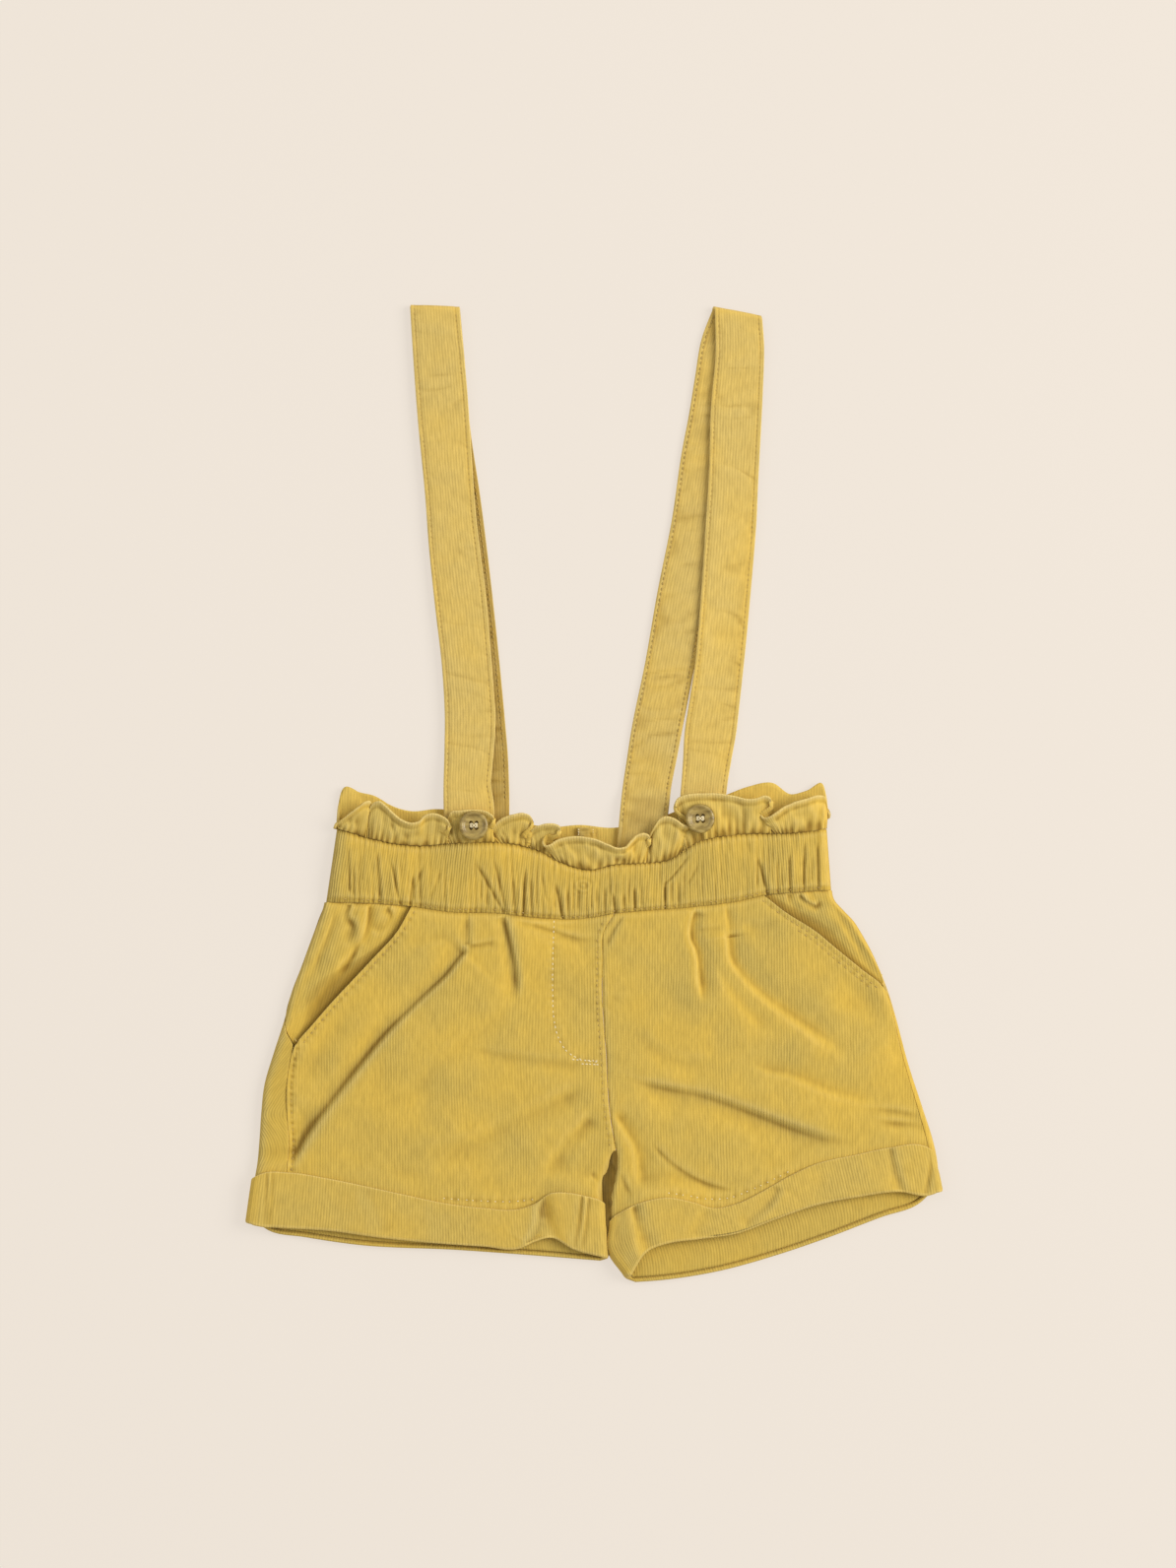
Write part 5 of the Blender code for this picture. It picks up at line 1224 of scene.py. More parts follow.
def stitch_dips(x, y):
    """Troughs under the rows of stitches, pinched at each stitch."""
    relief = np.zeros(np.shape(x))
    for line, depth, width, pitch in DIPS:
        distance, share = from_line(x, y, line)
        length = np.linalg.norm(np.diff(line, axis=0), axis=1).sum()
        fade = smooth(share * length / 2.0) * smooth((1.0 - share) * length / 2.0)
        pinch = 0.7 + 0.3 * np.cos(2.0 * math.pi * share * length / pitch)
        relief -= fade * depth * pinch * np.exp(-((distance / width) ** 2))
        pucker = np.cos(2.0 * math.pi * share * length / (1.6 * pitch) + 1.0)
        relief += fade * 0.10 * pucker * np.exp(-((distance / (2.6 * width)) ** 2))
    return relief


def seam_relief(x, y):
    """The raised edge left of the centre seam, and the dips at the panel's other seams."""
    distance, _ = from_line(x, y, CENTRE_SEAM)
    body = smooth((y + 158.0) / 6.0)
    left = np.where(distance < 0, 1.0, 0.0)
    raised = 0.32 * np.exp(-(((distance + 1.3) / 1.5) ** 2)) * left
    edge = -0.6 * np.exp(-((distance / 0.7) ** 2)) * (1.0 - 0.55 * left)
    edge = edge * (0.75 + 0.35 * noise(y / 3.4, 0.0 * y, 45))
    waist = y_at(BAND_BOTTOM, x) - y
    return body * (raised + edge) - 0.7 * np.exp(-((waist / 1.3) ** 2))


def front_surface(x, y):
    return front_height(x, y) + (stitch_dips(x, y) + seam_relief(x, y)) * body_share(x, y)


def body_share(x, y):
    """1 over the flat of the front, 0 at the folded outline."""
    outer, inner = inset_of(x, y)
    return smooth(outer / 3.0) * (1.0 - leg_share(y) * (1.0 - smooth(inner / 3.0)))


def front_plan(side, columns, rows):
    pocket = POCKET[side]
    seam = SIDE_SEAM[side]
    inner_line = inner_line_of(side, 0.1)
    seam_y = np.arange(pocket[-1][1] - 4.0, seam[-1][1], -6.0)
    outer_line = pocket + [(float(x_at(seam, y)), y) for y in seam_y]
    low, high = sorted((outer_line[0][0], inner_line[0][0]))
    top = cut_at(moved(BAND_BOTTOM, dy=-0.1), low, high)
    left, right = (outer_line, inner_line) if side == "left" else (inner_line, outer_line)
    bottom = hem_line(side, "", seam[-1][0])
    left = [top[0], *left[1:-1], bottom[0]]
    right = [top[-1], *right[1:-1], bottom[-1]]
    close = (0.0015, 0.004, 0.008, 0.013)
    across = spaced(columns, close, close)
    return patch(top, bottom, left, right, across, np.linspace(0.0, 1.0, rows))


def grain_of(plan, lean=0.0):
    """Straight grain: u across and v along the wales, wandering a little with the cloth."""
    x, y = plan[..., 0], plan[..., 1]
    u = x - lean * y + 1.4 * noise(x / 40.0, y / 55.0, 5)
    return np.dstack([u, y])


def gap_shade(x, y, reach):
    """Painted shade: 1 at the edge of a leg beside the gap between the legs, fading over its reach.
    """
    _, inner = inset_of(x, y)
    return leg_share(y) * np.clip(1.0 - inner / reach, 0.0, 1.0)


# How much longer the casing's cloth is than the casing: assumed, since no gathering can be read.
CASING_TAKE_UP = 1.12


def build_fronts():
    for side, inner in (("left", -1), ("right", 0)):
        plan = front_plan(side, *FRONT_GRID)
        height = front_surface(plan[..., 0], plan[..., 1])
        grid = np.dstack([plan, height])
        rows, columns = height.shape
        outer = "l" if side == "left" else "r"
        wear = edge_wear(rows, columns, outer, 2, 0.35) * smooth((plan[..., 1] + 116.0) / 8.0)
        shade = gap_shade(plan[..., 0], plan[..., 1], 2.4)
        piece = cloth_shell(
            f"front_{side}_cloth", grid, CLOTH, grain_of(plan), CORD,
            level=[(inner, leg_share(grid[:, inner, 1]))], wear=wear, painted_shade=0.8 * shade,
        )
        laid(piece, f"front_{side}")
    for name, line, finish, settings in (
        ("stitches_centre", CENTRE_STITCH, THREAD, {}),
        ("stitches_pocket_left", POCKET_STITCH_LEFT, THREAD, {}),
        ("stitches_pocket_right", POCKET_STITCH_RIGHT, THREAD, {}),
        ("stitches_pocket_right_second", POCKET_STITCH_SECOND, THREAD, {"pitch": 3.0}),
        ("stitches_side_left", SIDE_STITCH_LEFT, THREAD, {}),
        ("stitches_fly", FLY_STITCH, THREAD_PALE, {"pitch": 2.3, "length": 1.5}),
        ("stitches_hem_left", HEM_STITCH_LEFT, THREAD_PALE, {"pitch": 3.2, "length": 0.9}),
        ("stitches_hem_right", HEM_STITCH_RIGHT, THREAD_PALE, {"pitch": 3.2, "length": 0.9}),
        ("stitches_tack_upper", TACK_ROWS[0], THREAD_PALE, {"pitch": 1.5, "length": 1.4}),
        ("stitches_tack_lower", TACK_ROWS[1], THREAD_PALE, {"pitch": 1.5, "length": 1.4}),
    ):
        stitched(name, along(line, np.linspace(0, 1, 120)), front_surface, finish, **settings)


def hip_surface(x, y):
    """Upper face of a hip piece, with its own creases."""
    clear = smooth((-pocket_distance(x, y) - 1.0) / 7.0)
    outer, _ = inset_of(x, y)
    relief = crease_relief(x, y, HIP_CREASES) + 0.5 * crumple(x, y, 31)
    waist = y_at(BAND_BOTTOM, x) - y
    relief -= 0.6 * np.exp(-((waist / 1.3) ** 2))
    return facing_height(x, y) + relief * clear * smooth(outer / 4.0)


def build_hips():
    """The hip pieces that show behind the slanted pocket edges."""
    left_outline = [
        (-115.4, -47.6), (-117.0, -50.5), (-121.0, -61), (-126.5, -76), (-130.5, -86.5),
        (-132.9, -96.5), (-132.3, -103), (-129.6, -108.4),
    ]
    left_under = [
        (-70.5, -50.8), (-77.0, -64), (-90.0, -78), (-97.5, -86), (-106.0, -95), (-115.0, -105.5),
        (-121.0, -112),
    ]
    right_outline = [
        (102.8, -42.4), (103.9, -46), (107.6, -50.5), (112.3, -55.5), (115.9, -61), (123.4, -76),
        (125.2, -81.4),
    ]
    right_under = [
        (66.0, -46.8), (77.0, -57.4), (91.0, -66.6), (100.0, -74), (111.0, -83), (118.0, -89.5),
    ]
    waist = moved(BAND_BOTTOM, dy=-0.2)
    across = spaced(HIP_GRID[0], close_first=(0.004, 0.010, 0.018, 0.03))
    down = np.linspace(0.0, 1.0, HIP_GRID[1])
    top = cut_at(waist, left_outline[0][0], left_under[0][0])
    left_outline[0], left_under[0] = top[0], top[-1]
    bottom = [left_outline[-1], (-126.4, -110.8), left_under[-1]]
    plan = patch(top, bottom, left_outline, left_under, across, down)
    hip_piece("left", plan, 0, 0.30)
    top = cut_at(waist, right_under[0][0], right_outline[0][0])
    right_outline[0], right_under[0] = top[-1], top[0]
    bottom = [right_under[-1], (122.2, -86.6), right_outline[-1]]
    plan = patch(top, bottom, right_under, right_outline, 1.0 - across[::-1], down)
    hip_piece("right", plan, -1, -0.25)


def hip_piece(side, plan, outer_column, lean):
    grid = np.dstack([plan, hip_surface(plan[..., 0], plan[..., 1])])
    edge, _ = inset_of(grid[:, outer_column, 0], grid[:, outer_column, 1])
    turned = 1.0 - smooth(edge / 0.8)
    # Painted shade on the hip piece beside the pocket's edge, reaching furthest in around one
    # height.
    centre, spread, broad = (-84.0, 12.0, 9.5) if side == "left" else (-57.0, 12.0, 3.4)
    reach = 1.8 + broad * np.exp(-(((plan[..., 1] - centre) / spread) ** 2))
    pocket_shade = np.clip(1.0 + pocket_distance(plan[..., 0], plan[..., 1]) / reach, 0.0, 1.0)
    piece = cloth_shell(
        f"hip_{side}_cloth", grid, CLOTH, grain_of(plan, lean), CORD,
        level=[(outer_column, turned)], painted_shade=pocket_shade**0.6,
    )
    laid(piece, f"hip_facing_{side}")


def under_relief(x, y):
    """Troughs up into the underside, and the seat seam."""
    relief = np.zeros(np.shape(x))
    for number, (depth, width, line) in enumerate(UNDER_CREASES):
        distance, share = from_line(x, y, line)
        fade = smooth(share / 0.2) * smooth((1.0 - share) / 0.25)
        uneven = 0.8 + 0.3 * noise(share * 5.0, distance * 0.0 + number, 41)
        relief += 0.5 * fade * depth * uneven * np.exp(-((distance / width) ** 2))
    distance, _ = from_line(x, y, CENTRE_SEAM)
    relief += 0.5 * np.exp(-((distance / 0.9) ** 2)) * smooth((y + 152.0) / 6.0)
    relief += np.clip(0.8 * crumple(x, y, 51), 0.0, 1.0)
    outer, inner = inset_of(x, y)
    near = smooth(outer / 10.0) * (1.0 - leg_share(y) * (1.0 - smooth(inner / 8.0)))
    return relief * near * (1.0 - under_cuff(x, y, "back_top"))


def back_grid(side, columns, rows):
    """One back: flat on the surface, round the outer fold and up to the side seam."""
    sign = SIGN[side]
    outline = OUTLINE[side]
    seam = SIDE_SEAM[side]
    inner_line = inner_line_of(side, 0.2)
    turn = EDGE_HEIGHT / 2.0
    outer_line = [(x - sign * turn, y) for x, y in outline]
    ends = sorted((inner_line[0][0], outer_line[0][0]))
    top = cut_at(moved(BAND_BOTTOM, dy=-0.3), *ends)
    bottom = hem_line(side, "back_", outer_line[-1][0])
    end_y = cuff_plan(side, "back_", [0.0], 0.0, CUFF_MARGIN + 0.3)[0, 1]
    bottom[0 if side == "left" else -1] = (outer_line[-1][0], float(end_y))
    left, right = (outer_line, inner_line) if side == "left" else (inner_line, outer_line)
    left = [top[0], *[p for p in left[1:-1] if p[1] > bottom[0][1] + 2.0], bottom[0]]
    right = [top[-1], *[p for p in right[1:-1] if p[1] > bottom[-1][1] + 2.0], bottom[-1]]
    close = (0.003, 0.008, 0.014)
    across = (
        spaced(columns, close_last=close) if side == "left" else spaced(columns, close_first=close)
    )
    plan = patch(top, bottom, left, right, across, np.linspace(0.0, 1.0, rows))
    x, y = plan[..., 0], plan[..., 1]
    low = under_height(x, y)
    _, inner = inset_of(x, y)
    radius = (front_top(x, y) - low) / 2.0
    turned_up = edge_drop(radius, inner)
    height = low + leg_share(y) * (turned_up - SEAM * smooth(1.0 - inner / radius))
    flat = np.dstack([plan, np.maximum(height + under_relief(x, y), 0.0)])
    edge = flat[:, 0] if side == "left" else flat[:, -1]
    x_edge = x_at(outline, edge[:, 1])
    seam_x = x_at(seam, edge[:, 1])
    wrapped = []
    for (x_start, y_row, z_low), x_row, x_seam in zip(edge, x_edge, seam_x):
        radius = abs(x_row - x_start)
        inset = abs(x_seam - x_row) if y_row < seam[0][1] else 0.0
        wrapped.append(fold_row(side, float(x_row), y_row, z_low, radius, float(inset)))
    wrapped = np.array(wrapped)
    place = wrapped[..., :2]
    on_top = smooth((wrapped[..., 2] - 3.0) / 1.2)
    wrapped[..., 2] += on_top * 0.4 * crumple(place[..., 0] * 1.4, place[..., 1], 61)
    if side == "left":
        return np.concatenate([wrapped[:, ::-1], flat[:, 1:]], axis=1)
    return np.concatenate([flat[:, :-1], wrapped], axis=1)


def front_top(x, y):
    """Height of the folded edge's upper face, with no folds in it."""
    cover = under_cuff(x, y, "top")
    return EDGE_HEIGHT * (1.0 - cover) + leg_height(x, y) * cover


def fold_row(side, x_edge, y, low, radius, depth):
    """Points from the flat underside round the outer fold to the side seam, at one y."""
    sign = SIGN[side]
    top = float(front_top(x_edge - sign * radius, y))
    half = (top - low) / 2.0
    reach = math.pi * radius + depth - radius - 0.3
    if depth < radius:
        reach = radius * (math.pi - math.asin(1.0 - depth / radius)) - 0.3
    arc = min(math.pi * radius, 0.7 * reach)
    stops = [arc * step / 12 for step in range(13)]
    stops += [arc + (reach - arc) * step / 12 for step in range(1, 13)]
    row = []
    for length in stops:
        angle = min(length / radius, math.pi)
        inset = radius - radius * math.sin(angle) + max(length - math.pi * radius, 0.0)
        rise = low + half - half * math.cos(angle)
        row.append((x_edge - sign * inset, y, rise))
    return row


def build_backs():
    for side, inner, outer in (("left", 0, -1), ("right", -1, 0)):
        grid = back_grid(side, *BACK_GRID)[:, ::-1]
        edge, _ = inset_of(grid[:, outer, 0], grid[:, outer, 1])
        turned = 1.0 - smooth(edge / 0.8)
        level = [(inner, leg_share(grid[:, inner, 1])), (outer, turned)]
        uv = np.dstack([grid[..., 0], grid[..., 1]])
        gap = np.linalg.norm(np.diff(grid[..., ::2], axis=1), axis=-1)
        uv[:, 1:, 0] = grid[:, :1, 0] + np.cumsum(gap, axis=1)
        shade = gap_shade(grid[..., 0], grid[..., 1], 4.0) * smooth((grid[..., 1] + 199.0) / 6.0)
        piece = cloth_shell(
            f"back_{side}_cloth", grid, CLOTH, uv, CORD_BACK, level=level, painted_shade=shade,
        )
        laid(piece, f"back_{side}")


# Deeper creases of the casing: x and share of its height at the start, the same at the end, depth
# and width.
BAND_CREASES = [
    (-105.9, 0.2, -105.2, 0.85, 0.6, 0.9), (-100.4, 0.2, -100.0, 0.65, 0.5, 0.9),
    (-93.4, 0.15, -92.3, 1.0, 0.9, 0.9), (-87.2, 0.3, -83.5, 1.0, 1.0, 1.0),
    (-78.0, 0.5, -79.2, 1.0, 1.1, 1.0), (-73.2, 0.3, -77.2, 0.7, 0.5, 1.0),
    (-65.2, 0.35, -70.0, 0.8, 0.5, 1.2), (-50.5, 0.3, -38.9, 0.98, 0.9, 1.2),
    (-42.8, 0.25, -38.0, 0.95, 0.9, 1.1), (-34.7, 0.45, -33.8, 1.0, 0.8, 0.9),
    (-29.4, 0.3, -30.4, 1.0, 1.0, 0.9), (-22.4, 0.3, -20.4, 0.7, 0.5, 0.9),
    (-16.2, 0.4, -13.2, 1.0, 1.1, 1.0), (-6.0, 0.35, -7.0, 0.8, 0.5, 1.1),
    (2.0, 0.2, 1.0, 0.7, 0.4, 1.2), (8.2, 0.55, 9.4, 1.02, 1.2, 0.9),
    (13.2, 0.6, 13.6, 1.0, 0.7, 0.9), (17.4, 0.5, 18.0, 0.95, 0.7, 1.0),
    (30.6, 0.45, 31.0, 1.0, 1.1, 0.9), (30.8, 0.48, 41.4, 0.12, 0.8, 1.4),
    (41.0, 0.6, 45.0, 0.35, 0.6, 1.2), (71.0, 0.4, 75.2, 1.02, 1.2, 1.0),
    (84.4, 0.35, 84.6, 1.0, 1.1, 0.9), (91.0, 0.15, 90.6, 0.9, 0.7, 0.8),
    (96.6, 0.2, 97.2, 0.95, 0.7, 0.8), (66.0, 0.05, 67.5, 0.3, 0.4, 1.0),
    (58.0, 0.04, 58.4, 0.25, 0.4, 1.0), (-58.0, 0.5, -60.5, 0.9, 0.25, 1.6),
]


def ripple_table():
    """Small gathers of the casing: x, lean, start, end, depth and width, uneven along it."""
    made, x, turn = [], BAND_TOP[0][0] + 3.5, 0
    while x < BAND_TOP[-1][0] - 2.5:
        calm = 0.35 if -72 < x < -52 or 46 < x < 69 else 1.0
        dense = 0.72 if x > 72 or x < -88 else 1.0
        wave = math.sin(7.31 * turn) * 0.5 + 0.5
        other = math.sin(4.17 * turn + 1.3) * 0.5 + 0.5
        made.append((
            x, 1.4 * (other - 0.5), 0.06 + 0.34 * wave, 0.82 + 0.2 * other,
            calm * (0.22 + 0.34 * wave), 0.42 + 0.35 * other,
        ))
        x += dense * (1.9 + 1.5 * other)
        turn += 1
    return made


BAND_RIPPLES = ripple_table()


def band_relief(x, t):
    """Gathers and puff of the elastic casing, at a share of its height down from the frill."""
    relief = 0.75 * np.sin(math.pi * np.clip(t, 0.0, 1.0)) ** 0.8
    for x_start, start, x_end, end, depth, width in BAND_CREASES:
        low, high = min(start, end), max(start, end)
        along_it = (t - start) / (end - start)
        middle = x_start + (x_end - x_start) * np.clip(along_it, 0.0, 1.0)
        fade = smooth((t - low) / 0.18 + 0.2) * smooth((high - t) / 0.12 + 0.5)
        relief -= fade * 0.72 * depth * np.exp(-(((x - middle) / (0.7 * width)) ** 2))
        relief += fade * 0.25 * depth * np.exp(-(((x - middle - 2.1 * width) / (1.5 * width)) ** 2))
    for place, lean, start, end, depth, width in BAND_RIPPLES:
        fade = smooth((t - start) / 0.25) * smooth((end - t) / 0.12 + 0.4)
        relief -= fade * depth * np.exp(-(((x - place - lean * t) / width) ** 2))
    uneven = 1.5 * noise(x / 9.0, 2.0 * t, 73)
    pinch = np.cos(2.0 * math.pi * x / 2.1 + 2.0 * np.sin(x / 7.0) + uneven)
    relief += pinch * (0.07 + 0.04 * smooth((t - 0.84) / 0.12) + 0.07 * smooth((0.14 - t) / 0.10))
    relief += 0.16 * noise(x / 1.6, 1.6 * t, 75) + 0.20 * noise(x / 3.3, 2.2 * t + x / 30.0, 76)
    relief -= 0.55 * np.exp(-(((t - 0.955) / 0.030) ** 2))
    relief -= 0.9 * np.exp(-((t / 0.05) ** 2)) + 0.7 * np.exp(-(((t - 1.0) / 0.035) ** 2))
    away = np.hypot(x + 4.5, 26.0 * (t - 0.33))
    relief += 0.22 * np.cos(2.3 * away) * np.exp(-((away / 4.2) ** 2))
    return relief + 0.10 * noise(x / 5.0, 6.0 * t, 71)


def band_plan(across, down, top, bottom):
    upper, lower = along(top, across), along(bottom, across)
    t = down[:, None, None]
    return (1 - t) * upper + t * lower


def end_arc(grid, middle, radius, sign, steps):
    """Columns that turn a band's end down to half its height."""
    columns = []
    for step in range(1, steps + 1):
        angle = 0.5 * math.pi * step / steps
        column = grid.copy()
        column[:, 0] = grid[:, 0] + sign * radius * math.sin(angle)
        column[:, 2] = middle + (grid[:, 2] - middle) * math.cos(angle)
        columns.append(column)
    return columns


def build_band():
    radius = BAND_HEIGHT / 2.0
    x_low, x_high = BAND_TOP[0][0], BAND_TOP[-1][0]
    edge = radius / (x_high - x_low)
    for face, top in (("front", BAND_TOP), ("back", BACK_BAND_TOP)):
        across = np.linspace(edge, 1.0 - edge, BAND_COLUMNS[face])
        down = np.linspace(0.0, 1.0, BAND_ROWS)
        plan = band_plan(across, down, top, BAND_BOTTOM)
        x, t = plan[..., 0], np.broadcast_to(down[:, None], plan.shape[:2])
        if face == "front":
            body = np.dstack([plan, band_height(x, plan[..., 1]) + band_relief(x, t)])
        else:
            ripple = np.sin(x / 0.82 + 2.0 * np.sin(x / 9.0)) * np.sin(x / 2.3 + 1.0)
            hollow = 0.55 * np.clip(ripple, 0.0, 1.0) * np.sin(math.pi * t)
            hollow += 0.35 * np.exp(-(((t - 0.95) / 0.03) ** 2))
            body = np.dstack([plan, hollow])
        grids = []
        for thick in (0.0, BAND_WALL if face == "front" else -BAND_WALL):
            shifted = body.copy()
            shifted[..., 2] -= thick
            if thick and face == "front":
                shifted[..., 2] = blurred(shifted[..., 2], 3)
            turn = radius - abs(thick)
            first = np.stack(end_arc(shifted[:, 0], radius, turn, -1.0, 8)[::-1], axis=1)
            last = np.stack(end_arc(shifted[:, -1], radius, turn, 1.0, 8), axis=1)
            made = np.concatenate([first, shifted, last], axis=1)
            grids.append(made if face == "front" else made[:, ::-1])
        u = run_of(grids[0][20][:, ::2]) * CASING_TAKE_UP
        uv = np.dstack([np.broadcast_to(u, grids[0].shape[:2]), grids[0][..., 1]])
        piece = cloth_shell(
            f"waistband_{face}_cloth", grids[0], BAND_WALL, uv, CORD_BAND, inner=grids[1],
            reach=4, nap_and_light=5,
        )
        laid(piece, f"waistband_{face}")
    x = np.linspace(-108.5, 98.5, 260)
    t = np.full(x.shape, 0.955)
    plan = read_rows(x, t)
    path = np.column_stack([plan, band_height(plan[:, 0], plan[:, 1]) + band_relief(x, t)])
    up = np.tile([0.0, 0.0, 1.0], (len(path), 1))
    stitches("stitches_casing", path, up, THREAD, pitch=2.6, length=1.6)


def read_rows(x, t):
    """Plan points of the casing at these x and shares down its height."""
    top, bottom = y_at(BAND_TOP, x), y_at(BAND_BOTTOM, x)
    return np.column_stack([x, top + (bottom - top) * t])


def frill_grid(count, rows):
    """The front frill from its foot on the waistband to its waved free edge."""
    table = np.array(FRONT_FRILL, float)
    curve = dense_curve(np.column_stack([table[:, 1:], table[:, 0]]), 24)
    read = read_along(curve, np.linspace(0.0, 1.0, count))
    edge, foot_x = read[:, :3], read[:, 3]
    foot_y = y_at(BAND_TOP, foot_x) + 0.15
    foot_z = 2.0 * band_end(foot_x) - 1.0
    middle = BAND_HEIGHT / 2.0
    full = band_height(foot_x, foot_y - SEAM) - middle
    foot = np.column_stack([foot_x, foot_y, middle + full * foot_z - 0.4])
    run = run_of(edge)
    reach = np.linalg.norm(edge - foot, axis=1)
    grid = []
    for place in np.linspace(0.0, 1.0, rows):
        share = 1.0 - (1.0 - place) ** 1.35
        rise = math.sin(0.5 * math.pi * share)
        row = foot + (edge - foot) * share
        rise = 0.45 * rise + 0.55 * share**1.6
        row[:, 2] = foot[:, 2] + (edge[:, 2] - foot[:, 2]) * rise
        gather = math.exp(-((share / 0.42) ** 2))
        pleat = np.sin(run / 0.62 + 2.2 * np.sin(run / 6.0)) + 0.6 * np.sin(run / 1.7)
        row[:, 2] += gather * 0.30 * pleat
        loose = math.sin(math.pi * share)
        row[:, 2] += 0.9 * loose * noise(run / 5.5, share * 2.3 + run / 19.0, 81)
        row[:, 2] += 0.5 * loose * noise(run / 2.4, share * 3.0 + run / 9.0, 82)
        back = (1.0 - share) * reach
        lip, dip = np.exp(-((back / 1.2) ** 2)), np.exp(-(((back - 2.6) / 0.8) ** 2))
        row[:, 2] += 0.8 * lip - 0.35 * dip
        grid.append(row)
    return np.array(grid)[::-1], run


def build_frills():
    front, run = frill_grid(*FRILL_GRID)
    rows, columns = front.shape[:2]
    down = np.linspace(1.0, 0.0, rows)[:, None] * 16.0
    uv = np.dstack([np.broadcast_to(run, (rows, columns)), np.broadcast_to(down, (rows, columns))])
    # Painted shade: the low stretches of the free edge, and an uneven line along the foot above the
    # casing.
    low = np.clip((8.3 - front[0, :, 2]) / 1.7, 0.0, 1.0) * smooth((run - 7.0) / 4.0)
    low = low * smooth((run[-1] - run - 7.0) / 4.0)
    near = np.exp(-((np.arange(rows) / 11.0) ** 2))[:, None]
    foot = np.exp(-(((rows - 1 - np.arange(rows)) / 3.2) ** 2))[:, None]
    foot = foot * np.clip(0.35 + 0.9 * noise(run / 3.7, 0.0 * run, 83), 0.0, 0.9)
    piece = cloth_shell(
        "frill_front_cloth", front, FRILL_FRONT_WALL, uv, CORD_FRILL, level=[(0, 1.0), (-1, 1.0)],
        wear=edge_wear(rows, columns, "t", 5, 0.95) * (1.0 - low), reach=5, nap_and_light=6,
        painted_shade=np.maximum(near * low, foot),
    )
    laid(piece, "frill_front")
    share = np.linspace(0.0, 1.0, BACK_FRILL_GRID[0])
    edge = along(BACK_FRILL, share)
    foot = along(BACK_BAND_TOP, share) + np.array([0.0, 0.2])
    middle = BAND_HEIGHT / 2.0
    foot_z = middle * (1.0 - (2.0 * band_end(foot[:, 0]) - 1.0))
    foot = np.column_stack([foot, np.maximum(foot_z - 0.3, 0.0)])
    made = []
    for step in np.linspace(0.0, 1.0, BACK_FRILL_GRID[1]):
        row = foot + (edge - foot) * step
        row[:, 2] = np.maximum(foot[:, 2] + (edge[:, 2] - foot[:, 2]) * step**2, 0.0)
        ripple = np.sin(row[:, 0] / 1.1 + 2.0 * np.sin(row[:, 0] / 8.0))
        row[:, 2] += 0.45 * np.clip(ripple, 0.0, 1.0) * math.exp(-((step / 0.5) ** 2))
        made.append(row)
    grid = np.array(made)[::-1, ::-1]
    uv = np.dstack([grid[..., 0], grid[..., 1]])
    piece = cloth_shell(
        "frill_back_cloth", grid, FRILL_WALL, uv, CORD_FRILL, level=[(0, 1.0), (-1, 1.0)], reach=4,
    )
    laid(piece, "frill_back")
    return front


STRAP_COLUMNS = (
    -1.0, -0.975, -0.94, -0.9, -0.865, -0.83, -0.79, -0.7, -0.5, -0.25, 0.0, 0.25, 0.5, 0.7, 0.79,
    0.83, 0.865, 0.9, 0.94, 0.975, 1.0,
)
STRAP_FOLD_STEPS = 12
STRAP_HALF_WIDTH = 10.6
# Where the topstitching runs, as a share of the half width.
STRAP_STITCH_AT = 0.845
# Crosswise puckers: their depth on the front strip, their spacing, their depth on the back one.
STRAP_PUCKERS = {"left": (0.30, 6.0, 0.7), "right": (0.34, 5.6, 0.5)}


def strap_centre(table, steps=270):
    """Rows of a strap's two edges: up the front strip, over the fold, down the back strip."""
    rows = []
    for strip in ("front", "back"):
        curve = dense_curve(table[strip], 8)
        curve[:, 4:] = np.maximum(curve[:, 4:], 0.0)
        rows.append(read_along(curve, np.linspace(0.0, 1.0, steps)))
    front, back = rows
    fold = []
    for step in range(1, STRAP_FOLD_STEPS):
        angle = math.pi * step / STRAP_FOLD_STEPS
        share = 0.5 - 0.5 * math.cos(angle)
        row = front[-1] * (1 - share) + back[0] * share
        row[[0, 2]] += 0.5 * front[-1][[4, 5]] * math.sin(angle)
        row[[4, 5]] = 0.5 * front[-1][[4, 5]] * (1.0 + math.cos(angle))
        fold.append(row)
    read = np.vstack([front, fold, back])
    return read[:, [1, 0, 4]], read[:, [3, 2, 5]]


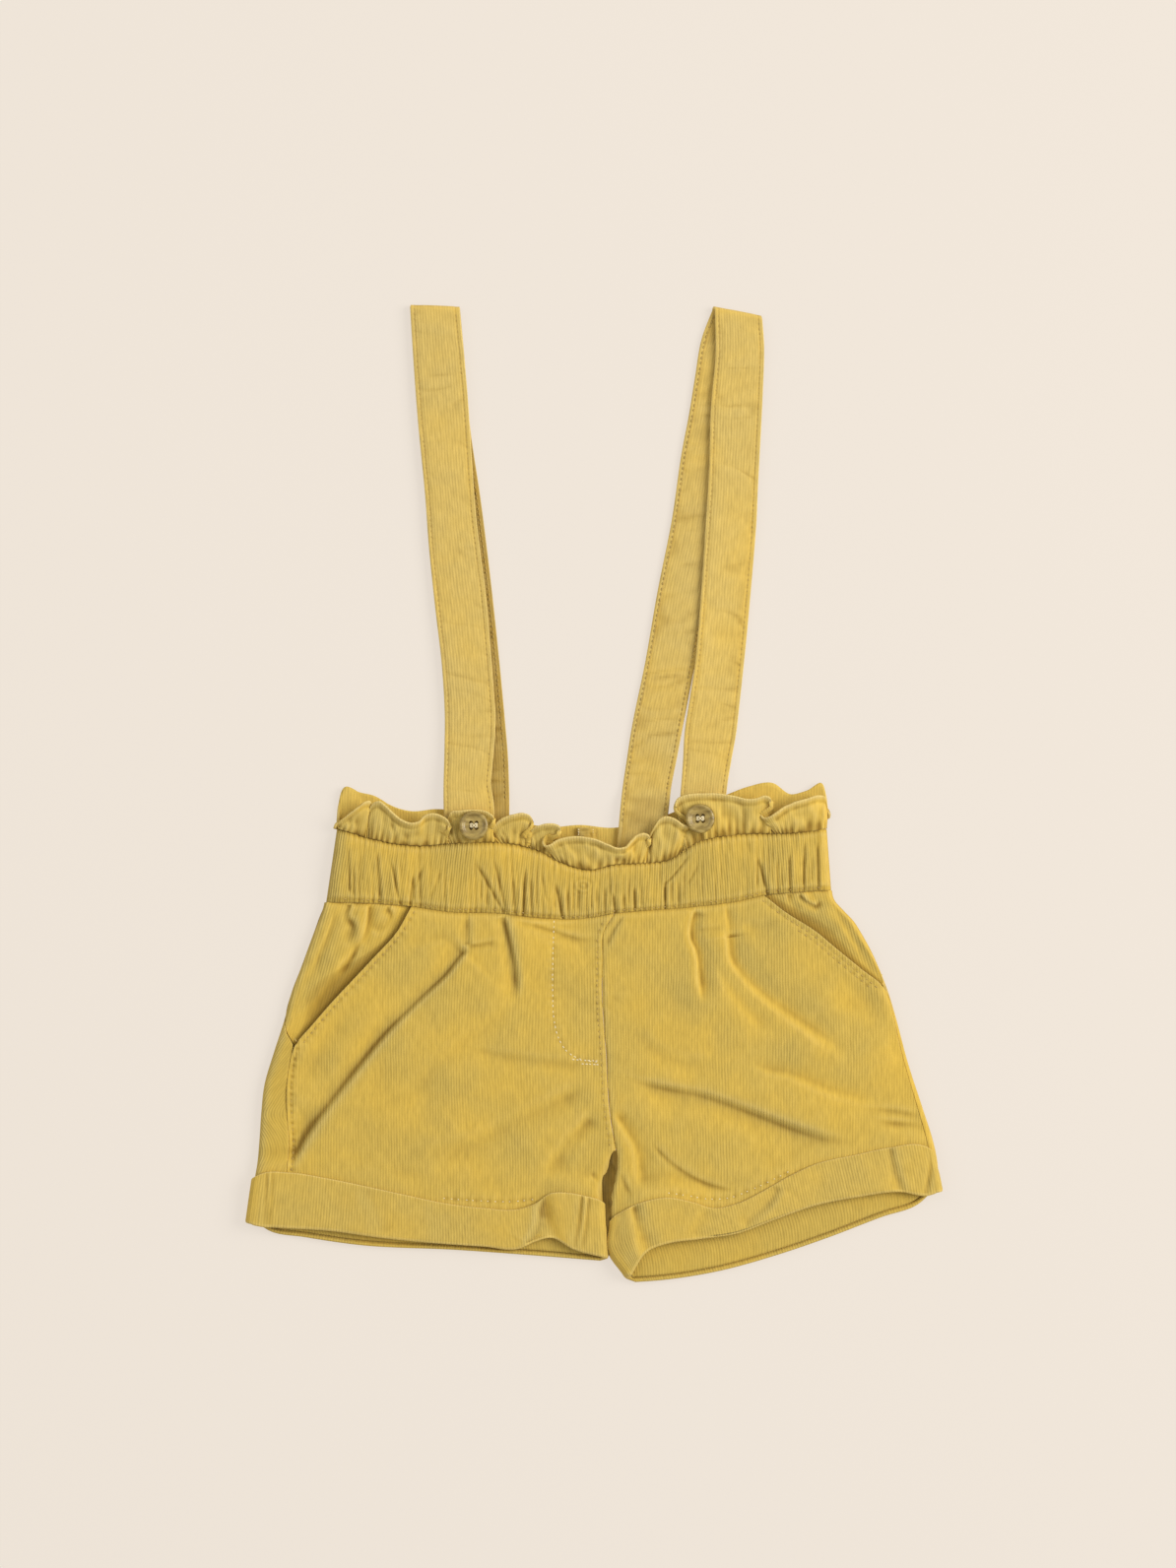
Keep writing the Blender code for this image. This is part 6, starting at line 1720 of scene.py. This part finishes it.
def build_straps():
    across = np.array(STRAP_COLUMNS)
    for side, table in (("left", STRAP_LEFT), ("right", STRAP_RIGHT)):
        left, right = strap_centre(table)
        share = (across[None, :, None] + 1.0) / 2.0
        grid = left[:, None] * (1 - share) + right[:, None] * share
        run = run_of((left + right) / 2.0)
        half = len(run) // 2
        normal = normals_of(grid[::-1])[::-1]
        front_amount, pitch, back_amount = STRAP_PUCKERS[side]
        amount = np.where(np.arange(len(run)) > half, back_amount, front_amount)[:, None]
        line = run[:, None] + 0.0 * across[None, :]
        wave = noise((line + 1.2 * across) / pitch, 0.6 * across + 3.0 + 0.0 * line, 91)
        strength = 0.6 + 0.8 * noise(line / 9.0, across + 0.0 * line, 94)
        pucker = np.exp(-((wave / 0.16) ** 2)) * strength
        slant = noise((line - 2.0 * across) / 3.1, 1.4 * across + 0.0 * line, 92)
        away = np.abs(across)
        inside = np.clip(1.0 - (away / 0.93) ** 6, 0.0, 1.0)[None, :]
        relief = amount * (0.55 * wave - 0.9 * np.clip(pucker, 0.0, 1.0) + 0.22 * slant) * inside
        relief = relief + 0.18 * (1.0 - away[None, :] ** 3) - 0.18
        relief = relief - 0.18 * np.exp(-(((away[None, :] - STRAP_STITCH_AT) / 0.045) ** 2))
        pinch = np.cos(2.0 * math.pi * run / 2.4)[:, None]
        near = np.exp(-(((away[None, :] - STRAP_STITCH_AT) / 0.07) ** 2))
        relief = relief - 0.06 * pinch * near
        under = np.arange(len(run)) > half
        upper = np.where(under[:, None], relief, 0.0)
        inner = grid - normal * (STRAP_WALL + 0.6 * np.clip(upper, -1.0, 0.6))[..., None]
        grid = grid + normal * np.where(under[:, None], 0.0, relief)[..., None]
        shade_marks, crest = shade_and_wear_of(upper, 4)
        lit = lit_of(np.dstack([grid[..., :2], upper])[:, ::-1], 1)[:, ::-1]
        uv = np.dstack([
            np.broadcast_to(across * STRAP_HALF_WIDTH, (len(run), len(across))),
            np.broadcast_to(run[:, None], (len(run), len(across))),
        ])
        rows, columns = grid.shape[:2]
        # Painted shade along the stitch grooves.
        stitch_shade = np.exp(-(((away - STRAP_STITCH_AT) / 0.03) ** 2))[None, :] * 0.14
        stitch_shade = np.broadcast_to(stitch_shade, (rows, columns))
        # Painted shade along crosswise pucker lines.
        pucker_shade = noise((line + 1.6 * across) / 5.4, 0.7 * across + 0.0 * line, 191)
        pucker_shade = np.exp(-((pucker_shade / 0.26) ** 2)) * inside * np.clip(
            0.55 + 1.1 * noise(line / 7.0, 1.2 * across + 0.0 * line, 193), 0.0, 1.0
        )
        # Painted shade on the strap's under face, seen on the back strip: creases, puckers, stitch
        # grooves, and 0.55 all over the left strap's under face.
        shade_marks = 0.45 * shade_marks + 0.42 * pucker_shade + stitch_shade + (0.55 if side == "left" else 0.04)
        piece = cloth_shell(
            f"strap_{side}_cloth", grid[::-1], STRAP_WALL, uv[::-1], CORD_STRAP,
            wear=edge_wear(rows, columns, "lr", 1, 0.5), reach=3, painted_shade=stitch_shade[::-1],
            inner=inner[::-1], lining=(shade_marks[::-1], crest[::-1], lit[::-1]),
        )
        laid(piece, f"strap_{side}")
        for edge, column in (("inner", 4), ("outer", 16)):
            for strip, rows_now in (("front", slice(8, half - 2)), ("back", slice(half + 8, -14))):
                path = grid[rows_now, column]
                up = normal[rows_now, column]
                if strip == "back":
                    path, up = path - up * (STRAP_WALL + 0.1), -up
                stitches(f"stitches_strap_{side}_{strip}_{edge}", path, up, THREAD, pitch=2.3,
                         length=1.5, radius=0.23)


def cuff_front_relief(side, x, y, share):
    """Creases and seams of the turned-up hems, above their plain height."""
    creases = CUFF_CREASES[side]
    inside = smooth(share / 0.08) * smooth((1.05 - share) / 0.1)
    relief = crease_relief(x, y, creases) + 0.8 * crumple(x, y, 21)
    return relief * inside


# Creases of the turned-up hems, as for the front.
CUFF_CREASES = {
    "left": [
        (-1, 2.2, 1.7, 4.0, 0.5, 4.0, 0.5, 0.05, [
            (-19.0, -170), (-20.4, -175), (-22.0, -180), (-22.4, -185), (-24.0, -190),
            (-27.5, -196),
        ]),
        (1, 0.7, 0.6, 0.7, 0.25, 0.9, 0.02, 0.02, [(-140.6, -163), (-141.0, -174), (-142.2, -189)]),
        (-1, 0.7, 0.5, 0.7, 0.25, 0.9, 0.02, 0.02, [
            (-138.4, -163), (-138.9, -174), (-140.0, -189),
        ]),
        (1, 0.7, 0.7, 0.8, 0.3, 0.9, 0.02, 0.02, [(-4.6, -172), (-6.0, -186), (-8.4, -199)]),
        (-1, 0.7, 0.6, 0.8, 0.3, 0.9, 0.02, 0.02, [(-1.6, -172), (-3.2, -186), (-5.8, -200)]),
        (-1, 4.0, 0.35, 5.0, 0.2, 6.0, 0.2, 0.2, [(-100, -169), (-92, -180), (-88, -192)]),
    ],
    "right": [
        (-1, 1.6, 0.9, 2.4, 0.3, 3.0, 0.02, 0.02, [(17.0, -176), (19.8, -187), (24.0, -198.5)]),
        (1, 0.7, 0.6, 0.8, 0.25, 0.9, 0.02, 0.02, [(146.2, -151), (145.4, -162), (143.2, -174)]),
        (1, 1.0, 0.5, 1.6, 0.35, 4.0, 0.05, 0.05, [(128.0, -152), (129.6, -161), (133.0, -173)]),
        (1, 2.0, 0.7, 3.4, 0.4, 4.0, 0.1, 0.2, [
            (80.5, -169), (76.0, -176), (68.5, -183), (63, -187),
        ]),
        (-1, 3.0, 0.3, 4.0, 0.2, 4.0, 0.2, 0.2, [(50, -179), (46, -186), (44, -192)]),
    ],
}


def cuff_ring(side, share, up, inward, full):
    """One ring round a cuff at this share and distance up its depth, moved in by a distance."""
    outer_radius, inner_radius = CUFF_END_RADIUS[side]
    sign = SIGN[side]
    ends = cuff_plan(side, "", [0.0, 1.0], share, up)
    span = abs(ends[1, 0] - ends[0, 0])
    start, stop = outer_radius / span, 1.0 - inner_radius / span
    front = cuff_plan(side, "", np.linspace(start, stop, CUFF_FRONT_POINTS), share, up)
    back = cuff_plan(side, "back_", np.linspace(stop, start, CUFF_BACK_POINTS), share, up)
    rise = cuff_height(front[:, 0], front[:, 1])
    place = share + up / CUFF_DEPTH
    relief = cuff_front_relief(side, front[:, 0], front[:, 1], place) * full
    hollow = np.clip(1.2 * crumple(back[:, 0], back[:, 1], 23), 0.0, 0.8) * full
    ring = [(x, y, z - inward) for (x, y), z in zip(front, rise + relief)]
    ring += turn_points(front[-1], back[0], rise[-1] + relief[-1], inward, -sign)
    ring += [(x, y, inward + z) for (x, y), z in zip(back, hollow)]
    ring += turn_points(front[0], back[-1], rise[0] + relief[0], inward, sign)[::-1]
    return ring


def turn_points(front, back, height, inward, sign, steps=15):
    """The rounded end of a cuff, from its front down to its back."""
    half = height / 2.0
    points = []
    for step in range(1, steps):
        angle = math.pi * step / steps
        share = step / steps
        x = (1 - share) * front[0] + share * back[0] + sign * (half - inward) * math.sin(angle)
        y = (1 - share) * front[1] + share * back[1]
        points.append((x, y, half + (half - inward) * math.cos(angle)))
    return points


def build_cuffs():
    lip = 2.0 * CLOTH + 0.7
    profile = [(1.0, 0.0, 0.95, 1.0), (1.0, 0.0, 0.55, 1.0), (1.0, -0.15, 0.2, 1.0)]
    profile += [(share, 0.0, 0.0, 1.0) for share in np.linspace(0.975, 0.07, CUFF_ROWS)]
    profile += [
        (0.0, 1.0, 0.05, 1.0), (0.0, 0.5, 0.2, 0.8), (0.0, 0.15, 0.5, 0.6), (0.0, 0.0, 1.0, 0.4),
        (0.0, 0.1, lip - 0.6, 0.2), (0.0, 0.6, lip, 0.0), (0.0, CUFF_LIP, lip, 0.0),
        (0.0, CUFF_LIP + 0.4, CLOTH, 0.0), (0.5, 0.0, CLOTH, 0.6), (0.97, 0.0, CLOTH, 1.0),
    ]
    for side in ("left", "right"):
        rings = np.array([cuff_ring(side, *place) for place in profile])
        count, length = rings.shape[:2]
        run = run_of(rings[CUFF_MIDDLE_ROW])
        fall = np.cumsum([0.0] + [CUFF_DEPTH / CUFF_ROWS] * (count - 1))
        index = np.arange(count * length).reshape(count, length)
        near, far = index, np.roll(index, -1, axis=0)
        quads = np.stack(
            [near, far, np.roll(far, -1, axis=1), np.roll(near, -1, axis=1)], axis=-1
        ).reshape(-1, 4)
        u = np.broadcast_to(run, (count, length))
        v = np.broadcast_to(fall[:, None], (count, length))
        ahead = np.roll(u, -1, axis=1).copy()
        ahead[:, -1] = run[-1] + 0.8
        next_v = np.roll(v, -1, axis=0).copy()
        next_v[-1] = fall[-1] + 0.8
        corner_uv = np.stack([
            np.stack([u, v], -1), np.stack([u, next_v], -1),
            np.stack([ahead, next_v], -1), np.stack([ahead, v], -1),
        ], axis=2).reshape(-1, 2)
        if side == "right":
            quads, corner_uv = quads[:, ::-1], corner_uv.reshape(-1, 4, 2)[:, ::-1].reshape(-1, 2)
        rows = slice(CUFF_FIRST_ROW, CUFF_FIRST_ROW + CUFF_ROWS)
        shade_marks, crest = shade_and_wear_of(rings[rows, :CUFF_FRONT_POINTS, 2], 5)
        painted_shade, wear = np.zeros((count, length)), np.zeros((count, length))
        painted_shade[rows, :CUFF_FRONT_POINTS], wear[rows, :CUFF_FRONT_POINTS] = shade_marks, crest
        wear[:rows.start] = 0.65
        wear[rows.stop:rows.stop + 4] = 0.3
        lit = np.full((count, length), 0.55)
        inside = slice(1, CUFF_FRONT_POINTS - 1)
        lit[rows, inside] = lit_of(rings[rows, inside][::-1], 2)[::-1]
        piece = shell_object(
            f"cuff_{side}_cloth", rings.reshape(-1, 3), quads, corner_uv, CORD_CUFF,
            wear.ravel(), painted_shade.ravel(), lit.ravel(),
        )
        laid(piece, f"cuff_{side}")


def build_buttons(frill):
    """Four-hole buttons with their thread, each just clear of the frill under it."""
    thickness = BUTTON_THICKNESS
    profile = [
        (0.0, 0.0), (2.5, 0.0), (4.9, 0.0), (5.7, 0.2), (6.15, 0.6), (BUTTON_RADIUS, 1.2),
        (6.3, 1.7), (6.05, 2.2), (5.6, thickness - 0.05), (5.1, thickness), (4.7, 2.4),
        (4.35, 2.0), (3.6, thickness - 0.8), (0.0, thickness - 0.85),
    ]
    sides = 56
    for name, (x, y) in BUTTONS.items():
        near = np.hypot(frill[..., 0] - x, frill[..., 1] - y) < BUTTON_RADIUS - 1.2
        base = float(frill[..., 2][near].max()) + 0.15
        points = [(0.0, 0.0, profile[0][1]), (0.0, 0.0, profile[-1][1])]
        for radius, z in profile[1:-1]:
            for side in range(sides):
                angle = 2.0 * math.pi * (side + 0.5) / sides
                points.append((radius * math.cos(angle), radius * math.sin(angle), z))
        faces = []
        for side in range(sides):
            ahead = (side + 1) % sides
            faces.append((0, 2 + ahead, 2 + side))
            for ring in range(len(profile) - 3):
                low, high = 2 + ring * sides, 2 + (ring + 1) * sides
                faces.append((low + side, low + ahead, high + ahead, high + side))
            last = 2 + (len(profile) - 3) * sides
            faces.append((1, last + side, last + ahead))
        mesh = bpy.data.meshes.new(f"button_{name}_blank")
        mesh.from_pydata([(a * MM, b * MM, c * MM) for a, b, c in points], [], faces)
        blank = placed(f"button_{name}_blank", mesh)
        cutters = []
        holes = []
        for hole in range(4):
            angle = math.pi * (0.25 + 0.5 * hole)
            place = (BUTTON_HOLE_RING * math.cos(angle), BUTTON_HOLE_RING * math.sin(angle))
            holes.append(place)
            bpy.ops.mesh.primitive_cylinder_add(
                vertices=20, radius=BUTTON_HOLE * MM, depth=4 * thickness * MM,
                location=(place[0] * MM, place[1] * MM, thickness / 2 * MM),
            )
            cutters.append(bpy.context.object)
            cut = blank.modifiers.new(f"hole_{hole + 1}", "BOOLEAN")
            cut.operation = "DIFFERENCE"
            cut.object = cutters[-1]
        graph = bpy.context.evaluated_depsgraph_get()
        made = bpy.data.meshes.new_from_object(blank.evaluated_get(graph))
        for helper in (*cutters, blank):
            bpy.data.objects.remove(helper, do_unlink=True)
        tilt = BUTTON_TILT[name]
        turn = np.array([[1, 0, 0], [0, 1, 0], [-tilt[0], -tilt[1], 1]])
        flat = np.array([v.co for v in made.vertices]) @ turn.T
        flat += np.array([x, y, base]) * MM
        made.vertices.foreach_set("co", flat.ravel())
        made.materials.clear()
        made.materials.append(HORN)
        made.polygons.foreach_set("use_smooth", np.ones(len(made.polygons), bool))
        made.set_sharp_from_angle(angle=math.radians(38))
        made.update()
        button = placed(f"button_{name}_horn", made)
        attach(button, "root")
        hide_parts(f"button_{name}")
        seat = base + thickness - 0.8
        strands = []
        for one, two, shift, lift in (
            (0, 3, -0.22, 0.0), (0, 3, 0.22, 0.05), (1, 2, -0.22, 0.0), (1, 2, 0.22, 0.05),
            (0, 2, 0.0, 0.35), (1, 3, 0.0, 0.45),
        ):
            strands.append((holes[one], holes[two], shift, lift))
        thread_strands(f"button_{name}_thread", (x, y, seat), strands)


BUTTON_TILT = {"left": (0.03, 0.05), "right": (0.05, 0.04)}


def thread_strands(name, place, strands, radius=0.24, sides=8, steps=11):
    """Short bowed strands that go down into the button's holes."""
    points, faces, uvs = [], [], []
    for one, two, shift, lift in strands:
        one, two = np.array([*one, 0.0]), np.array([*two, 0.0])
        along_it = (two - one) / np.linalg.norm(two - one)
        across = np.array([-along_it[1], along_it[0], 0.0])
        base = len(points)
        for step in range(steps):
            share = step / (steps - 1)
            bow = math.sin(math.pi * share)
            drop = -1.4 * (1.0 - smooth(bow * 1.6)) + 0.32 * bow + lift * bow
            centre = one + (two - one) * share + across * shift * bow
            centre = centre + np.array([0, 0, float(drop)]) + np.array(place)
            size = radius * (1.0 + 0.15 * math.sin(9.0 * share))
            for side in range(sides):
                angle = 2.0 * math.pi * side / sides
                points.append(centre + size * (math.cos(angle) * across
                                               + math.sin(angle) * np.array([0, 0, 1.0])))
                uvs.append((share * 4.0, side))
        faces += tube_faces(base, steps, sides)
    made = shell_object(name, points, faces, uvs, THREAD_PALE)
    trimming(made)


# Studio.

def build_stage():
    mesh = bpy.data.meshes.new("floor")
    size, level = 4.0, -0.0004
    corners = [(x * size, y * size, level) for x, y in ((-1, -1), (1, -1), (1, 1), (-1, 1))]
    mesh.from_pydata(corners, [], [(0, 1, 2, 3)])
    mesh.materials.append(paper("floor_paper"))
    placed("floor", mesh)
    world = bpy.data.worlds.new("studio")
    world.use_nodes = True
    backdrop = world.node_tree.nodes["Background"]
    backdrop.inputs["Color"].default_value = (1.0, 0.99, 0.97, 1.0)
    backdrop.inputs["Strength"].default_value = 0.53
    bpy.context.scene.world = world
    for name, place, size, power in (
        ("key", (2.0, 0.45, 1.65), 1.5, 63.0), ("fill", (-1.1, 0.5, 1.3), 1.4, 6.6),
    ):
        light = bpy.data.lights.new(name, "AREA")
        light.shape = "SQUARE"
        light.size = size
        light.energy = power
        light.color = (1.0, 0.985, 0.955)
        lamp = placed(name, light)
        lamp.location = place
        direction = np.array([0.0, -0.03, 0.0]) - np.array(place)
        direction /= np.linalg.norm(direction)
        lamp.rotation_mode = "XYZ"
        lamp.rotation_euler = (
            math.acos(-direction[2]), 0.0, math.atan2(-direction[0], direction[1]),
        )
    bpy.context.scene.view_settings.view_transform = "Standard"
    bpy.context.scene.view_settings.look = "None"


def build_camera():
    """Straight above, so that the frame holds the same stretch of the surface."""
    camera = bpy.data.cameras.new("camera")
    camera.sensor_width = 36.0
    tall = FRAME_HEIGHT * MM_PER_PIXEL * MM
    distance = 2.2
    camera.lens = camera.sensor_width * distance / tall
    holder = placed("camera", camera)
    centre_x = (FRAME_WIDTH / 2 - ORIGIN_PIXEL[0]) * MM_PER_PIXEL * MM
    centre_y = (ORIGIN_PIXEL[1] - FRAME_HEIGHT / 2) * MM_PER_PIXEL * MM
    holder.location = (centre_x, centre_y, distance + 5.0 * MM)
    holder.rotation_euler = (0.0, 0.0, 0.0)
    bpy.context.scene.camera = holder


def build_gap():
    """Inner layers in painted shade that close the gap between the legs, and the centre-back seam.
    """
    left = along(moved(INSEAM_LEFT, dx=-1.6), np.linspace(0.0, 1.0, 70))
    right = along(moved(INSEAM_RIGHT[:-2], dx=1.6), np.linspace(0.0, 1.0, 70))
    across = np.linspace(0.0, 1.0, 15)
    grid = left[:, None] * (1 - across[None, :, None]) + right[:, None] * across[None, :, None]
    x, y = grid[..., 0], grid[..., 1]
    height = 3.2 + 0.7 * np.sin(math.pi * across)[None, :] + 0.6 * noise(x / 2.0, y / 3.0, 97)
    height = height * smooth((y + 203.0) / 5.0) + 1.0
    grid = np.dstack([grid, height])
    # A dark cloth in painted shade fills the gap between the legs.
    made = cloth_shell(
        "gap_painted_shade_cloth", grid, ALLOWANCE_WALL, np.dstack([x, y]), CORD_SHADE,
        painted_shade=np.ones(x.shape), reach=3,
    )
    trimming(made)
    x, y = np.meshgrid(np.linspace(-7.2, 1.4, 22), np.linspace(-15.2, -21.0, 16))
    crown = 0.9 * np.sin(math.pi * (x + 7.2) / 8.6) ** 0.5
    height = 3.4 + crown + 0.35 * noise(x / 1.1, y / 2.0, 98)
    # Painted shade at 0.35 all over the seat seam allowance.
    made = cloth_shell(
        "seat_seam_allowance", np.dstack([x, y, height]), ALLOWANCE_WALL,
        np.dstack([y, x]), CORD_INSIDE, reach=3, painted_shade=0.35 + 0.0 * x,
    )
    trimming(made)
    for place in (-6.4, -0.2):
        path = np.array([(place, y, 4.0) for y in np.linspace(-15.4, -20.6, 30)])
        stitches(f"overlock_{'left' if place < -3 else 'right'}", path,
                 np.tile([0.0, 0.0, 1.0], (30, 1)), THREAD_PALE, pitch=0.9, length=0.7)


build_gap()
build_backs()
build_hips()
build_fronts()
build_cuffs()
build_band()
FRILL = build_frills()
build_straps()
build_buttons(FRILL)
build_stage()
build_camera()

bpy.context.view_layer.update()
